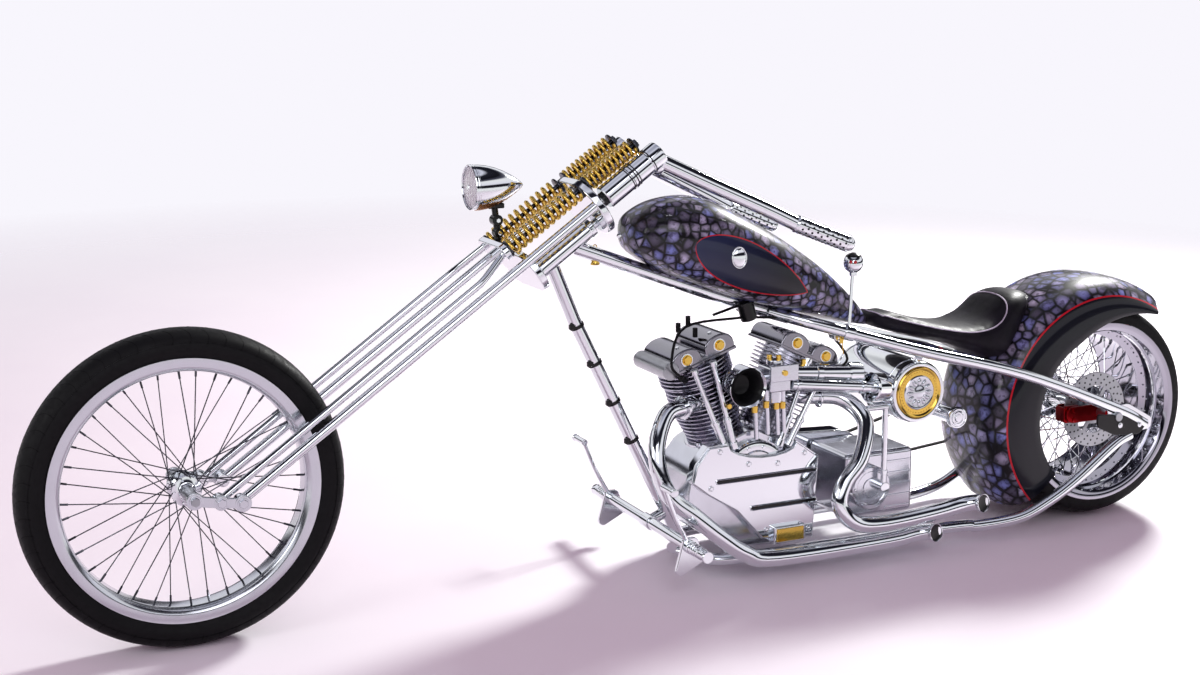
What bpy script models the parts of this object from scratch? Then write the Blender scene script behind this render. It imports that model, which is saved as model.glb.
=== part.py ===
"""Long-fork chopper motorcycle with a springer fork and a V-twin engine.

Blender 4.5, metres, +Z up, +X forward, +Y the bike's left side. The bike is laid out upright,
measured from the point below the rear axle, and hangs on one empty that leans it on its side stand.
"""

from math import atan2, cos, hypot, pi, radians, sin, sqrt

import bmesh
import bpy
from mathutils import Matrix, Vector

TURN = 2 * pi

# Clearances
SEAT_GAP = 0.0003
RUNNING_GAP = 0.0008
JOURNAL_GAP = 0.00025

# Sides of round pieces, from the wheels down to the thinnest rods, and steps round a rounded end
WHEEL_SIDES = 24
DRUM_SIDES = 16
ROUND_SIDES = 10
FIN_SIDES = 10
BAR_SIDES = 8
TUBE_SIDES = 10
PIN_SIDES = 8
JOURNAL_SIDES = 10
ROD_SIDES = 6
WIRE_SIDES = 3
END_STEPS = 6
SHORT_STEPS = 4
BELT_STEPS = 12
PLATE_STEPS = 5

# Stance
STAND_LEAN = radians(3)
WHEELBASE = 2.712
RAKE = radians(55)
AXLE_LEAD = 0.158

# Front wheel
FRONT_TYRE_RADIUS = 0.400
FRONT_TYRE_WIDTH = 0.106
FRONT_RIM_RADIUS = 0.333
FRONT_RIM_WIDTH = 0.088
FRONT_BEAD_RADIUS = 0.306
FRONT_WELL_RADIUS = 0.2955
FRONT_WELL_WIDTH = 0.040
FRONT_HUB_RADIUS = 0.020
FRONT_HUB_FLANGE_RADIUS = 0.037
FRONT_HUB_WIDTH = 0.088
FRONT_HUB_FLANGE_SPREAD = 0.060
FRONT_AXLE_RADIUS = 0.010
SPOKE_RADIUS = 0.0022
FRONT_SPOKES_A_SIDE = 16
REAR_SPOKES_A_SIDE = 16

# Rear wheel
REAR_TYRE_RADIUS = 0.3315
REAR_TYRE_WIDTH = 0.300
REAR_RIM_RADIUS = 0.2727
REAR_RIM_WIDTH = 0.314
REAR_BEAD_RADIUS = 0.254
REAR_WELL_RADIUS = 0.222
REAR_WELL_WIDTH = 0.110
RIM_WALL = 0.004
FLANGE_THICKNESS = 0.004
REAR_HUB_RADIUS = 0.030
REAR_HUB_FLANGE_RADIUS = 0.068
REAR_HUB_FLANGE_SPREAD = 0.090
REAR_HUB_LEFT = 0.135
REAR_HUB_RIGHT = 0.190
REAR_AXLE_RADIUS = 0.0125
DISC_RADIUS = 0.115
DISC_THICKNESS = 0.005
DISC_PLACE = 0.118
PULLEY_RADIUS = 0.110
BELT_WIDTH = 0.014
BELT_PLACE = 0.183
BELT_THICKNESS = 0.005
DRIVE_PULLEY_RADIUS = 0.050
CALIPER_CLEARANCE = 0.0055
CALIPER_WALL = 0.006
CALIPER_SIDE = 0.152
CALIPER_ROOT = 0.074
CALIPER_HEIGHT = 0.052
CALIPER_ARM_RADIUS = 0.026
CALIPER_ARM_THICKNESS = 0.009
AXLE_SPACER_SHARE = 1.6

# Fork, along the steering axis from the height of the axle
LEG_RADIUS = 0.0127
LEG_SPREAD = 0.105
LEG_LEAD = 0.076
LEG_FOOT = 0.083
SPRING_LEG_RADIUS = 0.0100
SPRING_LEG_LEAD = 0.112
SPRING_LEG_FOOT = 0.045
SPRING_LEG_BEND = 0.885
EYE_RADIUS = 0.017
EYE_LENGTH = 0.030
PIVOT_PIN_RADIUS = 0.007
ROCKER_THICKNESS = 0.012
ROCKER_RADIUS = 0.021
CROWN_PLACE = 1.004
CROWN_THICKNESS = 0.020
NECK_BOTTOM = 1.030
NECK_LENGTH = 0.200
NECK_RADIUS = 0.028
STEM_RADIUS = 0.0125
CLAMP_PLACE = 1.238
CLAMP_THICKNESS = 0.022
SLEEVE_BOTTOM = 1.272
SLEEVE_TOP = 1.466
SLEEVE_RADIUS = 0.032
CAP_RADIUS = 0.035
CAP_LENGTH = 0.045
PERCH_PLACE = 0.975
PERCH_THICKNESS = 0.018
SPRING_SPREAD = 0.067
SPRING_LEAD = 0.123
SPRING_ROD_RADIUS = 0.006
SPRING_RADIUS = 0.0205
SPRING_WASHER_RADIUS = 0.0235
WASHER_THICKNESS = 0.005
LOWER_SPRING_WIRE = 0.0042
UPPER_SPRING_WIRE = 0.0032
LOWER_SPRING_TURNS = 7
UPPER_SPRING_TURNS = 5
STEPS_A_TURN = 5
UPPER_SPRING_TOP = 1.425
ROD_NUT_RADIUS = 0.012
ROD_NUT_LENGTH = 0.016

# Handlebars
BAR_RADIUS = 0.0205
GRIP_RADIUS = 0.0240
BAR_START = 1.440
BAR_BEND_PLACE = 1.602
BAR_BEND_LEAD = -0.207
BAR_BEND_Y = 0.170
GRIP_START_PLACE = 1.650
GRIP_START_LEAD = -0.296
GRIP_START_Y = 0.188
GRIP_END_PLACE = 1.741
GRIP_END_LEAD = -0.436
GRIP_END_Y = 0.205

# Headlight
LAMP_RADIUS = 0.0585
LAMP_LENGTH = 0.150
LAMP_PLACE = 1.0207
LAMP_LEAD = 0.2942
LAMP_WALL = 0.004
LENS_DEPTH = 0.020
LAMP_BRACKET_WIDTH = 0.036
LAMP_BRACKET_THICKNESS = 0.010

# Frame
BACKBONE_RADIUS = 0.020
DOWNTUBE_RADIUS = 0.0185
RAIL_RADIUS = 0.0170
STAY_RADIUS = 0.0175
NECK_PLACE = NECK_BOTTOM + NECK_LENGTH / 2
NECK_X = WHEELBASE - AXLE_LEAD * cos(RAKE) - NECK_PLACE * sin(RAKE)
NECK_Z = FRONT_TYRE_RADIUS - AXLE_LEAD * sin(RAKE) + NECK_PLACE * cos(RAKE)
FRAME_LENGTH_SHARE = 0.99072
FRAME_HEIGHT_SHARE = 1.01229
FRAME_LENGTH = NECK_X * FRAME_LENGTH_SHARE
FRAME_HEIGHT = NECK_Z * FRAME_HEIGHT_SHARE
FRAME_HALF_WIDTH = 0.214
PLATE_THICKNESS = 0.012

# Engine
CRANK_SHARE = 0.70476
CRANK_X = FRAME_LENGTH * CRANK_SHARE
CRANK_Z = 0.202
ENGINE_TILT = radians(4)
VEE_HALF_ANGLE = radians(22.5)
CASE_HALF_WIDTH = 0.100
CASE_SIZE = 0.200
DECK_HEIGHT = 0.185
DECK_HALF_LENGTH = 0.075
COVER_THICKNESS = 0.038
SLOT_LEAD = 0.116
SLOT_TRAIL = 0.199
SLOT_RISE = 0.070
SLOT_STEP = 0.090
SLOT_DROP = 0.088
SLOT_RADIUS = 0.006
SLOT_DEPTH = 0.005
TIMING_RADIUS = 0.095
TIMING_TRAIL = 0.009
TIMING_RISE = 0.074
FILTER_TRAIL = 0.049
FILTER_LENGTH = 0.100
FILTER_DROP = 0.077
FILTER_HEIGHT = 0.050
FILTER_DEPTH = 0.022
BARREL_RADIUS = 0.066
FIN_RADIUS = 0.098
BASE_FIN_RADIUS = 0.078
FIN_COUNT = 7
HEAD_START = 0.360
HEAD_TOP = 0.418
HEAD_RADIUS = 0.104
ROCKER_BOX_HEIGHT = 0.450
KNUCKLE_RADIUS = 0.026
KNUCKLE_SPREAD = 0.055
KNUCKLE_HALF_LENGTH = 0.098
PUSHROD_RADIUS = 0.0065
ROD_FOOT_PLACE = 0.085
ROD_FOOT_STEP = 0.014
ROD_FOOT_HEIGHT = 0.150
ROD_TOP_PLACE = 0.020
ROD_TOP_STEP = 0.030
BELL_RADIUS = 0.056
BELL_THROAT_RADIUS = 0.030
BELL_DEPTH = 0.070
BELL_LEAD = 0.058
BELL_RISE = 0.338
BELL_X = CRANK_X + BELL_LEAD
BELL_Z = CRANK_Z + BELL_RISE
BELL_MOUTH = 0.192
BELL_WALL = 0.003
CARB_TRAIL = 0.069
CARB_X = CRANK_X - CARB_TRAIL
MANIFOLD_TRAIL = 0.024
MANIFOLD_X = CRANK_X - MANIFOLD_TRAIL
MANIFOLD_REACH = 0.120
CARB_ROOT = 0.075
CARB_FACE = 0.150
CARB_HALF_SIZE = 0.034
ELBOW_PLACE = 0.098
ELBOW_RADIUS = 0.022
MANIFOLD_RADIUS = 0.021
MANIFOLD_DROP = 0.020
BOWL_RADIUS = 0.022
BOWL_DEPTH = 0.070

# Gearbox, primary drive and oil tank
PRIMARY_DROP = 0.002
GEARBOX_LEAD = 0.090
GEARBOX_LENGTH = 0.230
GEARBOX_DROP = 0.105
GEARBOX_HEIGHT = 0.190
GEARBOX_COVER_LEAD = 0.020
GEARBOX_COVER_DROP = 0.011
MAINSHAFT_SHARE = 0.46429
MAINSHAFT_X = FRAME_LENGTH * MAINSHAFT_SHARE
MAINSHAFT_Z = CRANK_Z - PRIMARY_DROP
GEARBOX_FRONT = MAINSHAFT_X + GEARBOX_LEAD
GEARBOX_REAR = GEARBOX_FRONT - GEARBOX_LENGTH
GEARBOX_BOTTOM = MAINSHAFT_Z - GEARBOX_DROP
GEARBOX_TOP = GEARBOX_BOTTOM + GEARBOX_HEIGHT
GEARBOX_COVER_X = MAINSHAFT_X + GEARBOX_COVER_LEAD
GEARBOX_COVER_Z = MAINSHAFT_Z - GEARBOX_COVER_DROP
GEARBOX_COVER_RADIUS = 0.063
GEARBOX_COVER_DEPTH = 0.030
PRIMARY_THICKNESS = 0.066
PRIMARY_FRONT_RADIUS = 0.125
PRIMARY_REAR_RADIUS = 0.105
OIL_TANK_SHARE = 0.4006
OIL_TANK_DROP = 0.120
OIL_TANK_RADIUS = 0.090
OIL_TANK_LEFT = 0.165
OIL_TANK_RIGHT = 0.150
OIL_NECK_PLACE = 0.100
OIL_NECK_RADIUS = 0.042
NECK_REACH = 0.150
NECK_RISE = 0.026
PIPE_PLACE = 0.140
BREATHER_RADIUS = 0.017
BREATHER_DROP = 0.015
STRAP_PLACE = 0.140
STRAP_RADIUS = 0.012
MEDAL_RADIUS = 0.072
MEDAL_DEPTH = 0.006
STARTER_TRAIL = 0.113
STARTER_DROP = 0.079
STARTER_RADIUS = 0.022
STARTER_END_RADIUS = 0.031
STARTER_END = 0.203

# Exhausts
PIPE_RADIUS = 0.0235
PIPE_WALL = 0.0025
PORT_HEIGHT = 0.300
PORT_SIDE = 0.045
TIP_RADIUS = 0.026
TIP_LENGTH = 0.020

# Fuel tank
TANK_NOSE_TRAIL = 0.165
TANK_NOSE_X = FRAME_LENGTH - TANK_NOSE_TRAIL
TANK_LENGTH = 0.755
TANK_RISE = 0.110
TANK_TOP = FRAME_HEIGHT + TANK_RISE
TANK_HEIGHT = 0.400
TANK_HALF_WIDTH = 0.150
TANK_TUNNEL_GAP = 0.004
CAP_TRAIL = 0.262
CAP_X = TANK_NOSE_X - CAP_TRAIL
CAP_Y = 0.042
CAP_DROP = 0.060
CAP_Z = TANK_TOP - CAP_DROP
CAP_HEIGHT = 0.022
FILLER_RADIUS = 0.026

# Seat
SEAT_TANK_GAP = 0.010
SEAT_TAIL_X = 0.195
SEAT_DROP = 0.0305
SEAT_NOSE_X = TANK_NOSE_X - TANK_LENGTH - SEAT_TANK_GAP
SEAT_LENGTH = SEAT_NOSE_X - SEAT_TAIL_X
SEAT_HEIGHT = 0.200
SEAT_HALF_WIDTH = 0.140

# Fender
FENDER_CROWN_RADIUS = 0.405
FENDER_EDGE_RADIUS = 0.355
FENDER_LIP_RADIUS = 0.245
FENDER_HALF_WIDTH = 0.170
FENDER_WALL = 0.004
FENDER_FRONT_ANGLE = radians(-43)
FENDER_REAR_ANGLE = radians(122)
FENDER_STEPS = 10
SEAT_TOP = REAR_TYRE_RADIUS + FENDER_CROWN_RADIUS - SEAT_DROP
BOSS_FRONT_X = 0.262
BOSS_REAR_X = 0.235
BOSS_RADIUS = 0.010

# Foot controls
FOOT_BAR_LEAD = 0.103
DOWNTUBE_FOOT_SHARE = 0.800
FOOT_BAR_X = FRAME_LENGTH * DOWNTUBE_FOOT_SHARE + FOOT_BAR_LEAD
FOOT_BAR_Z = 0.142
FOOT_BAR_RADIUS = 0.016
FOOT_BAR_HALF_WIDTH = 0.240
FOOT_PLATE_THICKNESS = 0.012
FOOT_PLATE_SIZE = 0.080
PEG_ROOT_RADIUS = 0.018
PEG_END_RADIUS = 0.013
PEG_LENGTH = 0.100
PEDAL_RADIUS = 0.006
PEDAL_HEIGHT = 0.175
TOE_PEG_LENGTH = 0.060

# Shift lever
LEVER_SHARE = 0.5238
LEVER_X = FRAME_LENGTH * LEVER_SHARE
LEVER_HEIGHT = 0.197
LEVER_CLAMP_LENGTH = 0.024
LEVER_RADIUS = 0.005
KNOB_RADIUS = 0.030

# Side stand
STAND_SHARE = 0.63095
STAND_PIVOT_X = FRAME_LENGTH * STAND_SHARE
STAND_PIVOT_Y = 0.212
STAND_PIVOT_Z = 0.034
STAND_FOOT_LEAD = 0.110
STAND_FOOT_X = STAND_PIVOT_X + STAND_FOOT_LEAD
STAND_FOOT_Y = 0.345
STAND_RADIUS = 0.010
STAND_BOSS_RADIUS = 0.018
STAND_BOSS_LENGTH = 0.024
STAND_PIN_RADIUS = 0.007
STAND_FOOT_RADIUS = 0.024
STAND_FOOT_THICKNESS = 0.008

OVERRUN = 0.02


def colour(code):
    """Linear RGBA of an sRGB hex colour."""
    levels = [int(code[i : i + 2], 16) / 255 for i in (1, 3, 5)]
    linear = [v / 12.92 if v <= 0.04045 else ((v + 0.055) / 1.055) ** 2.4 for v in levels]
    return (*linear, 1.0)


def finish(name, code, roughness, metallic):
    """One Principled material."""
    made = bpy.data.materials.new(name)
    made.use_nodes = True
    shader = made.node_tree.nodes["Principled BSDF"]
    shader.inputs["Base Color"].default_value = colour(code)
    shader.inputs["Roughness"].default_value = roughness
    shader.inputs["Metallic"].default_value = metallic
    return made


def clear_scene():
    """Removes every object of the open scene."""
    for old in list(bpy.data.objects):
        bpy.data.objects.remove(old, do_unlink=True)


def square_to(direction):
    """Two unit vectors square to a direction and to each other."""
    side = Vector((0, 1, 0))
    if abs(direction.normalized().dot(side)) > 0.9:
        side = Vector((1, 0, 0))
    first = side.cross(direction).normalized()
    return first, direction.cross(first).normalized()


def closed_mesh(rings, end_caps=True, loop=False):
    """A bmesh whose side bridges rings of points in order; a ring of one point closes to it."""
    bm = bmesh.new()
    made = [[bm.verts.new(point) for point in ring] for ring in rings]
    pairs = list(zip(made, made[1:]))
    if loop:
        pairs.append((made[-1], made[0]))
    for low, high in pairs:
        count = max(len(low), len(high))
        for i in range(count):
            j = (i + 1) % count
            if len(low) == 1:
                bm.faces.new((low[0], high[j], high[i]))
            elif len(high) == 1:
                bm.faces.new((low[i], low[j], high[0]))
            else:
                bm.faces.new((low[i], low[j], high[j], high[i]))
    if end_caps and not loop:
        for ring in (made[0], made[-1]):
            if len(ring) > 2:
                bm.faces.new(ring)
    bmesh.ops.recalc_face_normals(bm, faces=bm.faces)
    return bm


def swept(path, radii, sides=PIN_SIDES):
    """A round bar along a path of points, mitred at each bend, with one radius or one for each point."""
    path = [Vector(point) for point in path]
    if not isinstance(radii, (list, tuple)):
        radii = [radii] * len(path)
    steps = [(b - a).normalized() for a, b in zip(path, path[1:])]
    across, _ = square_to(steps[0])
    rings = []
    for i, (point, radius) in enumerate(zip(path, radii)):
        before = steps[max(i - 1, 0)]
        after = steps[min(i, len(steps) - 1)]
        mitre = (before + after).normalized()
        across = (across - before * across.dot(before)).normalized()
        up = before.cross(across)
        ring = []
        for k in range(sides):
            angle = TURN * k / sides
            offset = (across * cos(angle) + up * sin(angle)) * radius
            offset -= before * (offset.dot(mitre) / before.dot(mitre))
            ring.append(point + offset)
        rings.append(ring)
        across = (across - after * across.dot(after)).normalized()
    return closed_mesh(rings)


def smooth_route(points, steps):
    """Points on a Catmull-Rom curve through the given points."""
    points = [Vector(point) for point in points]
    ends = [points[0] * 2 - points[1]] + points + [points[-1] * 2 - points[-2]]
    route = []
    for a, b, c, d in zip(ends, ends[1:], ends[2:], ends[3:]):
        for k in range(steps):
            t = k / steps
            route.append(
                0.5 * (
                    2 * b + (c - a) * t + (2 * a - 5 * b + 4 * c - d) * t**2 + (
                        3 * b - a - 3 * c + d
                    ) * t**3
                )
            )
    return route + [points[-1]]


def turned(profile, origin, axis, sides=WHEEL_SIDES, loop=False):
    """A turned shape: profile is (place along the axis, radius), closed on the axis or a closed loop."""
    origin, axis = Vector(origin), Vector(axis).normalized()
    first, second = square_to(axis)
    rings = []
    for along, radius in profile:
        middle = origin + axis * along
        if radius == 0:
            rings.append([middle])
            continue
        rings.append(
            [
                middle + (first * cos(TURN * k / sides) + second * sin(TURN * k / sides)) * radius
                for k in range(sides)
            ]
        )
    return closed_mesh(rings, loop=loop)


def cylinder(start, end, radius, sides=BAR_SIDES):
    """A plain round bar."""
    return swept([start, end], radius, sides)


def journal_bore(radius):
    """Radius of a faceted bore whose flats clear the corners of a shaft that turns in it."""
    return radius / cos(pi / JOURNAL_SIDES) + JOURNAL_GAP


def prism(outline, low, high):
    """An outline of (x, z) points, extruded from y = low to y = high."""
    return closed_mesh([[Vector((x, y, z)) for x, z in outline] for y in (low, high)])


def block(low, high):
    """A box between two corners."""
    outline = ((low[0], low[2]), (high[0], low[2]), (high[0], high[2]), (low[0], high[2]))
    return prism(outline, low[1], high[1])


def shape_object(bm, name):
    """Puts a bmesh into a new object."""
    mesh = bpy.data.meshes.new(name)
    bm.to_mesh(mesh)
    bm.free()
    made = bpy.data.objects.new(name, mesh)
    bpy.context.scene.collection.objects.link(made)
    return made


def combined(base, others, operation):
    """The exact Boolean of a bmesh with others, as a new bmesh."""
    shape = shape_object(base, "shape")
    tools = [shape_object(other, "tool") for other in others]
    for tool in tools:
        modifier = shape.modifiers.new("combine", "BOOLEAN")
        modifier.operation = operation
        modifier.solver = "EXACT"
        modifier.object = tool
    graph = bpy.context.evaluated_depsgraph_get()
    result = bmesh.new()
    result.from_mesh(shape.evaluated_get(graph).to_mesh())
    for used in [shape, *tools]:
        bpy.data.objects.remove(used, do_unlink=True)
    return result


def joined(*shapes):
    """One body from overlapping shapes."""
    return combined(shapes[0], shapes[1:], "UNION")


def carved(base, *cutters):
    """A shape with others cut from it."""
    return combined(base, cutters, "DIFFERENCE")


def mirrored(bm):
    """The same shape on the other side of the bike."""
    bmesh.ops.scale(bm, vec=(1, -1, 1), verts=bm.verts)
    bmesh.ops.reverse_faces(bm, faces=bm.faces)
    return bm


def node(name, bm, material, parent):
    """Makes a named piece of the bike."""
    made = shape_object(bm, name)
    made.data.materials.append(material)
    made.data.shade_smooth()
    made.data.set_sharp_from_angle(angle=radians(35))
    made.parent = parent
    return made


def along_fork(place, side=0.0, lead=0.0):
    """A point of the fork: up the steering axis from the axle's height, to the side, and ahead of the axis."""
    up = Vector((-sin(RAKE), 0, cos(RAKE)))
    ahead = Vector((cos(RAKE), 0, sin(RAKE)))
    axle = Vector((WHEELBASE, 0, FRONT_TYRE_RADIUS))
    return axle + ahead * (lead - AXLE_LEAD) + up * place + Vector((0, side, 0))


def frame_route(shares):
    """Frame points from shares of the frame's length, half width and height."""
    return [Vector((x * FRAME_LENGTH, y * FRAME_HALF_WIDTH, z * FRAME_HEIGHT)) for x, y, z in shares]


def engine_point(forward, up, side=0.0):
    """A point measured from the crank, in the engine's tilted frame."""
    return Vector(
        (
            CRANK_X + forward * cos(ENGINE_TILT) - up * sin(ENGINE_TILT),
            side,
            CRANK_Z + forward * sin(ENGINE_TILT) + up * cos(ENGINE_TILT),
        )
    )


def stadium(first, second, steps=END_STEPS):
    """Outline round two circles, each (x, z, radius)."""
    (x1, z1, r1), (x2, z2, r2) = first, second
    heading = atan2(z2 - z1, x2 - x1)
    spread = hypot(x2 - x1, z2 - z1)
    lean = atan2(sqrt(spread**2 - (r1 - r2) ** 2), r1 - r2)
    outline = []
    for x, z, r, start, sweep in (
        (x1, z1, r1, heading + lean, TURN - 2 * lean),
        (x2, z2, r2, heading - lean, 2 * lean),
    ):
        outline += [
            (x + r * cos(start + sweep * k / steps), z + r * sin(start + sweep * k / steps))
            for k in range(steps + 1)
        ]
    return outline


FRONT_AXLE = (WHEELBASE, 0, FRONT_TYRE_RADIUS)
REAR_AXLE = (0, 0, REAR_TYRE_RADIUS)
ACROSS = (0, 1, 0)


# Share of the tyre's half width, share of its height above the bead
TYRE_SHARES = ((1.0, 0.52), (0.92, 0.80), (0.62, 0.935), (0.0, 1.0))


def tyre(centre, radius, width, bead, rim_radius, rim_width, sides):
    """A tyre as one thick ring that fills the rim's bed between its flanges."""
    height = radius - bead
    seat = rim_width / 2 - FLANGE_THICKNESS - SEAT_GAP
    lip = rim_radius + SEAT_GAP
    right = [(seat, bead + SEAT_GAP), (seat, lip)]
    right += [(width / 2 * y, bead + height * r) for y, r in TYRE_SHARES if bead + height * r > lip]
    profile = right + [(-y, r) for y, r in reversed(right[:-1])]
    return turned(profile, centre, ACROSS, sides, loop=True)


def rim(centre, radius, width, bead, well, well_width, sides):
    """A rolled rim: flanges, bead seats and a drop centre, one wall thick."""
    half, drop = width / 2, well_width / 2
    outer = [
        (half, radius), (half - FLANGE_THICKNESS, radius), (half - FLANGE_THICKNESS, bead - SEAT_GAP)
    ]
    outer.append((drop, well + RIM_WALL))
    inner = [(drop, well), (half, bead - RIM_WALL - SEAT_GAP)]
    profile = outer + [(-y, r) for y, r in reversed(outer)]
    profile += [(-y, r) for y, r in reversed(inner)] + inner
    return turned(profile, centre, ACROSS, sides, loop=True)


def spokes(centre, flange_radius, flange_side, rim_radius, rim_side, count, lead_share):
    """Laced spokes from both hub flanges as separate bars: each starts inside its flange."""
    bars = bmesh.new()
    middle = Vector(centre)
    for side in (1, -1):
        for k in range(count):
            turn = TURN * (k + (0.5 if side < 0 else 0)) / count
            lead = lead_share * TURN / 4 * (1 if k % 2 else -1)
            root_turn = turn + lead
            root_side = side * (flange_side + (SPOKE_RADIUS if k % 2 else -SPOKE_RADIUS))
            start = middle + Vector(
                (flange_radius * cos(root_turn), root_side, flange_radius * sin(root_turn))
            )
            end = middle + Vector((rim_radius * cos(turn), side * rim_side, rim_radius * sin(turn)))
            bar = swept([start, end], SPOKE_RADIUS, WIRE_SIDES)
            mesh = bpy.data.meshes.new("bar")
            bar.to_mesh(mesh)
            bar.free()
            bars.from_mesh(mesh)
            bpy.data.meshes.remove(mesh)
    return bars


def build_front_wheel(parent, rubber, chrome):
    """Tyre, rim and laced hub of the front wheel."""
    node(
        "front_tyre",
        tyre(
            FRONT_AXLE,
            FRONT_TYRE_RADIUS,
            FRONT_TYRE_WIDTH,
            FRONT_BEAD_RADIUS,
            FRONT_RIM_RADIUS,
            FRONT_RIM_WIDTH,
            WHEEL_SIDES,
        ),
        rubber,
        parent,
    )
    rim_shape = rim(
        FRONT_AXLE,
        FRONT_RIM_RADIUS,
        FRONT_RIM_WIDTH,
        FRONT_BEAD_RADIUS,
        FRONT_WELL_RADIUS,
        FRONT_WELL_WIDTH,
        WHEEL_SIDES,
    )
    node("front_rim", rim_shape, chrome, parent)
    half, flange = FRONT_HUB_WIDTH / 2, FRONT_HUB_FLANGE_SPREAD / 2
    bore = journal_bore(FRONT_AXLE_RADIUS)
    lip = SPOKE_RADIUS * 2
    right = [
        (half, bore),
        (half, FRONT_HUB_RADIUS),
        (flange + lip, FRONT_HUB_RADIUS),
        (flange + lip, FRONT_HUB_FLANGE_RADIUS),
        (flange - lip, FRONT_HUB_FLANGE_RADIUS),
        (flange - lip, FRONT_HUB_RADIUS),
    ]
    hub = turned(
        right + [(-y, r) for y, r in reversed(right)], FRONT_AXLE, ACROSS, JOURNAL_SIDES, loop=True
    )
    reach = FRONT_WELL_RADIUS * cos(pi / WHEEL_SIDES) - SEAT_GAP * 2
    laced = spokes(
        FRONT_AXLE,
        FRONT_HUB_FLANGE_RADIUS - lip,
        flange,
        reach,
        FRONT_WELL_WIDTH / 5,
        FRONT_SPOKES_A_SIDE,
        0.55,
    )
    node("front_hub_and_spokes", joined(hub, laced), chrome, parent)


def build_rear_wheel(parent, rubber, chrome, steel, dark):
    """Tyre, rim, laced hub, brake disc and belt pulley of the rear wheel."""
    node(
        "rear_tyre",
        tyre(
            REAR_AXLE,
            REAR_TYRE_RADIUS,
            REAR_TYRE_WIDTH,
            REAR_BEAD_RADIUS,
            REAR_RIM_RADIUS,
            REAR_RIM_WIDTH,
            WHEEL_SIDES,
        ),
        rubber,
        parent,
    )
    rim_shape = rim(
        REAR_AXLE,
        REAR_RIM_RADIUS,
        REAR_RIM_WIDTH,
        REAR_BEAD_RADIUS,
        REAR_WELL_RADIUS,
        REAR_WELL_WIDTH,
        WHEEL_SIDES,
    )
    node("rear_rim", rim_shape, chrome, parent)
    flange, lip = REAR_HUB_FLANGE_SPREAD / 2, SPOKE_RADIUS * 2
    bore = journal_bore(REAR_AXLE_RADIUS)
    disc_seat = DISC_PLACE - DISC_THICKNESS / 2 - SEAT_GAP
    profile = [
        (REAR_HUB_LEFT, bore),
        (REAR_HUB_LEFT, REAR_HUB_RADIUS),
        (disc_seat, REAR_HUB_RADIUS),
        (disc_seat, REAR_HUB_FLANGE_RADIUS),
        (disc_seat - lip * 2, REAR_HUB_FLANGE_RADIUS),
        (disc_seat - lip * 2, REAR_HUB_RADIUS),
        (flange + lip, REAR_HUB_RADIUS),
        (flange + lip, REAR_HUB_FLANGE_RADIUS),
        (flange - lip, REAR_HUB_FLANGE_RADIUS),
        (flange - lip, REAR_HUB_RADIUS),
        (-flange + lip, REAR_HUB_RADIUS),
        (-flange + lip, REAR_HUB_FLANGE_RADIUS),
        (-flange - lip, REAR_HUB_FLANGE_RADIUS),
        (-flange - lip, REAR_HUB_RADIUS),
        (-REAR_HUB_RIGHT, REAR_HUB_RADIUS),
        (-REAR_HUB_RIGHT, bore),
    ]
    hub = turned(profile, REAR_AXLE, ACROSS, JOURNAL_SIDES, loop=True)
    reach = REAR_WELL_RADIUS * cos(pi / WHEEL_SIDES) - SEAT_GAP * 2
    laced = spokes(
        REAR_AXLE,
        REAR_HUB_FLANGE_RADIUS - lip,
        flange,
        reach,
        REAR_WELL_WIDTH / 3,
        REAR_SPOKES_A_SIDE,
        0.45,
    )
    node("rear_hub_and_spokes", joined(hub, laced), chrome, parent)

    low, high = DISC_PLACE - DISC_THICKNESS / 2, DISC_PLACE + DISC_THICKNESS / 2
    inner = REAR_HUB_RADIUS + SEAT_GAP * 2
    ring = [(low, inner), (high, inner), (high, DISC_RADIUS), (low, DISC_RADIUS)]
    node("brake_disc", turned(ring, REAR_AXLE, ACROSS, WHEEL_SIDES, loop=True), steel, parent)

    half = BELT_WIDTH / 2
    rim_radius = PULLEY_RADIUS - BELT_THICKNESS - RUNNING_GAP
    ring = [
        (-BELT_PLACE - half, inner),
        (-BELT_PLACE + half, inner),
        (-BELT_PLACE + half, rim_radius),
        (-BELT_PLACE - half, rim_radius),
    ]
    node("belt_pulley", turned(ring, REAR_AXLE, ACROSS, WHEEL_SIDES, loop=True), dark, parent)


# Frame routes: shares of the frame's length, half width and height
BACKBONE_SHARES = ((1.0, 0, 1.0), (0.767, 0, 0.840), (0.600, 0, 0.733))
DOWNTUBE_SHARES = ((1.03, 0, 0.955), (0.992, 0, 0.784), (0.800, 0, 0.070))
RAIL_SHARES = (
    (0.812, 0.08, 0.052),
    (0.785, 0.30, 0.052),
    (0.740, 0.66, 0.052),
    (0.338, 0.77, 0.052),
    (0.274, 0.82, 0.046),
    (0.196, 0.92, 0.060),
    (0.140, 0.97, 0.102),
    (0.083, 1.0, 0.162),
    (0.0, 1.0, 0.264),
    (-0.034, 1.0, 0.290),
)
STAY_SHARES = (
    (0.640, 0.06, 0.758),
    (0.575, 0.42, 0.722),
    (0.405, 0.74, 0.629),
    (0.205, 0.95, 0.529),
    (0.0, 1.0, 0.381),
    (-0.066, 1.0, 0.318),
)
# Axle plate outline: shares of the plate's length along x and z, from the rear axle
PLATE_LENGTH = 0.120
PLATE_SHARES = (
    (0.30, 0.25), (0.25, -0.25), (-0.25, -0.48), (-1.1, -0.42), (-1.15, -0.15), (-0.35, 0.30)
)


def neck_bar(extra=0.0):
    """The neck's outer bar, to cut other tubes to its shape."""
    return cylinder(
        along_fork(NECK_BOTTOM - extra),
        along_fork(NECK_BOTTOM + NECK_LENGTH + extra),
        NECK_RADIUS + extra,
        ROUND_SIDES,
    )


def backbone_bar(extra=0.0):
    """The backbone tube, bigger all round by extra."""
    return swept(frame_route(BACKBONE_SHARES), BACKBONE_RADIUS + extra, TUBE_SIDES)


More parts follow.
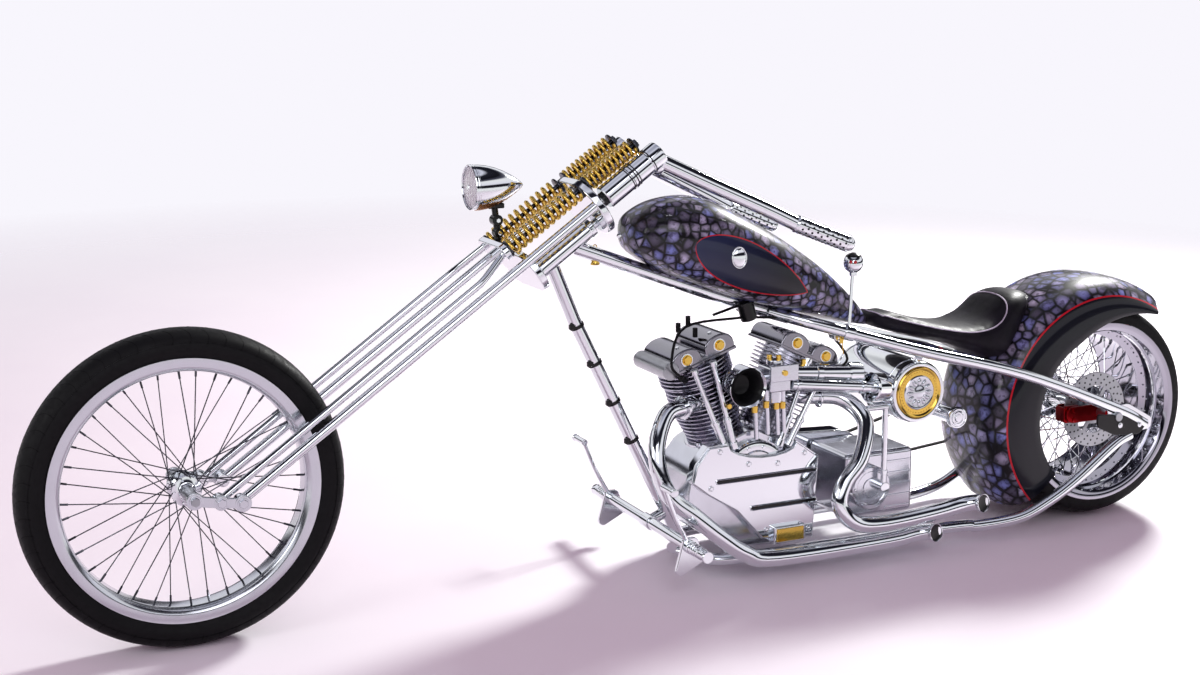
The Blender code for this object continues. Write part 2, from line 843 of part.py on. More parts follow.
def build_frame(parent, chrome, dark):
    """Neck, backbone, downtube, rails, stays with axle plates, and the rear axle."""
    low, high = along_fork(NECK_BOTTOM - OVERRUN), along_fork(NECK_BOTTOM + NECK_LENGTH + OVERRUN)
    neck = carved(neck_bar(), cylinder(low, high, journal_bore(STEM_RADIUS), JOURNAL_SIDES))
    node("neck_tube", neck, chrome, parent)
    node("backbone", carved(backbone_bar(), neck_bar(SEAT_GAP)), chrome, parent)
    down_route = frame_route(DOWNTUBE_SHARES)
    downtube = carved(
        swept(down_route, DOWNTUBE_RADIUS, TUBE_SIDES), neck_bar(SEAT_GAP), backbone_bar(SEAT_GAP)
    )
    node("downtube", downtube, chrome, parent)

    axle_z = REAR_TYRE_RADIUS
    plate_outline = [(x * PLATE_LENGTH, axle_z + z * PLATE_LENGTH) for x, z in PLATE_SHARES]
    plate_low = FRAME_HALF_WIDTH - PLATE_THICKNESS / 2
    plate_high = FRAME_HALF_WIDTH + PLATE_THICKNESS / 2

    def axle_bar(extra):
        reach = FRAME_HALF_WIDTH + OVERRUN
        return cylinder(
            (0, -reach, axle_z), (0, reach, axle_z), REAR_AXLE_RADIUS + extra, JOURNAL_SIDES
        )

    def stay_shapes(extra):
        route = smooth_route(frame_route(STAY_SHARES), 2)
        tube = swept(route, STAY_RADIUS + extra, PIN_SIDES)
        plate = prism(plate_outline, plate_low - extra, plate_high + extra)
        return tube, plate

    for side, flip in (("left", False), ("right", True)):
        stay = carved(joined(*stay_shapes(0.0)), backbone_bar(SEAT_GAP), axle_bar(SEAT_GAP))
        rail_route = smooth_route(frame_route(RAIL_SHARES), 2)
        rail = swept(rail_route, RAIL_RADIUS, PIN_SIDES)
        if flip:
            rail = joined(rail, stand_lug())
            rail = carved(rail, stand_pin(journal_bore(STAND_PIN_RADIUS) - STAND_PIN_RADIUS))
        rail = carved(
            rail, swept(down_route, DOWNTUBE_RADIUS + SEAT_GAP, TUBE_SIDES), *stay_shapes(SEAT_GAP)
        )
        if flip:
            stay, rail = mirrored(stay), mirrored(rail)
        node(f"seat_stay_{side}", stay, chrome, parent)
        node(f"lower_rail_{side}", rail, chrome, parent)

    spacer = REAR_AXLE_RADIUS * AXLE_SPACER_SHARE
    nut = REAR_AXLE_RADIUS * 1.5
    outer = FRAME_HALF_WIDTH + STAY_RADIUS + SEAT_GAP
    end = outer + REAR_AXLE_RADIUS
    inner = FRAME_HALF_WIDTH - STAY_RADIUS - SEAT_GAP
    left_hub, right_hub = REAR_HUB_LEFT + RUNNING_GAP * 2, REAR_HUB_RIGHT + RUNNING_GAP * 2
    profile = [
        (-end, 0),
        (-end, nut),
        (-outer, nut),
        (-outer, REAR_AXLE_RADIUS),
        (-inner, REAR_AXLE_RADIUS),
        (-inner, spacer),
        (-right_hub, spacer),
        (-right_hub, REAR_AXLE_RADIUS),
        (left_hub, REAR_AXLE_RADIUS),
        (left_hub, spacer),
        (inner, spacer),
        (inner, REAR_AXLE_RADIUS),
        (outer, REAR_AXLE_RADIUS),
        (outer, nut),
        (end, nut),
        (end, 0),
    ]
    node("rear_axle", turned(profile, REAR_AXLE, ACROSS, JOURNAL_SIDES), dark, parent)


def stand_axis():
    """Direction of the side stand's pivot, on the left side before mirroring."""
    down = stand_foot_point() - stand_pivot_point()
    folded = Vector((-1, 0, 0.1))
    return down.cross(folded).normalized()


def stand_pivot_point():
    """Middle of the stand's boss, on the left side before mirroring."""
    return Vector((STAND_PIVOT_X, STAND_PIVOT_Y, STAND_PIVOT_Z))


def stand_foot_point():
    """Middle of the foot's sole on the ground, on the left side before mirroring."""
    return Vector((STAND_FOOT_X, STAND_FOOT_Y, STAND_FOOT_Y * sin(STAND_LEAN) / cos(STAND_LEAN)))


def stand_lug():
    """The frame's half of the stand pivot: a disc on an arm from the rail."""
    axis, pivot = stand_axis(), stand_pivot_point()
    top = pivot + axis * (STAND_BOSS_LENGTH / 2 + SEAT_GAP * 2)
    disc = cylinder(top, top + axis * STAND_BOSS_LENGTH, STAND_BOSS_RADIUS, BAR_SIDES)
    rail_point = Vector((STAND_PIVOT_X, frame_route(RAIL_SHARES)[3].y * 0.93, FRAME_HEIGHT * 0.055))
    arm = cylinder(rail_point, top + axis * STAND_BOSS_LENGTH / 2, STAND_BOSS_LENGTH * 0.36, PIN_SIDES)
    return joined(disc, arm)


def stand_pin(extra):
    """The stand's pin through the lug."""
    axis, pivot = stand_axis(), stand_pivot_point()
    return cylinder(
        pivot, pivot + axis * (STAND_BOSS_LENGTH * 1.8 + extra), STAND_PIN_RADIUS + extra, JOURNAL_SIDES
    )


def build_stand(parent, chrome):
    """The side stand: boss, pin, bent leg and foot."""
    axis, pivot, foot = stand_axis(), stand_pivot_point(), stand_foot_point()
    boss = cylinder(
        pivot - axis * STAND_BOSS_LENGTH / 2,
        pivot + axis * STAND_BOSS_LENGTH / 2,
        STAND_BOSS_RADIUS,
        BAR_SIDES,
    )
    normal = Vector((0, -sin(STAND_LEAN), cos(STAND_LEAN)))
    sole = cylinder(foot, foot + normal * STAND_FOOT_THICKNESS, STAND_FOOT_RADIUS, ROUND_SIDES)
    leg = swept([pivot, foot + normal * STAND_FOOT_THICKNESS * 1.5], STAND_RADIUS, PIN_SIDES)
    cut = cylinder(foot - normal * OVERRUN, foot, STAND_FOOT_RADIUS * 2, ROUND_SIDES)
    shape = carved(joined(boss, leg, sole, stand_pin(0.0)), cut)
    node("side_stand", mirrored(shape), chrome, parent)


def pivot_point(place, lead, side):
    """Centre of a rocker's bolt."""
    return along_fork(place, side, lead)


def build_fork(parent, chrome, gold, dark, glass):
    """Rigid fork, spring fork, rockers, springs, bars and headlight."""
    y_in = LEG_SPREAD - EYE_LENGTH / 2
    y_rocker = LEG_SPREAD + EYE_LENGTH / 2 + SEAT_GAP
    y_out = y_rocker + ROCKER_THICKNESS

    def pins(extra):
        return [
            cylinder(
                pivot_point(LEG_FOOT, LEG_LEAD, y_in - extra),
                pivot_point(LEG_FOOT, LEG_LEAD, y_out),
                PIVOT_PIN_RADIUS + extra,
                TUBE_SIDES,
            ),
            cylinder(
                pivot_point(SPRING_LEG_FOOT, SPRING_LEG_LEAD, y_in - extra),
                pivot_point(SPRING_LEG_FOOT, SPRING_LEG_LEAD, y_out),
                PIVOT_PIN_RADIUS + extra,
                TUBE_SIDES,
            ),
        ]

    def axle_bar(extra):
        reach = y_out + OVERRUN
        return cylinder(
            along_fork(0, -reach, AXLE_LEAD),
            along_fork(0, reach, AXLE_LEAD),
            FRONT_AXLE_RADIUS + extra,
            JOURNAL_SIDES,
        )

    axle_end = y_out + FRONT_AXLE_RADIUS
    nut = FRONT_AXLE_RADIUS * 1.7
    spacer_in = FRONT_HUB_WIDTH / 2 + RUNNING_GAP * 2
    profile = [
        (axle_end, 0),
        (axle_end, nut),
        (y_out + SEAT_GAP, nut),
        (y_out + SEAT_GAP, FRONT_AXLE_RADIUS),
        (y_rocker - SEAT_GAP, FRONT_AXLE_RADIUS),
        (y_rocker - SEAT_GAP, nut),
        (spacer_in, nut),
        (spacer_in, FRONT_AXLE_RADIUS),
    ]
    profile = [(-y, r) for y, r in profile] + list(reversed(profile))
    node("front_axle", turned(profile, FRONT_AXLE, ACROSS, JOURNAL_SIDES), chrome, parent)

    legs, eyes = [], []
    for sign in (1, -1):
        y = LEG_SPREAD * sign
        legs.append(
            cylinder(
                along_fork(LEG_FOOT - EYE_RADIUS / 2, y, LEG_LEAD),
                along_fork(SLEEVE_TOP - CAP_LENGTH, y, LEG_LEAD),
                LEG_RADIUS,
                TUBE_SIDES,
            )
        )
        eyes.append(
            cylinder(
                along_fork(LEG_FOOT, y - EYE_LENGTH / 2, LEG_LEAD),
                along_fork(LEG_FOOT, y + EYE_LENGTH / 2, LEG_LEAD),
                EYE_RADIUS,
                BAR_SIDES,
            )
        )
        bottom = along_fork(SLEEVE_BOTTOM, y, LEG_LEAD)
        length = SLEEVE_TOP - SLEEVE_BOTTOM
        groove = CAP_RADIUS - SLEEVE_RADIUS
        sleeve = [
            (0, 0),
            (0, SLEEVE_RADIUS),
            (length - CAP_LENGTH, SLEEVE_RADIUS),
            (length - CAP_LENGTH, CAP_RADIUS),
            (length - groove, CAP_RADIUS),
            (length, CAP_RADIUS - groove),
            (length, 0),
        ]
        eyes.append(turned(sleeve, bottom, along_fork(1) - along_fork(0), BAR_SIDES))

    crown_low = along_fork(CROWN_PLACE)
    up = (along_fork(1) - along_fork(0)).normalized()

    def plate(place, thickness, half_width, back, front):
        """A flat plate square to the steering axis with rounded ends."""
        half_depth = (front - back) / 2
        middle = (front + back) / 2
        outline = []
        for sign in (1, -1):
            for k in range(PLATE_STEPS + 1):
                angle = pi / 2 * sign - pi * k / PLATE_STEPS * sign
                outline.append(
                    (
                        sign * (half_width - half_depth) + sign * half_depth * cos(angle),
                        half_depth * sin(angle),
                    )
                )
        rings = []
        for level in (place, place + thickness):
            rings.append([along_fork(level, y, middle + n) for y, n in outline])
        return closed_mesh(rings)

    crown = plate(
        CROWN_PLACE,
        CROWN_THICKNESS,
        LEG_SPREAD + EYE_RADIUS,
        -STEM_RADIUS * 2,
        LEG_LEAD + LEG_RADIUS * 1.2,
    )
    stem = cylinder(
        crown_low + up * CROWN_THICKNESS / 2,
        along_fork(CLAMP_PLACE + CLAMP_THICKNESS + STEM_RADIUS),
        STEM_RADIUS,
        JOURNAL_SIDES,
    )
    rigid = joined(legs[0], legs[1], *eyes, crown, stem)
    holes = pins(SEAT_GAP) + [mirrored(pin) for pin in pins(SEAT_GAP)]
    node("rigid_fork", carved(rigid, *holes), chrome, parent)

    def passing(extra):
        """Bars that pass through the top clamp."""
        low, high = CLAMP_PLACE - OVERRUN, SLEEVE_BOTTOM
        bars = [
            cylinder(along_fork(low), along_fork(high + OVERRUN), STEM_RADIUS + extra, JOURNAL_SIDES)
        ]
        for sign in (1, -1):
            y = LEG_SPREAD * sign
            bars.append(
                cylinder(
                    along_fork(low, y, LEG_LEAD),
                    along_fork(high, y, LEG_LEAD),
                    LEG_RADIUS + extra,
                    TUBE_SIDES,
                )
            )
            y = SPRING_SPREAD * sign
            bars.append(
                cylinder(
                    along_fork(low, y, SPRING_LEAD),
                    along_fork(high, y, SPRING_LEAD),
                    SPRING_ROD_RADIUS + extra,
                    PIN_SIDES,
                )
            )
        return bars

    clamp = plate(
        CLAMP_PLACE,
        CLAMP_THICKNESS,
        LEG_SPREAD + EYE_RADIUS,
        -STEM_RADIUS * 2,
        SPRING_LEAD + SPRING_ROD_RADIUS * 3,
    )
    node("top_clamp", carved(clamp, *passing(SEAT_GAP * 2)), chrome, parent)

    perch_low = SPRING_LEAD - SPRING_WASHER_RADIUS
    shapes = [
        plate(
            PERCH_PLACE,
            PERCH_THICKNESS,
            SPRING_SPREAD + SPRING_WASHER_RADIUS,
            perch_low,
            SPRING_LEAD + SPRING_WASHER_RADIUS,
        )
    ]
    for sign in (1, -1):
        y = LEG_SPREAD * sign
        route = [
            along_fork(SPRING_LEG_FOOT - EYE_RADIUS / 2, y, SPRING_LEG_LEAD),
            along_fork(SPRING_LEG_BEND, y, SPRING_LEG_LEAD),
            along_fork(PERCH_PLACE + PERCH_THICKNESS / 2, SPRING_SPREAD * sign, SPRING_LEAD),
        ]
        shapes.append(swept(route, SPRING_LEG_RADIUS, PIN_SIDES))
        shapes.append(
            cylinder(
                along_fork(SPRING_LEG_FOOT, y - EYE_LENGTH / 2, SPRING_LEG_LEAD),
                along_fork(SPRING_LEG_FOOT, y + EYE_LENGTH / 2, SPRING_LEG_LEAD),
                EYE_RADIUS,
                BAR_SIDES,
            )
        )
    spring_fork = joined(*shapes)
    holes = pins(SEAT_GAP) + [mirrored(pin) for pin in pins(SEAT_GAP)]
    node("spring_fork", carved(spring_fork, *holes), chrome, parent)

    for side, flip in (("left", False), ("right", True)):
        axle_point, rear_point = along_fork(0, 0, AXLE_LEAD), along_fork(LEG_FOOT, 0, LEG_LEAD)
        outline = stadium(
            (axle_point.x, axle_point.z, ROCKER_RADIUS),
            (rear_point.x, rear_point.z, ROCKER_RADIUS),
            SHORT_STEPS,
        )
        rocker = joined(prism(outline, y_rocker, y_out), *pins(0.0))
        rocker = carved(rocker, axle_bar(SEAT_GAP))
        node(f"rocker_{side}", mirrored(rocker) if flip else rocker, chrome, parent)

        sign = -1 if flip else 1
        node(f"spring_column_{side}", spring_column(SPRING_SPREAD * sign), gold, parent)
        node(f"handlebar_{side}", mirrored(handlebar()) if flip else handlebar(), chrome, parent)

    build_headlight(parent, chrome, dark, glass)


def spring_column(side):
    """Rod, washers and the two coil springs of one side."""
    base = PERCH_PLACE + PERCH_THICKNESS + SEAT_GAP
    under = CLAMP_PLACE - SEAT_GAP
    over = CLAMP_PLACE + CLAMP_THICKNESS + SEAT_GAP
    shapes = [cylinder(
            along_fork(base + WASHER_THICKNESS / 2, side, SPRING_LEAD),
            along_fork(UPPER_SPRING_TOP + ROD_NUT_LENGTH / 2, side, SPRING_LEAD),
            SPRING_ROD_RADIUS,
            ROD_SIDES,
        )
    ]
    for level in (base, under - WASHER_THICKNESS, over, UPPER_SPRING_TOP):
        shapes.append(
            cylinder(
                along_fork(level, side, SPRING_LEAD),
                along_fork(level + WASHER_THICKNESS, side, SPRING_LEAD),
                SPRING_WASHER_RADIUS,
                PIN_SIDES,
            )
        )
    shapes.append(
        cylinder(
            along_fork(UPPER_SPRING_TOP + WASHER_THICKNESS / 2, side, SPRING_LEAD),
            along_fork(UPPER_SPRING_TOP + ROD_NUT_LENGTH, side, SPRING_LEAD),
            ROD_NUT_RADIUS,
            6,
        )
    )
    for low, high, turns, wire in (
        (base + WASHER_THICKNESS, under - WASHER_THICKNESS, LOWER_SPRING_TURNS, LOWER_SPRING_WIRE),
        (over + WASHER_THICKNESS, UPPER_SPRING_TOP, UPPER_SPRING_TURNS, UPPER_SPRING_WIRE),
    ):
        steps = turns * STEPS_A_TURN
        route = []
        for k in range(steps + 1):
            angle = TURN * turns * k / steps
            place = low + wire / 2 + (high - low - wire) * k / steps
            route.append(
                along_fork(
                    place, side + SPRING_RADIUS * cos(angle), SPRING_LEAD + SPRING_RADIUS * sin(angle)
                )
            )
        shapes.append(swept(route, wire, WIRE_SIDES))
    return joined(*shapes)


def handlebar():
    """Left bar: a tube from the sleeve back to its grip."""
    start = along_fork(BAR_START, LEG_SPREAD, LEG_LEAD)
    bend = along_fork(BAR_BEND_PLACE, BAR_BEND_Y, BAR_BEND_LEAD)
    grip = along_fork(GRIP_START_PLACE, GRIP_START_Y, GRIP_START_LEAD)
    end = along_fork(GRIP_END_PLACE, GRIP_END_Y, GRIP_END_LEAD)
    step = (end - grip).normalized() * SEAT_GAP
    bar = swept(
        [start, bend, grip, grip + step, end],
        [BAR_RADIUS, BAR_RADIUS, BAR_RADIUS, GRIP_RADIUS, GRIP_RADIUS],
        ROUND_SIDES,
    )
    sleeve = cylinder(
        along_fork(SLEEVE_BOTTOM, LEG_SPREAD, LEG_LEAD),
        along_fork(SLEEVE_TOP + OVERRUN, LEG_SPREAD, LEG_LEAD),
        CAP_RADIUS + SEAT_GAP,
        BAR_SIDES,
    )
    return carved(bar, sleeve)


LAMP_SEAT_SHARE = 0.45
LAMP_SEAT_DROP_SHARE = 0.85
# Headlight outline: shares of the lamp's length back from the lens, of its radius
LAMP_SHARES = (
    (0.0, 1.0), (0.28, 1.0), (0.50, 0.86), (0.70, 0.62), (0.86, 0.34), (0.97, 0.10), (1.0, 0.0)
)


def build_headlight(parent, chrome, dark, glass):
    """Bullet headlight with its lens and the bracket on the spring perch."""
    inner = LAMP_RADIUS - LAMP_WALL
    profile = [(LENS_DEPTH, 0), (LENS_DEPTH, inner), (0, inner)]
    profile += [(LAMP_LENGTH * along, LAMP_RADIUS * radius) for along, radius in LAMP_SHARES]
    front = along_fork(LAMP_PLACE, 0, LAMP_LEAD)
    node("headlight_shell", turned(profile, front, (-1, 0, 0), ROUND_SIDES), chrome, parent)
    lens = [
        (LENS_DEPTH - SEAT_GAP, 0),
        (LENS_DEPTH - SEAT_GAP, inner - SEAT_GAP),
        (LENS_DEPTH / 4, inner - SEAT_GAP),
        (0, inner / 2),
        (-LENS_DEPTH / 8, 0),
    ]
    node("headlight_lens", turned(lens, front, (-1, 0, 0), ROUND_SIDES), glass, parent)

    foot = along_fork(PERCH_PLACE + PERCH_THICKNESS + SEAT_GAP, 0, SPRING_LEAD)
    middle = front - Vector((LAMP_LENGTH * LAMP_SEAT_SHARE, 0, LAMP_RADIUS * LAMP_SEAT_DROP_SHARE))
    arm = swept(
        [foot, foot + Vector((0, 0, LAMP_BRACKET_WIDTH)), middle], LAMP_BRACKET_THICKNESS, PIN_SIDES
    )
    outside = [
        (LAMP_LENGTH * along, LAMP_RADIUS * radius + SEAT_GAP) for along, radius in LAMP_SHARES[:-1]
    ]
    shell = turned([(0, 0)] + outside + [(LAMP_LENGTH, 0)], front, (-1, 0, 0), ROUND_SIDES)
    floor = cylinder(
        foot - (along_fork(1) - along_fork(0)).normalized() * OVERRUN, foot, OVERRUN * 2, ROUND_SIDES
    )
    node("headlight_bracket", carved(arm, shell, floor), dark, parent)


# Engine case outline: shares of the case's size, forward and up from the crank
CASE_SHARES = (
    (0.92, 0.40),
    (0.98, 0.0),
    (0.75, -0.45),
    (0.30, -0.70),
    (-0.75, -0.70),
    (-0.95, -0.45),
    (-0.95, 0.40),
)
# Cam cover outline: shares of the case's size
COVER_SHARES = (
    (0.98, 0.55),
    (1.02, 0.30),
    (0.75, 0.12),
    (0.30, -0.12),
    (-0.15, -0.55),
    (-0.98, -0.58),
    (-0.98, 0.60),
    (-0.62, 0.82),
    (0.40, 0.86),
    (0.80, 0.80),
)


def vee(lean, height, across=0.0, side=0.0):
    """A point on a cylinder's axis: lean is +1 for the front cylinder and -1 for the rear one."""
    angle = VEE_HALF_ANGLE * lean
    return engine_point(
        height * sin(angle) + across * cos(angle), height * cos(angle) - across * sin(angle), side
    )


def cylinder_envelope(lean):
    """The outside of one finned cylinder with the seating gap, to seat what meets it."""
    fins, head = FIN_RADIUS + SEAT_GAP, HEAD_RADIUS + SEAT_GAP
    profile = [
        (DECK_HEIGHT, 0),
        (DECK_HEIGHT, fins),
        (HEAD_START - SEAT_GAP, fins),
        (HEAD_START - SEAT_GAP, head),
        (HEAD_TOP, head),
        (HEAD_TOP, 0),
    ]
    return turned(profile, vee(lean, 0), vee(lean, 1) - vee(lean, 0), FIN_SIDES)


def build_engine(parent, alloy, chrome):
    """Case, cam cover with pushrod tubes, finned cylinders, rocker boxes and carburettor."""
    outline = [(x * CASE_SIZE, z * CASE_SIZE) for x, z in CASE_SHARES]
    deck = []
    for lean in (-1, 1):
        for across in (-DECK_HALF_LENGTH, DECK_HALF_LENGTH):
            angle = VEE_HALF_ANGLE * lean
            deck.append(
                (
                    DECK_HEIGHT * sin(angle) + across * cos(angle),
                    DECK_HEIGHT * cos(angle) - across * sin(angle),
                )
            )
    deck[1] = deck[2] = (0, deck[1][1])
    points = [engine_point(x, z) for x, z in outline + [deck[0], deck[1], deck[3]]]
    case = prism([(p.x, p.z) for p in points], -CASE_HALF_WIDTH, CASE_HALF_WIDTH)
    node("engine_case", case, alloy, parent)

    points = [engine_point(x * CASE_SIZE, z * CASE_SIZE) for x, z in COVER_SHARES]
    low = CASE_HALF_WIDTH + SEAT_GAP
    cover = [prism([(p.x, p.z) for p in points], low, low + COVER_THICKNESS)]
    timing = Vector((CRANK_X - TIMING_TRAIL, low, CRANK_Z + TIMING_RISE))
    cover.append(
        cylinder(timing, timing + Vector((0, COVER_THICKNESS / 2, 0)), TIMING_RADIUS, ROUND_SIDES)
    )
    rod_side = KNUCKLE_HALF_LENGTH + PUSHROD_RADIUS * 2
    for lean in (1, -1):
        for step in (-1, 1):
            foot = engine_point(
                lean * (ROD_FOOT_PLACE + step * ROD_FOOT_STEP),
                ROD_FOOT_HEIGHT,
                low + COVER_THICKNESS / 2,
            )
            top = vee(lean, HEAD_TOP, lean * (ROD_TOP_PLACE + step * ROD_TOP_STEP), rod_side)
            cover.append(cylinder(foot, top, PUSHROD_RADIUS, ROD_SIDES))
    filter_high = Vector(
        (CRANK_X - FILTER_TRAIL, low + COVER_THICKNESS + FILTER_DEPTH, CRANK_Z - FILTER_DROP)
    )
    filter_low = Vector((filter_high.x - FILTER_LENGTH, low, filter_high.z - FILTER_HEIGHT))
    cover.append(block(filter_low, filter_high))
    face = low + COVER_THICKNESS
    slots = []
    for lead, rise in ((SLOT_LEAD, SLOT_RISE), (SLOT_LEAD - SLOT_STEP, SLOT_RISE - SLOT_DROP)):
        height = CRANK_Z + rise
        outline = stadium(
            (CRANK_X + lead, height, SLOT_RADIUS),
            (CRANK_X - SLOT_TRAIL, height, SLOT_RADIUS),
            SHORT_STEPS,
        )
        slots.append(prism(outline, face - SLOT_DEPTH, face + OVERRUN))
    node("cam_cover", carved(joined(*cover), *slots), chrome, parent)

    for name, lean in (("front", 1), ("rear", -1)):
        pitch = (HEAD_START - DECK_HEIGHT) / (FIN_COUNT + 1)
        profile = [(DECK_HEIGHT + SEAT_GAP, 0), (DECK_HEIGHT + SEAT_GAP, BARREL_RADIUS)]
        for k in range(FIN_COUNT):
            place = DECK_HEIGHT + pitch * (k + 1)
            radius = BASE_FIN_RADIUS + (FIN_RADIUS - BASE_FIN_RADIUS) * min(1, k / (FIN_COUNT / 2))
            profile += [
                (place, BARREL_RADIUS),
                (place, radius),
                (place + pitch * 0.4, radius),
                (place + pitch * 0.4, BARREL_RADIUS),
            ]
        profile += [
            (HEAD_START, BARREL_RADIUS),
            (HEAD_START, HEAD_RADIUS),
            (HEAD_TOP, HEAD_RADIUS),
            (HEAD_TOP, 0),
        ]
        axis = vee(lean, 1) - vee(lean, 0)
        node(f"cylinder_{name}", turned(profile, vee(lean, 0), axis, FIN_SIDES), alloy, parent)

        shapes = []
        floor = HEAD_TOP + SEAT_GAP
        for across in (-KNUCKLE_SPREAD, KNUCKLE_SPREAD):
            shapes.append(
                cylinder(
                    vee(lean, ROCKER_BOX_HEIGHT, across, -KNUCKLE_HALF_LENGTH),
                    vee(lean, ROCKER_BOX_HEIGHT, across, KNUCKLE_HALF_LENGTH),
                    KNUCKLE_RADIUS,
                    ROUND_SIDES,
                )
            )
        ring = []
        for height in (floor, ROCKER_BOX_HEIGHT):
            spread = KNUCKLE_SPREAD + KNUCKLE_RADIUS * 0.8
            ring.append(
                [
                    vee(lean, height, a * spread, y * KNUCKLE_HALF_LENGTH * 0.8)
                    for a, y in ((-1, -1), (1, -1), (1, 1), (-1, 1))
                ]
            )
        shapes.append(closed_mesh(ring))
        below = closed_mesh(
            [
                [
                    vee(lean, height, a * HEAD_RADIUS, y * HEAD_RADIUS)
                    for a, y in ((-1, -1), (1, -1), (1, 1), (-1, 1))
                ]
                for height in (HEAD_START, floor)
            ]
        )
        node(f"rocker_box_{name}", carved(joined(*shapes), below), chrome, parent)

    mouth = (BELL_X, BELL_MOUTH, BELL_Z)
    # Share of the bell's depth behind the mouth, share of the radius step from throat to mouth
    bell_shares = ((0.0, 1.0), (0.12, 0.80), (0.35, 0.45), (0.65, 0.15), (1.0, 0.0))
    step = BELL_RADIUS - BELL_THROAT_RADIUS
    outer = [(BELL_DEPTH * a, BELL_THROAT_RADIUS + step * r) for a, r in bell_shares]
    inner = [(BELL_DEPTH * a * 0.96, BELL_THROAT_RADIUS + step * r - BELL_WALL) for a, r in bell_shares]
    profile = [(inner[-1][0], 0)] + list(reversed(inner)) + outer + [(BELL_DEPTH, 0)]
    node("intake_bell", turned(profile, mouth, (0, -1, 0), ROUND_SIDES), chrome, parent)
    back = BELL_MOUTH - BELL_DEPTH - SEAT_GAP
    body_low = (CARB_X - CARB_HALF_SIZE, CARB_ROOT, BELL_Z - CARB_HALF_SIZE)
    body_high = (CARB_X + CARB_HALF_SIZE, CARB_FACE, BELL_Z + CARB_HALF_SIZE)
    bowl_place = (CARB_ROOT + CARB_FACE) / 2
    runner = Vector((MANIFOLD_REACH, 0, 0))
    crotch = Vector((MANIFOLD_X, 0, BELL_Z - MANIFOLD_DROP))
    carb = joined(
        block(body_low, body_high),
        cylinder(
            (MANIFOLD_X, 0, BELL_Z), (MANIFOLD_X, ELBOW_PLACE, BELL_Z), MANIFOLD_RADIUS, TUBE_SIDES
        ),
        cylinder(
            (CARB_X, ELBOW_PLACE, BELL_Z),
            (BELL_X + ELBOW_RADIUS, ELBOW_PLACE, BELL_Z),
            ELBOW_RADIUS,
            PIN_SIDES,
        ),
        cylinder(
            (BELL_X, ELBOW_PLACE, BELL_Z), (BELL_X, back, BELL_Z), BELL_THROAT_RADIUS, ROUND_SIDES
        ),
        cylinder(
            (CARB_X, bowl_place, BELL_Z - BOWL_DEPTH),
            (CARB_X, bowl_place, BELL_Z),
            BOWL_RADIUS,
            TUBE_SIDES,
        ),
        cylinder(crotch - runner, crotch + runner, MANIFOLD_RADIUS, TUBE_SIDES),
    )
    node("carburettor", carved(carb, cylinder_envelope(1), cylinder_envelope(-1)), alloy, parent)


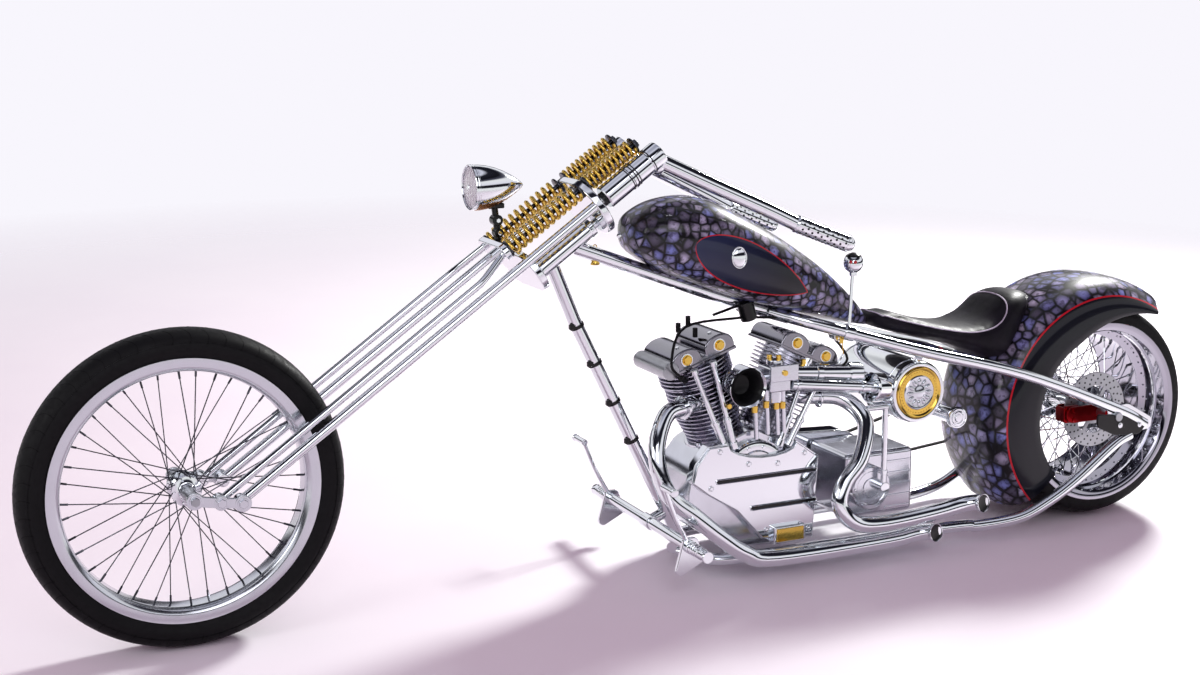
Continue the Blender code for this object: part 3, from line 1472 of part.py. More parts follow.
def build_drive(parent, alloy, chrome, dark):
    """Gearbox, primary cover, belt, oil tank and starter tube."""
    half = CASE_HALF_WIDTH
    box = block((GEARBOX_REAR, -half, GEARBOX_BOTTOM), (GEARBOX_FRONT, half, GEARBOX_TOP))
    cover = cylinder(
        (GEARBOX_COVER_X, 0, GEARBOX_COVER_Z),
        (GEARBOX_COVER_X, half + GEARBOX_COVER_DEPTH, GEARBOX_COVER_Z),
        GEARBOX_COVER_RADIUS,
        DRUM_SIDES,
    )
    node("gearbox", joined(box, cover), alloy, parent)

    inner = -half - SEAT_GAP
    outer = inner - PRIMARY_THICKNESS
    outline = stadium(
        (CRANK_X, CRANK_Z, PRIMARY_FRONT_RADIUS),
        (MAINSHAFT_X, MAINSHAFT_Z, PRIMARY_REAR_RADIUS),
        END_STEPS,
    )
    primary = joined(
        prism(outline, outer, inner),
        cylinder(
            (MAINSHAFT_X, outer + OVERRUN, MAINSHAFT_Z),
            (MAINSHAFT_X, -BELT_PLACE - BELT_WIDTH / 2, MAINSHAFT_Z),
            DRIVE_PULLEY_RADIUS - BELT_THICKNESS - SEAT_GAP,
            DRUM_SIDES,
        ),
    )
    node("primary_cover", primary, chrome, parent)

    loops = []
    for extra in (0.0, -BELT_THICKNESS + SEAT_GAP):
        loops.append(
            stadium(
                (0, REAR_TYRE_RADIUS, PULLEY_RADIUS + extra),
                (MAINSHAFT_X, MAINSHAFT_Z, DRIVE_PULLEY_RADIUS + extra),
                BELT_STEPS,
            )
        )
    low, high = -BELT_PLACE - BELT_WIDTH / 2, -BELT_PLACE + BELT_WIDTH / 2
    rings = [
        [Vector((x, low, z)) for x, z in loops[0]],
        [Vector((x, high, z)) for x, z in loops[0]],
        [Vector((x, high, z)) for x, z in loops[1]],
        [Vector((x, low, z)) for x, z in loops[1]],
    ]
    node("drive_belt", closed_mesh(rings, loop=True), dark, parent)

    stay = stay_point(FRAME_LENGTH * OIL_TANK_SHARE)
    tank_x, tank_z = stay.x, stay.z - OIL_TANK_DROP
    rim = OIL_TANK_RADIUS - MEDAL_RADIUS
    length = OIL_TANK_LEFT + OIL_TANK_RIGHT
    profile = [
        (0, 0),
        (0, OIL_TANK_RADIUS - rim),
        (rim / 2, OIL_TANK_RADIUS),
        (length - rim / 2, OIL_TANK_RADIUS),
        (length, OIL_TANK_RADIUS - rim / 2),
        (length, MEDAL_RADIUS),
        (length + MEDAL_DEPTH, MEDAL_RADIUS * 0.9),
        (length + MEDAL_DEPTH, 0),
    ]
    tank = turned(profile, (tank_x, -OIL_TANK_RIGHT, tank_z), ACROSS, DRUM_SIDES)
    straps = []
    for sign in (1, -1):
        low = Vector((tank_x, sign * STRAP_PLACE, tank_z))
        high = Vector((tank_x, sign * stay.y, stay.z))
        straps.append(cylinder(low, high, STRAP_RADIUS, PIN_SIDES))
    pipe_rear = (tank_x + NECK_REACH, PIPE_PLACE, tank_z + NECK_RISE)
    neck = cylinder((tank_x, OIL_NECK_PLACE, tank_z), pipe_rear, OIL_NECK_RADIUS, ROUND_SIDES)
    pipe_front = (CARB_X + CARB_HALF_SIZE / 2, PIPE_PLACE, BELL_Z - BREATHER_DROP)
    pipe = cylinder(pipe_rear, pipe_front, BREATHER_RADIUS, PIN_SIDES)
    carb_face = CARB_FACE + SEAT_GAP
    carb_gap = block((CARB_X - CARB_HALF_SIZE - SEAT_GAP, 0, 0), (BELL_X, carb_face, FRAME_HEIGHT))
    node(
        "oil_tank",
        carved(joined(tank, neck, pipe, *straps), carb_gap, *stay_tunnels(SEAT_GAP)),
        chrome,
        parent,
    )

    starter_x, starter_z = tank_x - STARTER_TRAIL, tank_z - STARTER_DROP
    step = STARTER_END_RADIUS - STARTER_RADIUS
    profile = [
        (0, 0),
        (0, STARTER_RADIUS),
        (STARTER_END - step * 2, STARTER_RADIUS),
        (STARTER_END - step * 2, STARTER_END_RADIUS),
        (STARTER_END, STARTER_END_RADIUS),
        (STARTER_END, 0),
    ]
    place = OIL_TANK_LEFT - STARTER_RADIUS * 2
    bracket = cylinder(
        (starter_x, place, starter_z), (tank_x, place, tank_z), STARTER_RADIUS / 2, PIN_SIDES
    )
    seat = cylinder(
        (tank_x, -OIL_TANK_RIGHT - OVERRUN, tank_z),
        (tank_x, OIL_TANK_LEFT + OVERRUN, tank_z),
        OIL_TANK_RADIUS + SEAT_GAP,
        DRUM_SIDES,
    )
    tube = joined(turned(profile, (starter_x, 0, starter_z), ACROSS, ROUND_SIDES), bracket)
    node("starter_tube", carved(tube, seat), chrome, parent)


# Exhaust routes: shares of the crank's place along x, of the frame's half width, and of the frame's height
FRONT_PIPE_SHARES = (
    (0.822, 0.40, 0.515),
    (0.862, 0.50, 0.500),
    (0.892, 0.72, 0.405),
    (0.880, 0.85, 0.295),
    (0.840, 0.96, 0.225),
    (0.800, 1.02, 0.160),
    (0.756, 1.05, 0.100),
    (0.700, 1.05, 0.068),
    (0.480, 1.05, 0.066),
    (0.392, 1.05, 0.080),
)
REAR_PIPE_SHARES = (
    (0.590, 0.34, 0.503),
    (0.530, 0.47, 0.490),
    (0.508, 0.78, 0.430),
    (0.532, 0.98, 0.330),
    (0.566, 1.03, 0.262),
    (0.577, 1.07, 0.200),
    (0.552, 1.10, 0.145),
    (0.505, 1.12, 0.128),
    (0.410, 1.13, 0.136),
    (0.305, 1.14, 0.158),
)


def build_caliper(parent, red):
    """Brake caliper over the disc's front edge, on an arm from the axle."""
    slot = DISC_THICKNESS / 2 + CALIPER_CLEARANCE
    height, reach = CALIPER_HEIGHT / 2, DISC_RADIUS + CALIPER_CLEARANCE
    tip = reach + CALIPER_WALL
    low, high = DISC_PLACE - slot - CALIPER_WALL, CALIPER_SIDE
    body = block((CALIPER_ROOT, low, REAR_TYRE_RADIUS - height), (tip, high, REAR_TYRE_RADIUS + height))
    gap = block((0, DISC_PLACE - slot, 0), (reach, DISC_PLACE + slot, REAR_TYRE_RADIUS * 2))
    outline = stadium(
        (0, REAR_TYRE_RADIUS, CALIPER_ARM_RADIUS),
        (DISC_RADIUS, REAR_TYRE_RADIUS, CALIPER_ARM_RADIUS),
        SHORT_STEPS,
    )
    arm = prism(outline, high - CALIPER_ARM_THICKNESS, high)
    spacer = REAR_AXLE_RADIUS * AXLE_SPACER_SHARE + SEAT_GAP
    axle = cylinder(
        (0, 0, REAR_TYRE_RADIUS), (0, FRAME_HALF_WIDTH, REAR_TYRE_RADIUS), spacer, JOURNAL_SIDES
    )
    node("brake_caliper", carved(joined(body, arm), gap, axle), red, parent)


def build_exhausts(parent, chrome):
    """Both pipes, from saddles on the heads to their open, flared tips."""
    for name, lean, shares in (("front", 1, FRONT_PIPE_SHARES), ("rear", -1, REAR_PIPE_SHARES)):
        port = vee(lean, PORT_HEIGHT, 0, PORT_SIDE)
        route = smooth_route([port] + frame_route(shares), 2)
        back = (route[-1] - route[-2]).normalized()
        end = route[-1]
        route[-1] = end - back * TIP_LENGTH
        route += [route[-1] + back * SEAT_GAP, end]
        radii = [PIPE_RADIUS] * (len(route) - 2) + [TIP_RADIUS] * 2
        mouth = cylinder(
            end - back * TIP_LENGTH * 2, end + back * OVERRUN, TIP_RADIUS - PIPE_WALL, PIN_SIDES
        )
        node(
            f"exhaust_{name}",
            carved(swept(route, radii, PIN_SIDES), mouth, cylinder_envelope(lean)),
            chrome,
            parent,
        )


def stay_point(x):
    """The left stay's centre line where it is this far forward."""
    route = smooth_route(frame_route(STAY_SHARES), 2)
    for ahead, behind in zip(route, route[1:]):
        if ahead.x >= x >= behind.x:
            return behind.lerp(ahead, (x - behind.x) / (ahead.x - behind.x))
    return route[0]


# Fuel tank sections: shares of its length from the nose, of its height for top and bottom, of its half width
TANK_SHARES = (
    (0.0, 0.17, 0.30, 0.25),
    (0.03, 0.09, 0.37, 0.58),
    (0.13, 0.01, 0.49, 0.84),
    (0.27, 0.00, 0.60, 0.97),
    (0.42, 0.12, 0.71, 1.00),
    (0.60, 0.31, 0.81, 0.90),
    (0.78, 0.54, 0.91, 0.66),
    (0.92, 0.77, 0.97, 0.40),
    (1.0, 0.93, 1.00, 0.13),
)


def egg_section(x, half_width, low, high, sides=ROUND_SIDES + 2, squareness=0.8):
    """A rounded section across the bike, fuller than an ellipse."""
    middle, half = (low + high) / 2, (high - low) / 2
    ring = []
    for k in range(sides):
        angle = TURN * k / sides
        c, s = cos(angle), sin(angle)
        ring.append(
            Vector(
                (
                    x,
                    half_width * abs(c) ** squareness * (1 if c > 0 else -1),
                    middle + half * abs(s) ** squareness * (1 if s > 0 else -1),
                )
            )
        )
    return ring


def build_tank(parent, paint):
    """Stretched teardrop tank with a tunnel for the backbone."""
    rings = []
    for along, top, bottom, wide in TANK_SHARES:
        rings.append(
            egg_section(
                TANK_NOSE_X - TANK_LENGTH * along,
                TANK_HALF_WIDTH * wide,
                TANK_TOP - TANK_HEIGHT * bottom,
                TANK_TOP - TANK_HEIGHT * top,
            )
        )
    cap_foot = Vector((CAP_X, CAP_Y, CAP_Z))
    cap = cylinder(cap_foot, cap_foot + Vector((0, CAP_Y / 2, CAP_HEIGHT)), FILLER_RADIUS, ROUND_SIDES)
    tunnel = backbone_bar(TANK_TUNNEL_GAP)
    shape = carved(joined(closed_mesh(rings), cap), tunnel, *stay_tunnels(TANK_TUNNEL_GAP))
    node("fuel_tank", shape, paint, parent)


def stay_tunnels(extra):
    """Both stays, this much thicker, to cut or seat what meets them."""
    left = swept(smooth_route(frame_route(STAY_SHARES), 2), STAY_RADIUS + extra, PIN_SIDES)
    right = mirrored(swept(smooth_route(frame_route(STAY_SHARES), 2), STAY_RADIUS + extra, PIN_SIDES))
    return left, right


# Seat sections: shares of its length from the nose, of its height for top and bottom, of its half width
SEAT_SHARES = (
    (0.0, 0.12, 0.24, 0.25),
    (0.06, 0.10, 0.30, 0.45),
    (0.20, 0.24, 0.46, 0.66),
    (0.38, 0.38, 0.62, 0.84),
    (0.55, 0.44, 0.78, 0.97),
    (0.68, 0.34, 0.95, 1.00),
    (0.80, 0.06, 1.00, 0.90),
    (0.90, 0.00, 0.60, 0.72),
    (0.98, 0.06, 0.30, 0.40),
    (1.0, 0.10, 0.22, 0.20),
)


def fender_profile(extra):
    """Outer half profile of the fender: (place across, radius), from the crown to the lip."""
    crown, edge = FENDER_CROWN_RADIUS + extra, FENDER_EDGE_RADIUS + extra
    wide, drop = FENDER_HALF_WIDTH + extra, crown - edge
    points = [
        (wide * share, crown - drop * fall) for share, fall in ((0.0, 0.0), (0.50, 0.20), (0.85, 0.75))
    ]
    points += [
        (wide, edge - drop * 0.6),
        (wide + FENDER_WALL, edge - drop),
        (wide + FENDER_WALL, FENDER_LIP_RADIUS),
    ]
    return points


def partly_turned(profile, start, stop, steps):
    """A closed profile of (across, radius) turned about the rear axle from one angle to another."""
    rings = []
    for k in range(steps + 1):
        angle = start + (stop - start) * k / steps
        rings.append(
            [Vector((r * cos(angle), y, REAR_TYRE_RADIUS + r * sin(angle))) for y, r in profile]
        )
    return closed_mesh(rings)


def build_fender(parent, paint):
    """Rear fender: a crowned shell with rolled side flanges, and the bosses that hold it to the stays."""
    outer = fender_profile(0.0)
    inner = [(max(y - FENDER_WALL, 0), r - FENDER_WALL) for y, r in outer[:-1]] + [
        (outer[-1][0] - FENDER_WALL, outer[-1][1])
    ]
    section = [(-y, r) for y, r in reversed(outer)] + outer[1:] + list(reversed(inner)) + [
        (-y, r) for y, r in inner[1:]
    ]
    shell = partly_turned(section, FENDER_FRONT_ANGLE, FENDER_REAR_ANGLE, FENDER_STEPS)
    bosses = []
    for x in (BOSS_FRONT_X, BOSS_REAR_X):
        on_stay = stay_point(x)
        boss = cylinder(
            (x, FENDER_HALF_WIDTH + FENDER_WALL / 2, on_stay.z), on_stay, BOSS_RADIUS, PIN_SIDES
        )
        bosses += [boss, mirrored(boss.copy())]
    shell = carved(joined(shell, *bosses), *stay_tunnels(SEAT_GAP))
    node("rear_fender", shell, paint, parent)


def build_seat(parent, leather):
    """Low saddle whose hump lies on the fender."""
    rings = []
    for along, top, bottom, wide in SEAT_SHARES:
        rings.append(
            egg_section(
                SEAT_NOSE_X - SEAT_LENGTH * along,
                SEAT_HALF_WIDTH * wide,
                SEAT_TOP - SEAT_HEIGHT * bottom,
                SEAT_TOP - SEAT_HEIGHT * top,
                ROUND_SIDES,
            )
        )
    cutter = fender_profile(SEAT_GAP * 2)
    section = [(-y, r) for y, r in reversed(cutter)] + cutter[1:]
    fender = partly_turned(section, FENDER_FRONT_ANGLE, FENDER_REAR_ANGLE, FENDER_STEPS)
    node(
        "seat",
        carved(
            closed_mesh(rings), fender, *stay_tunnels(TANK_TUNNEL_GAP), backbone_bar(TANK_TUNNEL_GAP)
        ),
        leather,
        parent,
    )


# Foot plate outline: shares of its size, from the bar's centre
FOOT_PLATE_SHARES = ((-0.25, 0.30), (0.22, 0.32), (0.55, -0.85), (0.35, -1.0), (-0.55, -0.55))


def build_foot_controls(parent, chrome):
    """The forward control bar, and on each side a plate with a peg and a forked pedal."""
    centre = Vector((FOOT_BAR_X, 0, FOOT_BAR_Z))
    reach = Vector((0, FOOT_BAR_HALF_WIDTH, 0))
    down_route = frame_route(DOWNTUBE_SHARES)
    foot = down_route[1].lerp(down_route[2], 0.85)
    bar = joined(
        cylinder(centre - reach, centre + reach, FOOT_BAR_RADIUS, TUBE_SIDES),
        cylinder(centre, foot, FOOT_BAR_RADIUS, PIN_SIDES),
    )
    node(
        "foot_control_bar",
        carved(bar, swept(down_route, DOWNTUBE_RADIUS + SEAT_GAP, TUBE_SIDES)),
        chrome,
        parent,
    )

    low = FOOT_BAR_HALF_WIDTH + SEAT_GAP
    high = low + FOOT_PLATE_THICKNESS
    outline = [
        (FOOT_BAR_X + x * FOOT_PLATE_SIZE, FOOT_BAR_Z + z * FOOT_PLATE_SIZE)
        for x, z in FOOT_PLATE_SHARES
    ]
    for side, flip in (("left", False), ("right", True)):
        plate = prism(outline, low, high)
        root = Vector((FOOT_BAR_X, high - SEAT_GAP, FOOT_BAR_Z))
        peg = swept(
            [root, root + Vector((0, PEG_LENGTH, 0))], [PEG_ROOT_RADIUS, PEG_END_RADIUS], BAR_SIDES
        )
        base = Vector((FOOT_BAR_X, (low + high) / 2, FOOT_BAR_Z))
        top = base + Vector((FOOT_PLATE_SIZE, FOOT_PLATE_THICKNESS, PEDAL_HEIGHT))
        pedal = swept(
            [base, base + Vector((FOOT_PLATE_SIZE / 2, 0, PEDAL_HEIGHT / 2)), top],
            PEDAL_RADIUS,
            PIN_SIDES,
        )
        toe = swept(
            [top - Vector((0, PEDAL_RADIUS, 0)), top + Vector((0, TOE_PEG_LENGTH, 0))],
            PEG_END_RADIUS * 0.7,
            PIN_SIDES,
        )
        shape = joined(plate, peg, pedal, toe)
        node(f"foot_control_{side}", mirrored(shape) if flip else shape, chrome, parent)


def build_lever(parent, chrome):
    """Hand shift lever beside the tank's tail."""
    low = stay_point(LEVER_X)
    top = low + Vector((-LEVER_RADIUS * 2, 0, LEVER_HEIGHT))
    knob = [(KNOB_RADIUS * -cos(pi * k / 8), KNOB_RADIUS * sin(pi * k / 8)) for k in range(9)]
    knob[0], knob[-1] = (-KNOB_RADIUS, 0), (KNOB_RADIUS, 0)
    along = (stay_point(LEVER_X + OVERRUN) - low).normalized() * LEVER_CLAMP_LENGTH / 2
    clamp = cylinder(low - along, low + along, STAY_RADIUS + LEVER_RADIUS, TUBE_SIDES)
    shape = joined(
        cylinder(low, top, LEVER_RADIUS, ROD_SIDES), turned(knob, top, (0, 0, 1), PIN_SIDES), clamp
    )
    node("shift_lever", carved(shape, stay_tunnels(SEAT_GAP)[0]), chrome, parent)


def main():
    """Builds the motorcycle."""
    clear_scene()
    middle = (WHEELBASE + FRONT_TYRE_RADIUS - REAR_TYRE_RADIUS) / 2
    bike = bpy.data.objects.new("bike", None)
    bpy.context.scene.collection.objects.link(bike)
    bike.matrix_world = Matrix.Rotation(STAND_LEAN, 4, "X") @ Matrix.Translation((-middle, 0, 0))
    chrome = finish("chrome", "#D9DCE0", 0.08, 1.0)
    steel = finish("brushed steel", "#A9ADB2", 0.32, 1.0)
    alloy = finish("polished alloy", "#C4C6CA", 0.28, 1.0)
    gold = finish("gold plate", "#C9962E", 0.18, 1.0)
    dark = finish("black enamel", "#17181B", 0.35, 0.0)
    rubber = finish("tyre rubber", "#151515", 0.75, 0.0)
    leather = finish("black leather", "#14151A", 0.42, 0.0)
    paint = finish("dark lacquer", "#1A1A22", 0.12, 0.0)
    glass = finish("lamp glass", "#F2F4F8", 0.03, 0.0)
    red = finish("red anodised", "#A5161C", 0.30, 0.6)

    build_front_wheel(bike, rubber, chrome)
    build_rear_wheel(bike, rubber, chrome, steel, dark)
    build_frame(bike, chrome, dark)
    build_fork(bike, chrome, gold, dark, glass)
    build_engine(bike, alloy, chrome)
    build_drive(bike, alloy, chrome, dark)
    build_exhausts(bike, chrome)
    build_caliper(bike, red)
    build_tank(bike, paint)
    build_fender(bike, paint)
    build_seat(bike, leather)
    build_foot_controls(bike, chrome)
    build_lever(bike, chrome)
    build_stand(bike, chrome)


main()
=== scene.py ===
"""Looks of a long chopper motorcycle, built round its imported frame."""

import logging
import math
from dataclasses import dataclass, field
from enum import Enum
from typing import Iterable, Sequence

import bmesh
import bpy
from mathutils import Matrix, Vector

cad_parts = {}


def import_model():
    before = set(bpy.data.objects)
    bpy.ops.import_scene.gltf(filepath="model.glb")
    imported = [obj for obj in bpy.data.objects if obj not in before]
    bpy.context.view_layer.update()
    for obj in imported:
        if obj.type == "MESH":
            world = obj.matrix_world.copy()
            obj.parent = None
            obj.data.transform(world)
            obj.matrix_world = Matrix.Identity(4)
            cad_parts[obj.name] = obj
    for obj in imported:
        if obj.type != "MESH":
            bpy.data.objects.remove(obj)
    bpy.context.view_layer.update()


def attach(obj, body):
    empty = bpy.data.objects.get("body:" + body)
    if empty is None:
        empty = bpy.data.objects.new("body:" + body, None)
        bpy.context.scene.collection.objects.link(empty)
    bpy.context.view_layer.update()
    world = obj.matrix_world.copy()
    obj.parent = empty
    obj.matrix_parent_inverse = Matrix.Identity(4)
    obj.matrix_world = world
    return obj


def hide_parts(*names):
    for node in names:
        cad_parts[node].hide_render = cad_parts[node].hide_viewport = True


LOG = logging.getLogger("chopper")
TURN = math.tau
MM = 0.001

# The bike is laid out upright, with x forward from the rear axle and z up from the ground,
# and then leaned on its stand
LEAN = math.radians(3)
BOX_MIDDLE = 1.39025
PLACEMENT = Matrix.Rotation(LEAN, 4, "X") @ Matrix.Translation((-BOX_MIDDLE, 0, 0))
WHEELBASE = 2.712
RAKE = math.radians(55)
AXLE_LEAD = 0.158
FRONT_RADIUS = 0.400
REAR_RADIUS = 0.3315
FRAME_LENGTH = 1.680
FRAME_HALF_WIDTH = 0.214
FRAME_HEIGHT = 0.930
CRANK = Vector((1.184, 0, 0.202))
ENGINE_TILT = math.radians(4)
VEE_HALF_ANGLE = math.radians(22.5)
ACROSS = Vector((0, 1, 0))

Profile = Sequence[tuple[float, float]]
Shape = bmesh.types.BMesh
Point = Vector | tuple[float, float, float]


class Body(Enum):
    """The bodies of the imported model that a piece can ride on."""

    FRAME = "frame"
    FORK = "fork"
    FRONT_WHEEL = "front_wheel"
    REAR_WHEEL = "rear_wheel"
    STAND = "stand"


class Slot(Enum):
    """The record's material slots."""

    TYRE = "tyre"
    CHROME = "chrome"
    STEEL = "steel"
    ALLOY = "alloy"
    GOLD = "gold"
    BLACK = "black_metal"
    RED = "red_metal"
    BELT = "belt_rubber"
    LACQUER = "lacquer"
    LEATHER = "leather"
    GLASS = "lens_glass"


# Places on the bike


def along_fork(place: float, side: float = 0.0, lead: float = 0.0) -> Vector:
    """A point of the fork.

    Args:
        place: Distance up the steering axis from the height of the axle.
        side: Distance to the bike's left.
        lead: Distance ahead of the steering axis.

    Returns:
        The point in the upright bike's frame.
    """
    up = Vector((-math.sin(RAKE), 0, math.cos(RAKE)))
    ahead = Vector((math.cos(RAKE), 0, math.sin(RAKE)))
    axle = Vector((WHEELBASE, side, FRONT_RADIUS))
    return axle + ahead * (lead - AXLE_LEAD) + up * place


def engine_point(forward: float, up: float, side: float = 0.0) -> Vector:
    """A point measured from the crank in the tilted engine's own directions.

    Args:
        forward: Distance ahead of the crank.
        up: Distance above the crank.
        side: Distance to the bike's left.

    Returns:
        The point in the upright bike's frame.
    """
    c, s = math.cos(ENGINE_TILT), math.sin(ENGINE_TILT)
    return CRANK + Vector((forward * c - up * s, side, forward * s + up * c))


def vee(lean: int, height: float, across: float = 0.0, side: float = 0.0) -> Vector:
    """A point on or beside a cylinder's axis.

    Args:
        lean: 1 for the front cylinder and -1 for the rear one.
        height: Distance from the crank along the cylinder.
        across: Distance ahead of the cylinder's axis.
        side: Distance to the bike's left.

    Returns:
        The point in the upright bike's frame.
    """
    c, s = math.cos(VEE_HALF_ANGLE * lean), math.sin(VEE_HALF_ANGLE * lean)
    return engine_point(height * s + across * c, height * c - across * s, side)


def frame_route(shares: Iterable[Sequence[float]]) -> list[Vector]:
    """Points of the frame.

    Args:
        shares: Shares of the frame's length, half width and height.

    Returns:
        The points in the upright bike's frame.
    """
    return [Vector((x * FRAME_LENGTH, y * FRAME_HALF_WIDTH, z * FRAME_HEIGHT)) for x, y, z in shares]


def other_side(points: Iterable[Vector]) -> list[Vector]:
    """The same points on the bike's other side."""
    return [Vector((p.x, -p.y, p.z)) for p in points]


def eased(points: Iterable[Point], steps: int) -> list[Vector]:
    """A smooth route through points.

    Args:
        points: The points that the route passes.
        steps: Steps from one point to the next.

    Returns:
        The route's points.
    """
    points = [Vector(p) for p in points]
    ends = [points[0] * 2 - points[1]] + points + [points[-1] * 2 - points[-2]]
    route = []
    for a, b, c, d in zip(ends, ends[1:], ends[2:], ends[3:]):
        for k in range(steps):
            t = k / steps
            turn = (c - a) * t + (2 * a - 5 * b + 4 * c - d) * t**2 + (3 * b - a - 3 * c + d) * t**3
            route.append(b + turn / 2)
    return route + [points[-1]]


# Shapes


def turned_to(bm: Shape, origin: Point, axis: Point) -> Shape:
    """Turns a shape made along Z to lie along an axis, and moves it there.

    Args:
        bm: The shape.
        origin: Where its own origin goes.
        axis: Where its own Z goes.

    Returns:
        The same shape.
    """
    turn = Vector(axis).to_track_quat("Z", "Y").to_matrix().to_4x4()
    bmesh.ops.transform(bm, matrix=Matrix.Translation(origin) @ turn, verts=bm.verts)
    return bm


def lathe(profile: Profile, origin: Point, axis: Point, steps: int = 48, ring: bool = False) -> Shape:
    """A turned shape.

    Args:
        profile: Pairs of distance along the axis and radius.
        origin: Where the axis starts.
        axis: The axis's direction.
        steps: Steps round the axis.
        ring: Whether the profile closes on itself.

    Returns:
        The shape.
    """
    bm = bmesh.new()
    verts = [bm.verts.new((radius, 0, place)) for place, radius in profile]
    pairs = list(zip(verts, verts[1:])) + ([(verts[-1], verts[0])] if ring else [])
    edges = [bm.edges.new(pair) for pair in pairs]
    bmesh.ops.spin(
        bm, geom=verts + edges, axis=(0, 0, 1), cent=(0, 0, 0), steps=steps, angle=TURN, use_merge=True
    )
    bmesh.ops.remove_doubles(bm, verts=bm.verts, dist=MM / 100)
    return turned_to(bm, origin, axis)


def rod(start: Point, end: Point, radius: float, steps: int = 24, round_over: float = 0.0) -> Shape:
    """A turned bar with rounded ends.

    Args:
        start: The middle of one end.
        end: The middle of the other end.
        radius: Its radius.
        steps: Steps round it.
        round_over: The radius of its edges.

    Returns:
        The shape.
    """
    start, end = Vector(start), Vector(end)
    length = (end - start).length
    edge = round_over or radius / 10
    profile = [(0, 0), (0, radius - edge), (edge * 0.3, radius - edge * 0.3), (edge, radius)]
    profile += [(length - place, r) for place, r in reversed(profile)]
    return lathe(profile, start, end - start, steps)


def soften(bm: Shape, edges: list[bmesh.types.BMEdge], radius: float, steps: int = 3) -> None:
    """Rounds edges over.

    Args:
        bm: The shape that has them.
        edges: The edges.
        radius: How far the rounding reaches.
        steps: Faces across the rounding.
    """
    bmesh.ops.bevel(
        bm, geom=edges, offset=radius, offset_type="OFFSET", affect="EDGES", segments=steps, profile=0.5,
        material=-1
    )


def hexagon(origin: Point, axis: Point, radius: float, height: float) -> Shape:
    """A six-sided nut with softened edges.

    Args:
        origin: The middle of its seat.
        axis: The direction it stands in.
        radius: Its radius over the corners.
        height: Its height.

    Returns:
        The shape.
    """
    bm = bmesh.new()
    bmesh.ops.create_cone(
        bm, cap_ends=True, segments=6, radius1=radius, radius2=radius, depth=height,
        matrix=Matrix.Translation((0, 0, height / 2)),
    )
    soften(bm, bm.edges[:], radius * 0.08, 1)
    return turned_to(bm, origin, axis)


def soft_block(low: Sequence[float], high: Sequence[float], edge: float) -> Shape:
    """A block with rounded edges.

    Args:
        low: Its lowest corner.
        high: Its highest corner.
        edge: The radius of its edges.

    Returns:
        The shape.
    """
    bm = bmesh.new()
    low, high = Vector(low), Vector(high)
    bmesh.ops.create_cube(bm, size=1)
    bmesh.ops.scale(bm, vec=high - low, verts=bm.verts)
    bmesh.ops.translate(bm, vec=(low + high) / 2, verts=bm.verts)
    soften(bm, bm.edges[:], edge)
    return bm


def slab(outline: Iterable[tuple[float, float]], low: float, high: float, edge: float = 0.0) -> Shape:
    """A plate that lies in the bike's side view.

    Args:
        outline: Its corners, as pairs of x and z.
        low: The place across of its inner face.
        high: The place across of its outer face.
        edge: The radius of its edges.

    Returns:
        The shape.
    """
    bm = bmesh.new()
    face = bm.faces.new([bm.verts.new((x, low, z)) for x, z in outline])
    grown = bmesh.ops.extrude_face_region(bm, geom=[face])["geom"]
    bmesh.ops.translate(
        bm, vec=(0, high - low, 0), verts=[v for v in grown if isinstance(v, bmesh.types.BMVert)]
    )
    bmesh.ops.recalc_face_normals(bm, faces=bm.faces)
    if edge:
        rims = [e for e in bm.edges if e.calc_face_angle(0) > 1]
        soften(bm, rims, edge)
    return bm


def piping(
    routes: Sequence[Sequence[Point]], radius: float, sides: int = 16, ease: bool = False,
    ring: bool = False, radii: Sequence[float] = (),
) -> Shape:
    """Round tube along one or more routes.

    Args:
        routes: The points of each route.
        radius: The tube's radius.
        sides: Sides of its section.
        ease: Whether the route is a smooth curve through its points.
        ring: Whether each route closes on itself.
        radii: Shares of the radius at the points, where it isn't the same all along.

    Returns:
        The shape.
    """
    curve = bpy.data.curves.new("route", "CURVE")
    curve.dimensions = "3D"
    curve.bevel_depth = radius
    curve.bevel_resolution = max(0, sides // 4 - 1)
    curve.use_fill_caps = not ring
    curve.twist_mode = "MINIMUM"
    for route in routes:
        points = eased(route, 6) if ease else list(route)
        spline = curve.splines.new("POLY")
        spline.points.add(len(points) - 1)
        spline.use_cyclic_u = ring
        spline.use_smooth = True
        for k, point in enumerate(points):
            spline.points[k].co = (*point, 1)
            if radii:
                at = k / (len(points) - 1) * (len(radii) - 1)
                low = min(int(at), len(radii) - 2)
                spline.points[k].radius = radii[low] + (radii[low + 1] - radii[low]) * (at - low)
    holder = bpy.data.objects.new("route", curve)
    bpy.context.scene.collection.objects.link(holder)
    mesh = bpy.data.meshes.new_from_object(holder.evaluated_get(bpy.context.evaluated_depsgraph_get()))
    bm = bmesh.new()
    bm.from_mesh(mesh)
    bpy.data.objects.remove(holder)
    bpy.data.curves.remove(curve)
    bpy.data.meshes.remove(mesh)
    bmesh.ops.remove_doubles(bm, verts=bm.verts, dist=MM / 100)
    return bm


def gathered(*shapes: Shape) -> Shape:
    """Several shapes as one.

    Args:
        *shapes: The shapes, which are used up.

    Returns:
        One shape with all of them.
    """
    whole = bmesh.new()
    for shape in shapes:
        mesh = bpy.data.meshes.new("part")
        shape.to_mesh(mesh)
        shape.free()
        whole.from_mesh(mesh)
        bpy.data.meshes.remove(mesh)
    return whole


def flipped(shape: Shape) -> Shape:
    """A copy of a shape on the bike's other side."""
    other = shape.copy()
    bmesh.ops.scale(other, vec=(1, -1, 1), verts=other.verts)
    bmesh.ops.recalc_face_normals(other, faces=other.faces)
    return other


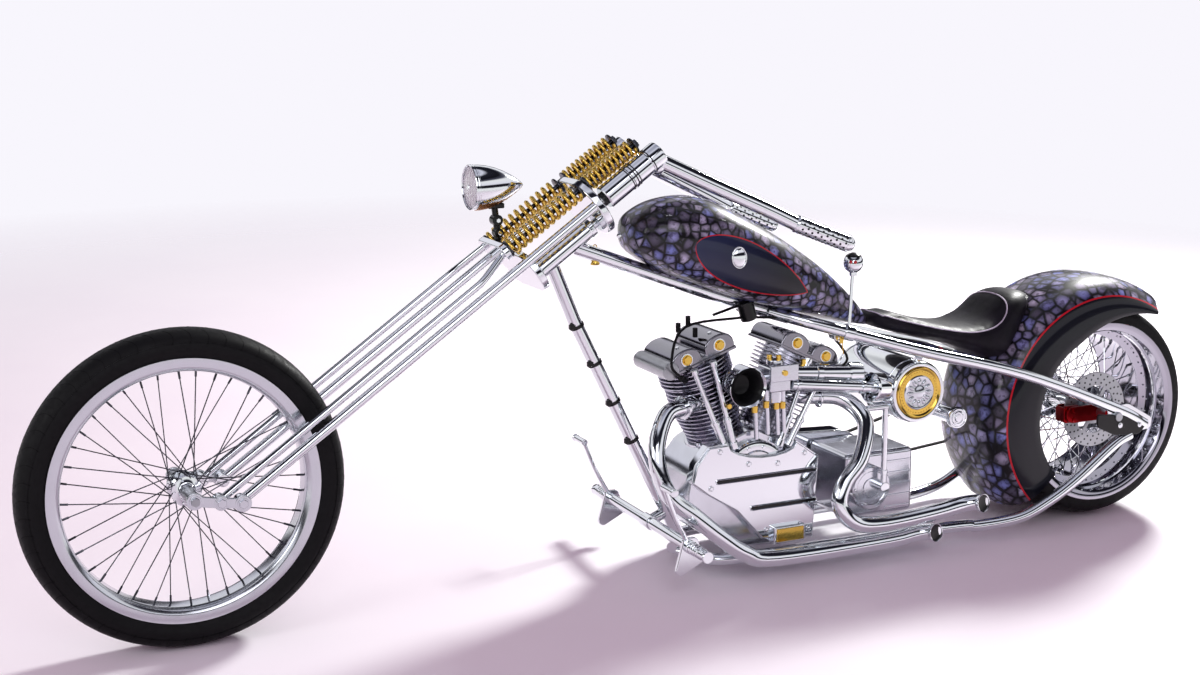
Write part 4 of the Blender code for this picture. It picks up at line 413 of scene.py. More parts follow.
def copies_round(shape: Shape, centre: Vector, axis: Vector, count: int) -> Shape:
    """Copies of a shape round an axis.

    Args:
        shape: The first one.
        centre: A point of the axis.
        axis: The axis's direction.
        count: How many there are in all.

    Returns:
        The same shape with its copies.
    """
    if count > 1:
        bmesh.ops.spin(
            shape, geom=shape.verts[:] + shape.edges[:] + shape.faces[:], axis=axis, cent=centre,
            steps=count - 1, angle=TURN * (count - 1) / count, use_duplicate=True,
        )
    return shape


def hoop(centre: Point, axis: Point, radius: float, wire: float, steps: int = 48) -> Shape:
    """A round ring.

    Args:
        centre: Its middle.
        axis: The direction that it faces.
        radius: Its radius to the middle of the wire.
        wire: The wire's radius.
        steps: Steps round it.

    Returns:
        The shape.
    """
    profile = [(wire * math.sin(TURN * k / 10), radius + wire * math.cos(TURN * k / 10)) for k in range(10)]
    return lathe(profile, centre, axis, steps, ring=True)


def ball(centre: Point, radius: float, steps: int = 20) -> Shape:
    """A small ball."""
    bm = bmesh.new()
    bmesh.ops.create_uvsphere(
        bm, u_segments=steps, v_segments=steps // 2 + 2, radius=radius, matrix=Matrix.Translation(centre)
    )
    return bm


def fork_plate(
    place: float, thickness: float, half_width: float, back: float, front: float, edge: float
) -> Shape:
    """A plate with round ends, square to the steering axis.

    Args:
        place: Where its underside is on the steering axis.
        thickness: Its thickness.
        half_width: Half of its width across the bike.
        back: Its rear edge, ahead of the steering axis.
        front: Its front edge, ahead of the steering axis.
        edge: The radius of its edges.

    Returns:
        The shape.
    """
    half, middle = (front - back) / 2, (front + back) / 2
    corners = []
    for sign in (1, -1):
        for k in range(13):
            angle = (TURN / 4 - TURN / 2 * k / 12) * sign
            corners.append(
                (
                    sign * (half_width - half) + sign * half * math.cos(angle),
                    middle + half * math.sin(angle),
                )
            )
    bm = bmesh.new()
    face = bm.faces.new([bm.verts.new(along_fork(place, side, lead)) for side, lead in corners])
    grown = bmesh.ops.extrude_face_region(bm, geom=[face])["geom"]
    rise = along_fork(place + thickness) - along_fork(place)
    bmesh.ops.translate(bm, vec=rise, verts=[v for v in grown if isinstance(v, bmesh.types.BMVert)])
    rims = [e for e in bm.edges if e.calc_face_angle(0) > 1]
    soften(bm, rims, edge)
    return bm


def lofted(
    sections: Sequence[tuple[float, float, float, float]], squareness: float, sides: int = 28
) -> Shape:
    """A closed skin over rounded sections that stand across the bike.

    Args:
        sections: For each, its place along x, its half width, and its lowest and highest z.
        squareness: 1 gives ellipses, and less gives fuller sections.
        sides: Corners of each section.

    Returns:
        The shape.
    """
    bm = bmesh.new()
    loops = []
    for x, half_width, low, high in sections:
        corners = bmesh.ops.create_circle(bm, cap_ends=False, radius=1, segments=sides)["verts"]
        for vert in corners:
            c, s = vert.co.x, vert.co.y
            wide = math.copysign(abs(c) ** squareness, c) * half_width
            tall = math.copysign(abs(s) ** squareness, s) * (high - low) / 2
            vert.co = Vector((x, wide, (high + low) / 2 + tall))
        loops.append(list({edge for vert in corners for edge in vert.link_edges}))
    for first, second in zip(loops, loops[1:]):
        bmesh.ops.bridge_loops(bm, edges=first + second)
    bmesh.ops.holes_fill(bm, edges=[e for e in bm.edges if e.is_boundary], sides=0)
    ends = [f for f in bm.faces if len(f.verts) == sides]
    bmesh.ops.poke(bm, faces=ends)
    bmesh.ops.recalc_face_normals(bm, faces=bm.faces)
    return bm


# Finishes


def linear(code: str, alpha: float = 1.0) -> tuple[float, float, float, float]:
    """A colour for Blender's sockets.

    Args:
        code: The colour as sRGB hex.
        alpha: Its opacity.

    Returns:
        The linear red, green, blue and alpha.
    """
    levels = [int(code[i : i + 2], 16) / 255 for i in (1, 3, 5)]
    red, green, blue = (v / 12.92 if v <= 0.04045 else ((v + 0.055) / 1.055) ** 2.4 for v in levels)
    return red, green, blue, alpha


class Recipe:
    """A material's node tree while it is put together."""

    def __init__(self, name: str) -> None:
        """Starts an empty material.

        Args:
            name: The material's name.
        """
        self.material = bpy.data.materials.new(name)
        self.material.use_nodes = True
        self.tree = self.material.node_tree
        self.tree.nodes.clear()
        self.shader = self.add("ShaderNodeBsdfPrincipled")
        self.output = self.add("ShaderNodeOutputMaterial", inputs={"Surface": self.shader.outputs[0]})

    def add(self, kind: str, settings: dict | None = None, inputs: dict | None = None) -> bpy.types.Node:
        """Adds one node.

        Args:
            kind: Blender's name for the node.
            settings: Its properties by name.
            inputs: What its sockets hold: a value, or another node's output.

        Returns:
            The node.
        """
        node = self.tree.nodes.new(kind)
        for key, value in (settings or {}).items():
            setattr(node, key, value)
        self.feed(node, inputs or {})
        return node

    def feed(self, node: bpy.types.Node, inputs: dict) -> None:
        """Sets or links a node's sockets.

        Args:
            node: The node.
            inputs: A value or another node's output for each socket's name or number.
        """
        for key, value in inputs.items():
            if isinstance(value, bpy.types.NodeSocket):
                self.tree.links.new(value, node.inputs[key])
            else:
                node.inputs[key].default_value = value

    def sums(self, operation: str, first: object, second: object = 0.0) -> bpy.types.NodeSocket:
        """One step of arithmetic.

        Args:
            operation: Blender's name for it.
            first: A number or an output.
            second: A number or an output.

        Returns:
            The result's socket.
        """
        node = self.add("ShaderNodeMath", {"operation": operation}, {0: first, 1: second})
        return node.outputs[0]

    def places(self, matrix: Matrix | None = None) -> bpy.types.NodeSocket:
        """The surface's own place in metres.

        Args:
            matrix: The frame that it is measured in, or the row frame.

        Returns:
            The place's socket.
        """
        spot = self.add("ShaderNodeTexCoord").outputs["Object"]
        if matrix is None:
            return spot
        place, turn, _ = matrix.decompose()
        inputs = {"Vector": spot, "Location": place, "Rotation": turn.to_euler()}
        return self.add("ShaderNodeMapping", {"vector_type": "TEXTURE"}, inputs).outputs[0]

    def noise(
        self, size: float, detail: float = 2.0, spot: bpy.types.NodeSocket | None = None
    ) -> bpy.types.NodeSocket:
        """Soft noise.

        Args:
            size: The size of its lumps in metres.
            detail: How much finer noise is on them.
            spot: The place that it reads, or the surface's own.

        Returns:
            The noise's strength.
        """
        inputs = {"Vector": spot or self.places(), "Scale": 1 / size, "Detail": detail}
        return self.add("ShaderNodeTexNoise", {}, inputs).outputs[0]

    def between(
        self, amount: bpy.types.NodeSocket, low: float, high: float, start: float = 0.3, stop: float = 0.7
    ) -> bpy.types.NodeSocket:
        """Maps a strength to a range.

        Args:
            amount: The strength.
            low: What it gives at the start.
            high: What it gives at the stop.
            start: The strength that counts as low.
            stop: The strength that counts as high.

        Returns:
            The mapped value's socket.
        """
        inputs = {0: amount, 1: start, 2: stop, 3: low, 4: high}
        return self.add("ShaderNodeMapRange", {}, inputs).outputs[0]

    def blend(self, amount: object, first: object, second: object) -> bpy.types.NodeSocket:
        """Mixes two colours.

        Args:
            amount: The second colour's share.
            first: A colour or an output.
            second: A colour or an output.

        Returns:
            The mixed colour's socket.
        """
        node = self.add("ShaderNodeMix", {"data_type": "RGBA"}, {0: amount, 6: first, 7: second})
        return node.outputs[2]

    def relief(self, height: bpy.types.NodeSocket, depth: float, strength: float = 1.0) -> None:
        """Gives the surface its fine relief.

        Args:
            height: The relief's shape, from 0 to 1.
            depth: Its depth in metres.
            strength: How far it shows.
        """
        bump = self.add("ShaderNodeBump", {}, {"Height": height, "Distance": depth, "Strength": strength})
        self.feed(self.shader, {"Normal": bump.outputs[0]})


@dataclass(frozen=True)
class Metal:
    """A bare or plated metal: how bright, how smooth, and the grain that its making left."""

    name: str
    colour: str
    roughness: float
    spread: float
    grain: float
    depth: float
    slot: Slot = Slot.CHROME

    def material(self) -> bpy.types.Material:
        """The metal's material."""
        recipe = Recipe(self.name)
        haze = recipe.noise(self.grain * 30, 4)
        rough = recipe.between(haze, self.roughness, self.roughness + self.spread)
        recipe.feed(recipe.shader, {"Base Color": linear(self.colour), "Metallic": 1.0, "Roughness": rough})
        if self.depth:
            recipe.relief(recipe.noise(self.grain, 3), self.depth)
        return recipe.material


@dataclass(frozen=True)
class Enamel:
    """A plain hard coat of paint or powder."""

    name: str
    colour: str
    roughness: float
    gloss: float
    slot: Slot = Slot.BLACK

    def material(self) -> bpy.types.Material:
        """The coat's material."""
        recipe = Recipe(self.name)
        rough = recipe.between(recipe.noise(0.04, 4), self.roughness, self.roughness + 0.12)
        recipe.feed(
            recipe.shader,
            {
                "Base Color": linear(self.colour), "Roughness": rough, "Coat Weight": self.gloss,
                "Coat Roughness": 0.05, "Specular IOR Level": 0.2,
            },
        )
        return recipe.material


@dataclass(frozen=True)
class Rubber:
    """Moulded tyre rubber: nearly black, matt, with fine moulding grain."""

    name: str
    colour: str
    roughness: float
    slot: Slot = Slot.BLACK

    def material(self) -> bpy.types.Material:
        """The rubber's material."""
        recipe = Recipe(self.name)
        dust = recipe.between(recipe.noise(0.06, 5), 0.0, 0.35)
        tone = recipe.blend(dust, linear(self.colour), linear("#121114"))
        rough = recipe.between(recipe.noise(0.012, 3), self.roughness, self.roughness + 0.2)
        recipe.feed(recipe.shader, {"Base Color": tone, "Roughness": rough, "Specular IOR Level": 0.16})
        recipe.relief(recipe.noise(0.0012, 2), 0.0002)
        return recipe.material


@dataclass(frozen=True)
class Glass:
    """Pressed lamp glass: clear, with upright flutes about 8 mm wide."""

    name: str
    flute: float
    slot: Slot = Slot.GLASS

    def material(self) -> bpy.types.Material:
        """The glass's material."""
        recipe = Recipe(self.name)
        spot = recipe.places(PLACEMENT)
        wave = recipe.add(
            "ShaderNodeTexWave",
            {"bands_direction": "Y"},
            {"Vector": spot, "Scale": 1 / (self.flute * TURN), "Distortion": 0.0}
        )
        recipe.feed(
            recipe.shader,
            {"Base Color": linear("#F4F7FA"), "Roughness": 0.03, "Transmission Weight": 0.35, "IOR": 1.5},
        )
        recipe.relief(wave.outputs[1], 0.0012)
        return recipe.material


@dataclass(frozen=True)
class Hide:
    """Black saddle leather: grain about 1.5 mm across under a worn semi-gloss."""

    name: str
    colour: str
    grain: float
    slot: Slot = Slot.LEATHER

    def material(self) -> bpy.types.Material:
        """The leather's material."""
        recipe = Recipe(self.name)
        spot = recipe.places()
        cells = recipe.add(
            "ShaderNodeTexVoronoi", {"feature": "F1"}, {"Vector": spot, "Scale": 1 / self.grain}
        )
        wear = recipe.between(recipe.noise(0.07, 4), 0.0, 0.6)
        tone = recipe.blend(wear, linear(self.colour), linear("#1F1A26"))
        rough = recipe.between(recipe.noise(0.03, 3), 0.34, 0.55)
        recipe.feed(recipe.shader, {"Base Color": tone, "Roughness": rough, "Specular IOR Level": 0.14})
        recipe.relief(cells.outputs["Distance"], self.grain / 6, 0.6)
        return recipe.material


@dataclass(frozen=True)
class PebbleArt:
    """Airbrushed pebbles under clear lacquer: rounded cells of hand size, each with its own tone."""

    name: str
    tank_cell: float
    fender_cell: float
    line_colour: str = "#C31A2A"
    panel_dark: str = "#0B0D18"
    # The panel's painted sheen colour, towards the tank's nose.
    panel_sheen_colour: str = "#232B4A"

    def pebbles(self, recipe: Recipe, cell: float) -> bpy.types.NodeSocket:
        """The pattern's colour.

        Args:
            recipe: The material being made.
            cell: The size of a pebble.

        Returns:
            The colour's socket.
        """
        spot = recipe.places()
        cells = recipe.add(
            "ShaderNodeTexVoronoi",
            {"feature": "F1"},
            {"Vector": spot, "Scale": 1 / cell, "Randomness": 0.85},
        )
        rims = recipe.add(
            "ShaderNodeTexVoronoi",
            {"feature": "DISTANCE_TO_EDGE"},
            {"Vector": spot, "Scale": 1 / cell, "Randomness": 0.85}
        )
        tone = recipe.add(
            "ShaderNodeValToRGB",
            {},
            {0: recipe.add("ShaderNodeSeparateColor", {}, {0: cells.outputs["Color"]}).outputs[0]},
        )
        ramp = tone.color_ramp
        stops = (("#3C3848", 0.0), ("#7A7490", 0.25), ("#BDB7D0", 0.5), ("#7480C6", 0.72), ("#908AA6", 1.0))
        while len(ramp.elements) < len(stops):
            ramp.elements.new(0.5)
        for element, (code, at) in zip(ramp.elements, stops):
            element.position = at
            element.color = linear(code)
        shade = recipe.between(cells.outputs["Distance"], 1.0, 0.15, 0.16, 0.70)
        lit = recipe.blend(shade, linear("#14121A"), tone.outputs[0])
        swirl = recipe.between(recipe.noise(cell / 2.6, 4), 0.0, 0.62, 0.50, 0.62)
        lit = recipe.blend(swirl, lit, linear("#1D1A26"))
        gap = recipe.between(rims.outputs["Distance"], 1.0, 0.0, 0.04, 0.15)
        return recipe.blend(gap, lit, linear("#0A090D"))

    def coat(self, recipe: Recipe, colour: bpy.types.NodeSocket) -> bpy.types.Material:
        """Puts the clear lacquer over the pattern.

        Args:
            recipe: The material being made.
            colour: The painted colour.

        Returns:
            The finished material.
        """
        recipe.feed(
            recipe.shader,
            {
                "Base Color": colour, "Roughness": 0.38, "Specular IOR Level": 0.12, "Coat Weight": 0.45,
                "Coat Roughness": 0.03,
            },
        )
        return recipe.material

    def tank(self) -> bpy.types.Material:
        """The tank's material: pebbles, with a dark teardrop panel on each side inside a red line, and a
        painted sheen that makes the panel lighter towards the nose.
        """
        recipe = Recipe(f"{self.name}_tank")
        nose, tip = Vector((1.372, 0, 0.930)), Vector((1.020, 0, 0.772))
        axis = tip - nose
        slope = math.atan2(-axis.z, axis.x)
        frame = PLACEMENT @ Matrix.Translation(nose) @ Matrix.Rotation(slope, 4, "Y")
        spot = recipe.add("ShaderNodeSeparateXYZ", {}, {0: recipe.places(frame)})
        along = recipe.sums("DIVIDE", spot.outputs[0], axis.length)
        clear = recipe.add("ShaderNodeClamp", {}, {0: along}).outputs[0]
        wide = recipe.sums("POWER", clear, 0.55)
        taper = recipe.sums("POWER", recipe.sums("SUBTRACT", 1.0, clear), 0.85)
        half = recipe.sums("MULTIPLY", recipe.sums("MULTIPLY", wide, taper), 0.165)
        inside = recipe.sums("SUBTRACT", half, recipe.sums("ABSOLUTE", spot.outputs[2]))
        panel = recipe.sums("GREATER_THAN", inside, 0.0)
        line = recipe.sums("MULTIPLY", panel, recipe.sums("LESS_THAN", inside, 0.0032))
        # Painted sheen: the panel grows lighter towards the nose.
        painted_sheen = recipe.between(clear, 1.0, 0.0, 0.0, 0.8)
        dark = recipe.blend(painted_sheen, linear(self.panel_dark), linear(self.panel_sheen_colour))
        colour = recipe.blend(panel, self.pebbles(recipe, self.tank_cell), dark)
        return self.coat(recipe, recipe.blend(line, colour, linear(self.line_colour)))

    def fender(self) -> bpy.types.Material:
        """The fender's material: pebbles over the crown, a plain dark flange and a red line between."""
        recipe = Recipe(f"{self.name}_fender")
        frame = PLACEMENT @ Matrix.Translation((0, 0, REAR_RADIUS))
        spot = recipe.add("ShaderNodeSeparateXYZ", {}, {0: recipe.places(frame)})
        square = recipe.sums(
            "ADD",
            recipe.sums("MULTIPLY", spot.outputs[0], spot.outputs[0]),
            recipe.sums("MULTIPLY", spot.outputs[2], spot.outputs[2])
        )
        radius = recipe.sums("SQRT", square)
        above = recipe.sums("SUBTRACT", radius, 0.352)
        art = recipe.sums("GREATER_THAN", above, 0.0)
        line = recipe.sums("MULTIPLY", art, recipe.sums("LESS_THAN", above, 0.0045))
        colour = recipe.blend(art, linear(self.panel_dark), self.pebbles(recipe, self.fender_cell))
        return self.coat(recipe, recipe.blend(line, colour, linear(self.line_colour)))


class PaintShop:
    """Every finish of the bike, made once and handed out by name."""

    CHROME = Metal("chrome_plate", "#DFE2E6", 0.04, 0.05, 3 * MM, 0.0)
    SATIN_CHROME = Metal("worn_chrome", "#C9CCD2", 0.12, 0.10, 2 * MM, 0.0)
    GOLD = Metal("gold_plate", "#DDB858", 0.12, 0.08, 2 * MM, 0.0, Slot.GOLD)
    CAST_ALLOY = Metal("polished_cast_alloy", "#D0D2D9", 0.13, 0.10, 1.5 * MM, 0.00002, Slot.ALLOY)
    # Darker copy of chrome: painted shade for the rocker boxes' shaded faces.
    SHADED_CHROME = Metal("chrome_painted_shade", "#8C8B93", 0.10, 0.08, 2 * MM, 0.0)
    # Darker copy of chrome: painted shade for the rear rim's deep dish.
    SHADED_RIM_CHROME = Metal("rim_chrome_painted_shade", "#A3A1AC", 0.05, 0.05, 3 * MM, 0.0)
    FIN_ALLOY = Metal("machined_fin_alloy", "#B4B3C0", 0.20, 0.10, 1.2 * MM, 0.00002, Slot.ALLOY)
    STEEL = Metal("brushed_steel", "#A6A8AD", 0.28, 0.12, 1.0 * MM, 0.00004, Slot.STEEL)
    # Dark steel: the front spokes' colour, and painted shade on the spring rods inside the coils.
    DARK_STEEL = Metal("dark_spoke_steel_and_painted_rod_shade", "#4A4B52", 0.22, 0.10, 1.0 * MM, 0.0, Slot.STEEL)
    RED = Metal("red_anodised", "#8A0E14", 0.26, 0.10, 1.0 * MM, 0.0, Slot.RED)
    BRONZE = Metal("ribbed_bronze", "#9A6A3C", 0.26, 0.12, 1.0 * MM, 0.0, Slot.GOLD)
    BLACK = Enamel("gloss_black_enamel", "#08080A", 0.25, 0.25)
    BEAD = Enamel("red_glass_bead", "#B4101C", 0.12, 1.0, Slot.RED)
    # Near-black: painted shade in holes and inside the intake bell.
    HOLE_SHADE = Enamel("painted_hole_shade", "#07070A", 0.45, 0.1)
    PIPING = Enamel("pale_leather_piping", "#C4C1D0", 0.50, 0.0, Slot.LEATHER)
    TYRE = Rubber("tyre_rubber", "#09090B", 0.46, Slot.TYRE)
    # Darker rubber: painted shade for the tread grooves.
    GROOVE_SHADE = Rubber("groove_rubber_painted_shade", "#050506", 0.85, Slot.TYRE)
    BELT = Rubber("belt_rubber", "#0E0E0E", 0.60, Slot.BELT)
    GRIP = Rubber("grip_rubber", "#0E0E10", 0.45)
    GLASS = Glass("fluted_glass", 8 * MM)
    LEATHER = Hide("saddle_leather", "#0C0B10", 1.6 * MM)
    ART = PebbleArt("pebble_lacquer", 27 * MM, 35 * MM)

    def __init__(self) -> None:
        """Starts with nothing made."""
        self.made: dict[str, bpy.types.Material] = {}

    def get(self, finish: object) -> bpy.types.Material:
        """A finish's material, made the first time it is asked for.

        Args:
            finish: One of the finishes above, or a material.

        Returns:
            The material.
        """
        if isinstance(finish, bpy.types.Material):
            return finish
        if finish.name not in self.made:
            self.made[finish.name] = finish.material()
        return self.made[finish.name]


# Putting pieces on the bike


@dataclass
class Workshop:
    """Turns shapes into pieces that ride on the bike's bodies."""

    shop: PaintShop = field(default_factory=PaintShop)
    count: int = 0

    def mount(
        self,
        shape: Shape,
        name: str,
        finish: object,
        body: Body,
        *stands_for: str,
        slot: Slot | None = None,
        crease: float = 34.0,
        placed: bool = False,
    ) -> bpy.types.Object:
        """Makes a piece of a shape.

        Args:
            shape: The shape in the upright bike's frame, which is used up.
            name: The piece's name.
            finish: Its finish.
            body: The body it rides on.
            stands_for: The CAD nodes that it replaces.
            slot: The record's slot, where it isn't the finish's own; not used.
            crease: Faces that meet at more than this many degrees keep a sharp edge.
            placed: Whether the shape is in the row frame already.

        Returns:
            The piece.
        """
        if not placed:
            bmesh.ops.transform(shape, matrix=PLACEMENT, verts=shape.verts)
        bmesh.ops.recalc_face_normals(shape, faces=shape.faces)
        mesh = bpy.data.meshes.new(name)
        shape.to_mesh(mesh)
        shape.free()
        mesh.shade_smooth()
        mesh.set_sharp_from_angle(angle=math.radians(crease))
        mesh.materials.append(self.shop.get(finish))
        piece = bpy.data.objects.new(name, mesh)
        bpy.context.scene.collection.objects.link(piece)
        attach(piece, body.value)
        if crease < 45:
            even = piece.modifiers.new("even_normals", "WEIGHTED_NORMAL")
            even.keep_sharp = True
        if stands_for:
            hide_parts(*stands_for)
        self.count += 1
        LOG.info("%s: %d faces on %s", name, len(mesh.polygons), body.value)
        return piece


# The wheels


@dataclass
class Wheel:
    """A spoked wheel with its tyre."""

    name: str
    body: Body
    centre: Vector
    radius: float
    width: float
    rim_radius: float
    rim_width: float
    bead: float
    well: float
    well_width: float
    steps: int = 144

    def tyre(self) -> Shape:
        """The round tyre, from bead to bead, with a step where the tread meets the sidewall."""
        seat = self.rim_width / 2 - 4.3 * MM
        middle = self.bead + (self.radius - self.bead) * 0.46
        outer = []
        for k in range(15):
            angle = TURN / 4 * (1 - k / 14)
            across = self.width / 2 * math.sin(angle) ** 0.86 if angle > 0 else 0.0
            place = middle + (self.radius - middle) * math.cos(angle) ** 0.72
            if k == 3:
                outer.append((across - 1.2 * MM, place - 0.5 * MM))
            outer.append((across, place))
        half = [(seat, self.bead + 0.3 * MM), (seat, self.rim_radius + 0.3 * MM)] + outer
        profile = half + [(-y, r) for y, r in reversed(half[:-1])]
        return lathe(profile, self.centre, ACROSS, self.steps, ring=True)

    def tread(self, count: int, reach: float, groove: float) -> Shape:
        """Curved cross grooves of the tread, as thin dark strips let into the rubber; their darker rubber
        is painted shade for the grooves.

        Args:
            count: Grooves round one shoulder.
            reach: The share of the width that a groove runs over.
            groove: Half of its width.

        Returns:
            The shape.
        """
        middle = self.bead + (self.radius - self.bead) * 0.46
        routes = []
        for side in (1, -1):
            for k in range(count):
                turn = TURN * (k + (0.5 if side < 0 else 0.0)) / count
                route = []
                for step in range(9):
                    angle = TURN / 4 * (0.10 + reach * step / 8)
                    across = self.width / 2 * math.sin(angle) ** 0.86
                    radius = middle + (self.radius - middle) * math.cos(angle) ** 0.72 - groove * 0.55
                    swing = turn + 0.075 * math.sin(angle * 1.6)
                    route.append(
                        self.centre + Vector(
                            (radius * math.cos(swing), side * across, radius * math.sin(swing))
                        )
                    )
                routes.append(route)
        return piping(routes, groove, 4)

    def rim(self) -> Shape:
        """The rolled rim with its flanges, bead seats and drop centre."""
        half, drop, wall = self.rim_width / 2, self.well_width / 2, 3.5 * MM
        slope = (self.bead - self.well) * 0.5
        outer = [
            (half - 1.2 * MM, self.rim_radius), (half - 3.6 * MM, self.rim_radius - 1 * MM),
            (half - 4 * MM, self.rim_radius - 4 * MM), (half - 4 * MM, self.bead - 0.3 * MM),
            (drop + slope, self.bead - 0.3 * MM), (drop, self.well + wall),
        ]
        inner = [
            (drop - wall / 2, self.well), (drop + slope * 0.4, self.well + 1 * MM),
            (drop + slope * 0.55, self.well + 5 * MM), (drop + slope * 1.1, self.bead - wall * 1.6),
            (half - 12 * MM, self.bead - wall * 1.3), (half - 9 * MM, self.bead - wall * 1.9),
            (half - 6 * MM, self.bead - wall * 1.2), (half - 3 * MM, self.bead + 1 * MM),
            (half - 1 * MM, self.bead + 5 * MM), (half, self.rim_radius - 4 * MM),
            (half, self.rim_radius - 1.2 * MM),
        ]
        profile = outer + [(-y, r) for y, r in reversed(outer)]
        profile += [(-y, r) for y, r in reversed(inner)] + inner
        return lathe(profile, self.centre, ACROSS, self.steps, ring=True)

    def lacing(
        self, count: int, flange: float, flange_side: Sequence[float], radius: float, cross: float
    ) -> Shape:
        """The spokes and their nipples.

        Args:
            count: Spokes on each side.
            flange: Radius at which they leave the hub's flanges.
            flange_side: Place across of the left and right flanges.
            radius: The spokes' own radius.
            cross: How far a spoke leans, as a share of a quarter turn.

        Returns:
            The shape.
        """
        bars, nipples = [], []
        for side, place in zip((1, -1), flange_side):
            for k in range(count):
                turn = TURN * (k + (0.5 if side < 0 else 0)) / count
                root = turn + cross * TURN / 4 * (1 if k % 2 else -1)
                start = Vector(
                    (
                        flange * math.cos(root), place + side * radius * (2 if k % 2 else -2),
                        flange * math.sin(root),
                    )
                )
                reach = self.well + 2 * MM
                end = Vector(
                    (reach * math.cos(turn), side * self.well_width * 0.28, reach * math.sin(turn))
                )
                bars.append([self.centre + start, self.centre + end])
                nipples.append([self.centre + end.lerp(start, 0.075), self.centre + end])
        return gathered(piping(bars, radius, 8), piping(nipples, radius * 1.9, 8))


@dataclass
class FrontWheel(Wheel):
    """Tall narrow front wheel with forty crossed spokes."""

    name: str = "front"
    body: Body = Body.FRONT_WHEEL
    centre: Vector = field(default_factory=lambda: Vector((WHEELBASE, 0, FRONT_RADIUS)))
    radius: float = 0.400
    width: float = 0.106
    rim_radius: float = 0.333
    rim_width: float = 0.088
    bead: float = 0.306
    well: float = 0.2955
    well_width: float = 0.040
    flange: float = 0.034
    flange_side: float = 0.030
    spoke_radius: float = 0.0015
    spokes: int = 20

    def hub(self) -> Shape:
        """The spool hub with its two spoke flanges, bearing caps and bolts."""
        profile = [
            (0, 0.0115), (0, 0.019), (3 * MM, 0.021), (8 * MM, 0.021), (10 * MM, 0.024), (11 * MM, 0.037),
            (13 * MM, 0.038),
            (16 * MM, 0.037), (18 * MM, 0.026), (24 * MM, 0.020),
        ]
        width = 88 * MM
        profile += [(width - place, radius) for place, radius in reversed(profile)]
        shape = lathe(profile, self.centre - ACROSS * width / 2, ACROSS, 48, ring=True)
        for side in (1, -1):
            start = self.centre + Vector((0.0300, side * (width / 2 - 10 * MM), 0))
            bolt = hexagon(start, ACROSS * side, 3.2 * MM, 3 * MM)
            shape = gathered(shape, copies_round(bolt, self.centre, ACROSS, 5))
        return shape

    def build(self, shop: Workshop) -> None:
        """Builds and mounts the wheel.

        Args:
            shop: The workshop.
        """
        shop.mount(self.tyre(), "front_tyre_rubber", PaintShop.TYRE, self.body, "front_tyre", crease=50)
        shop.mount(
            self.tread(56, 0.74, 0.8 * MM), "front_tyre_grooves", PaintShop.GROOVE_SHADE, self.body, crease=60
        )
        shop.mount(
            self.rim(), "front_rim_plated", PaintShop.SATIN_CHROME, self.body, "front_rim", crease=30
        )
        shop.mount(self.hub(), "front_hub", PaintShop.CHROME, self.body, "front_hub_and_spokes", crease=30)
        lacing = self.lacing(
            self.spokes, self.flange, (self.flange_side, -self.flange_side), self.spoke_radius, 0.62
        )
        shop.mount(lacing, "front_spokes", PaintShop.DARK_STEEL, self.body, crease=40)


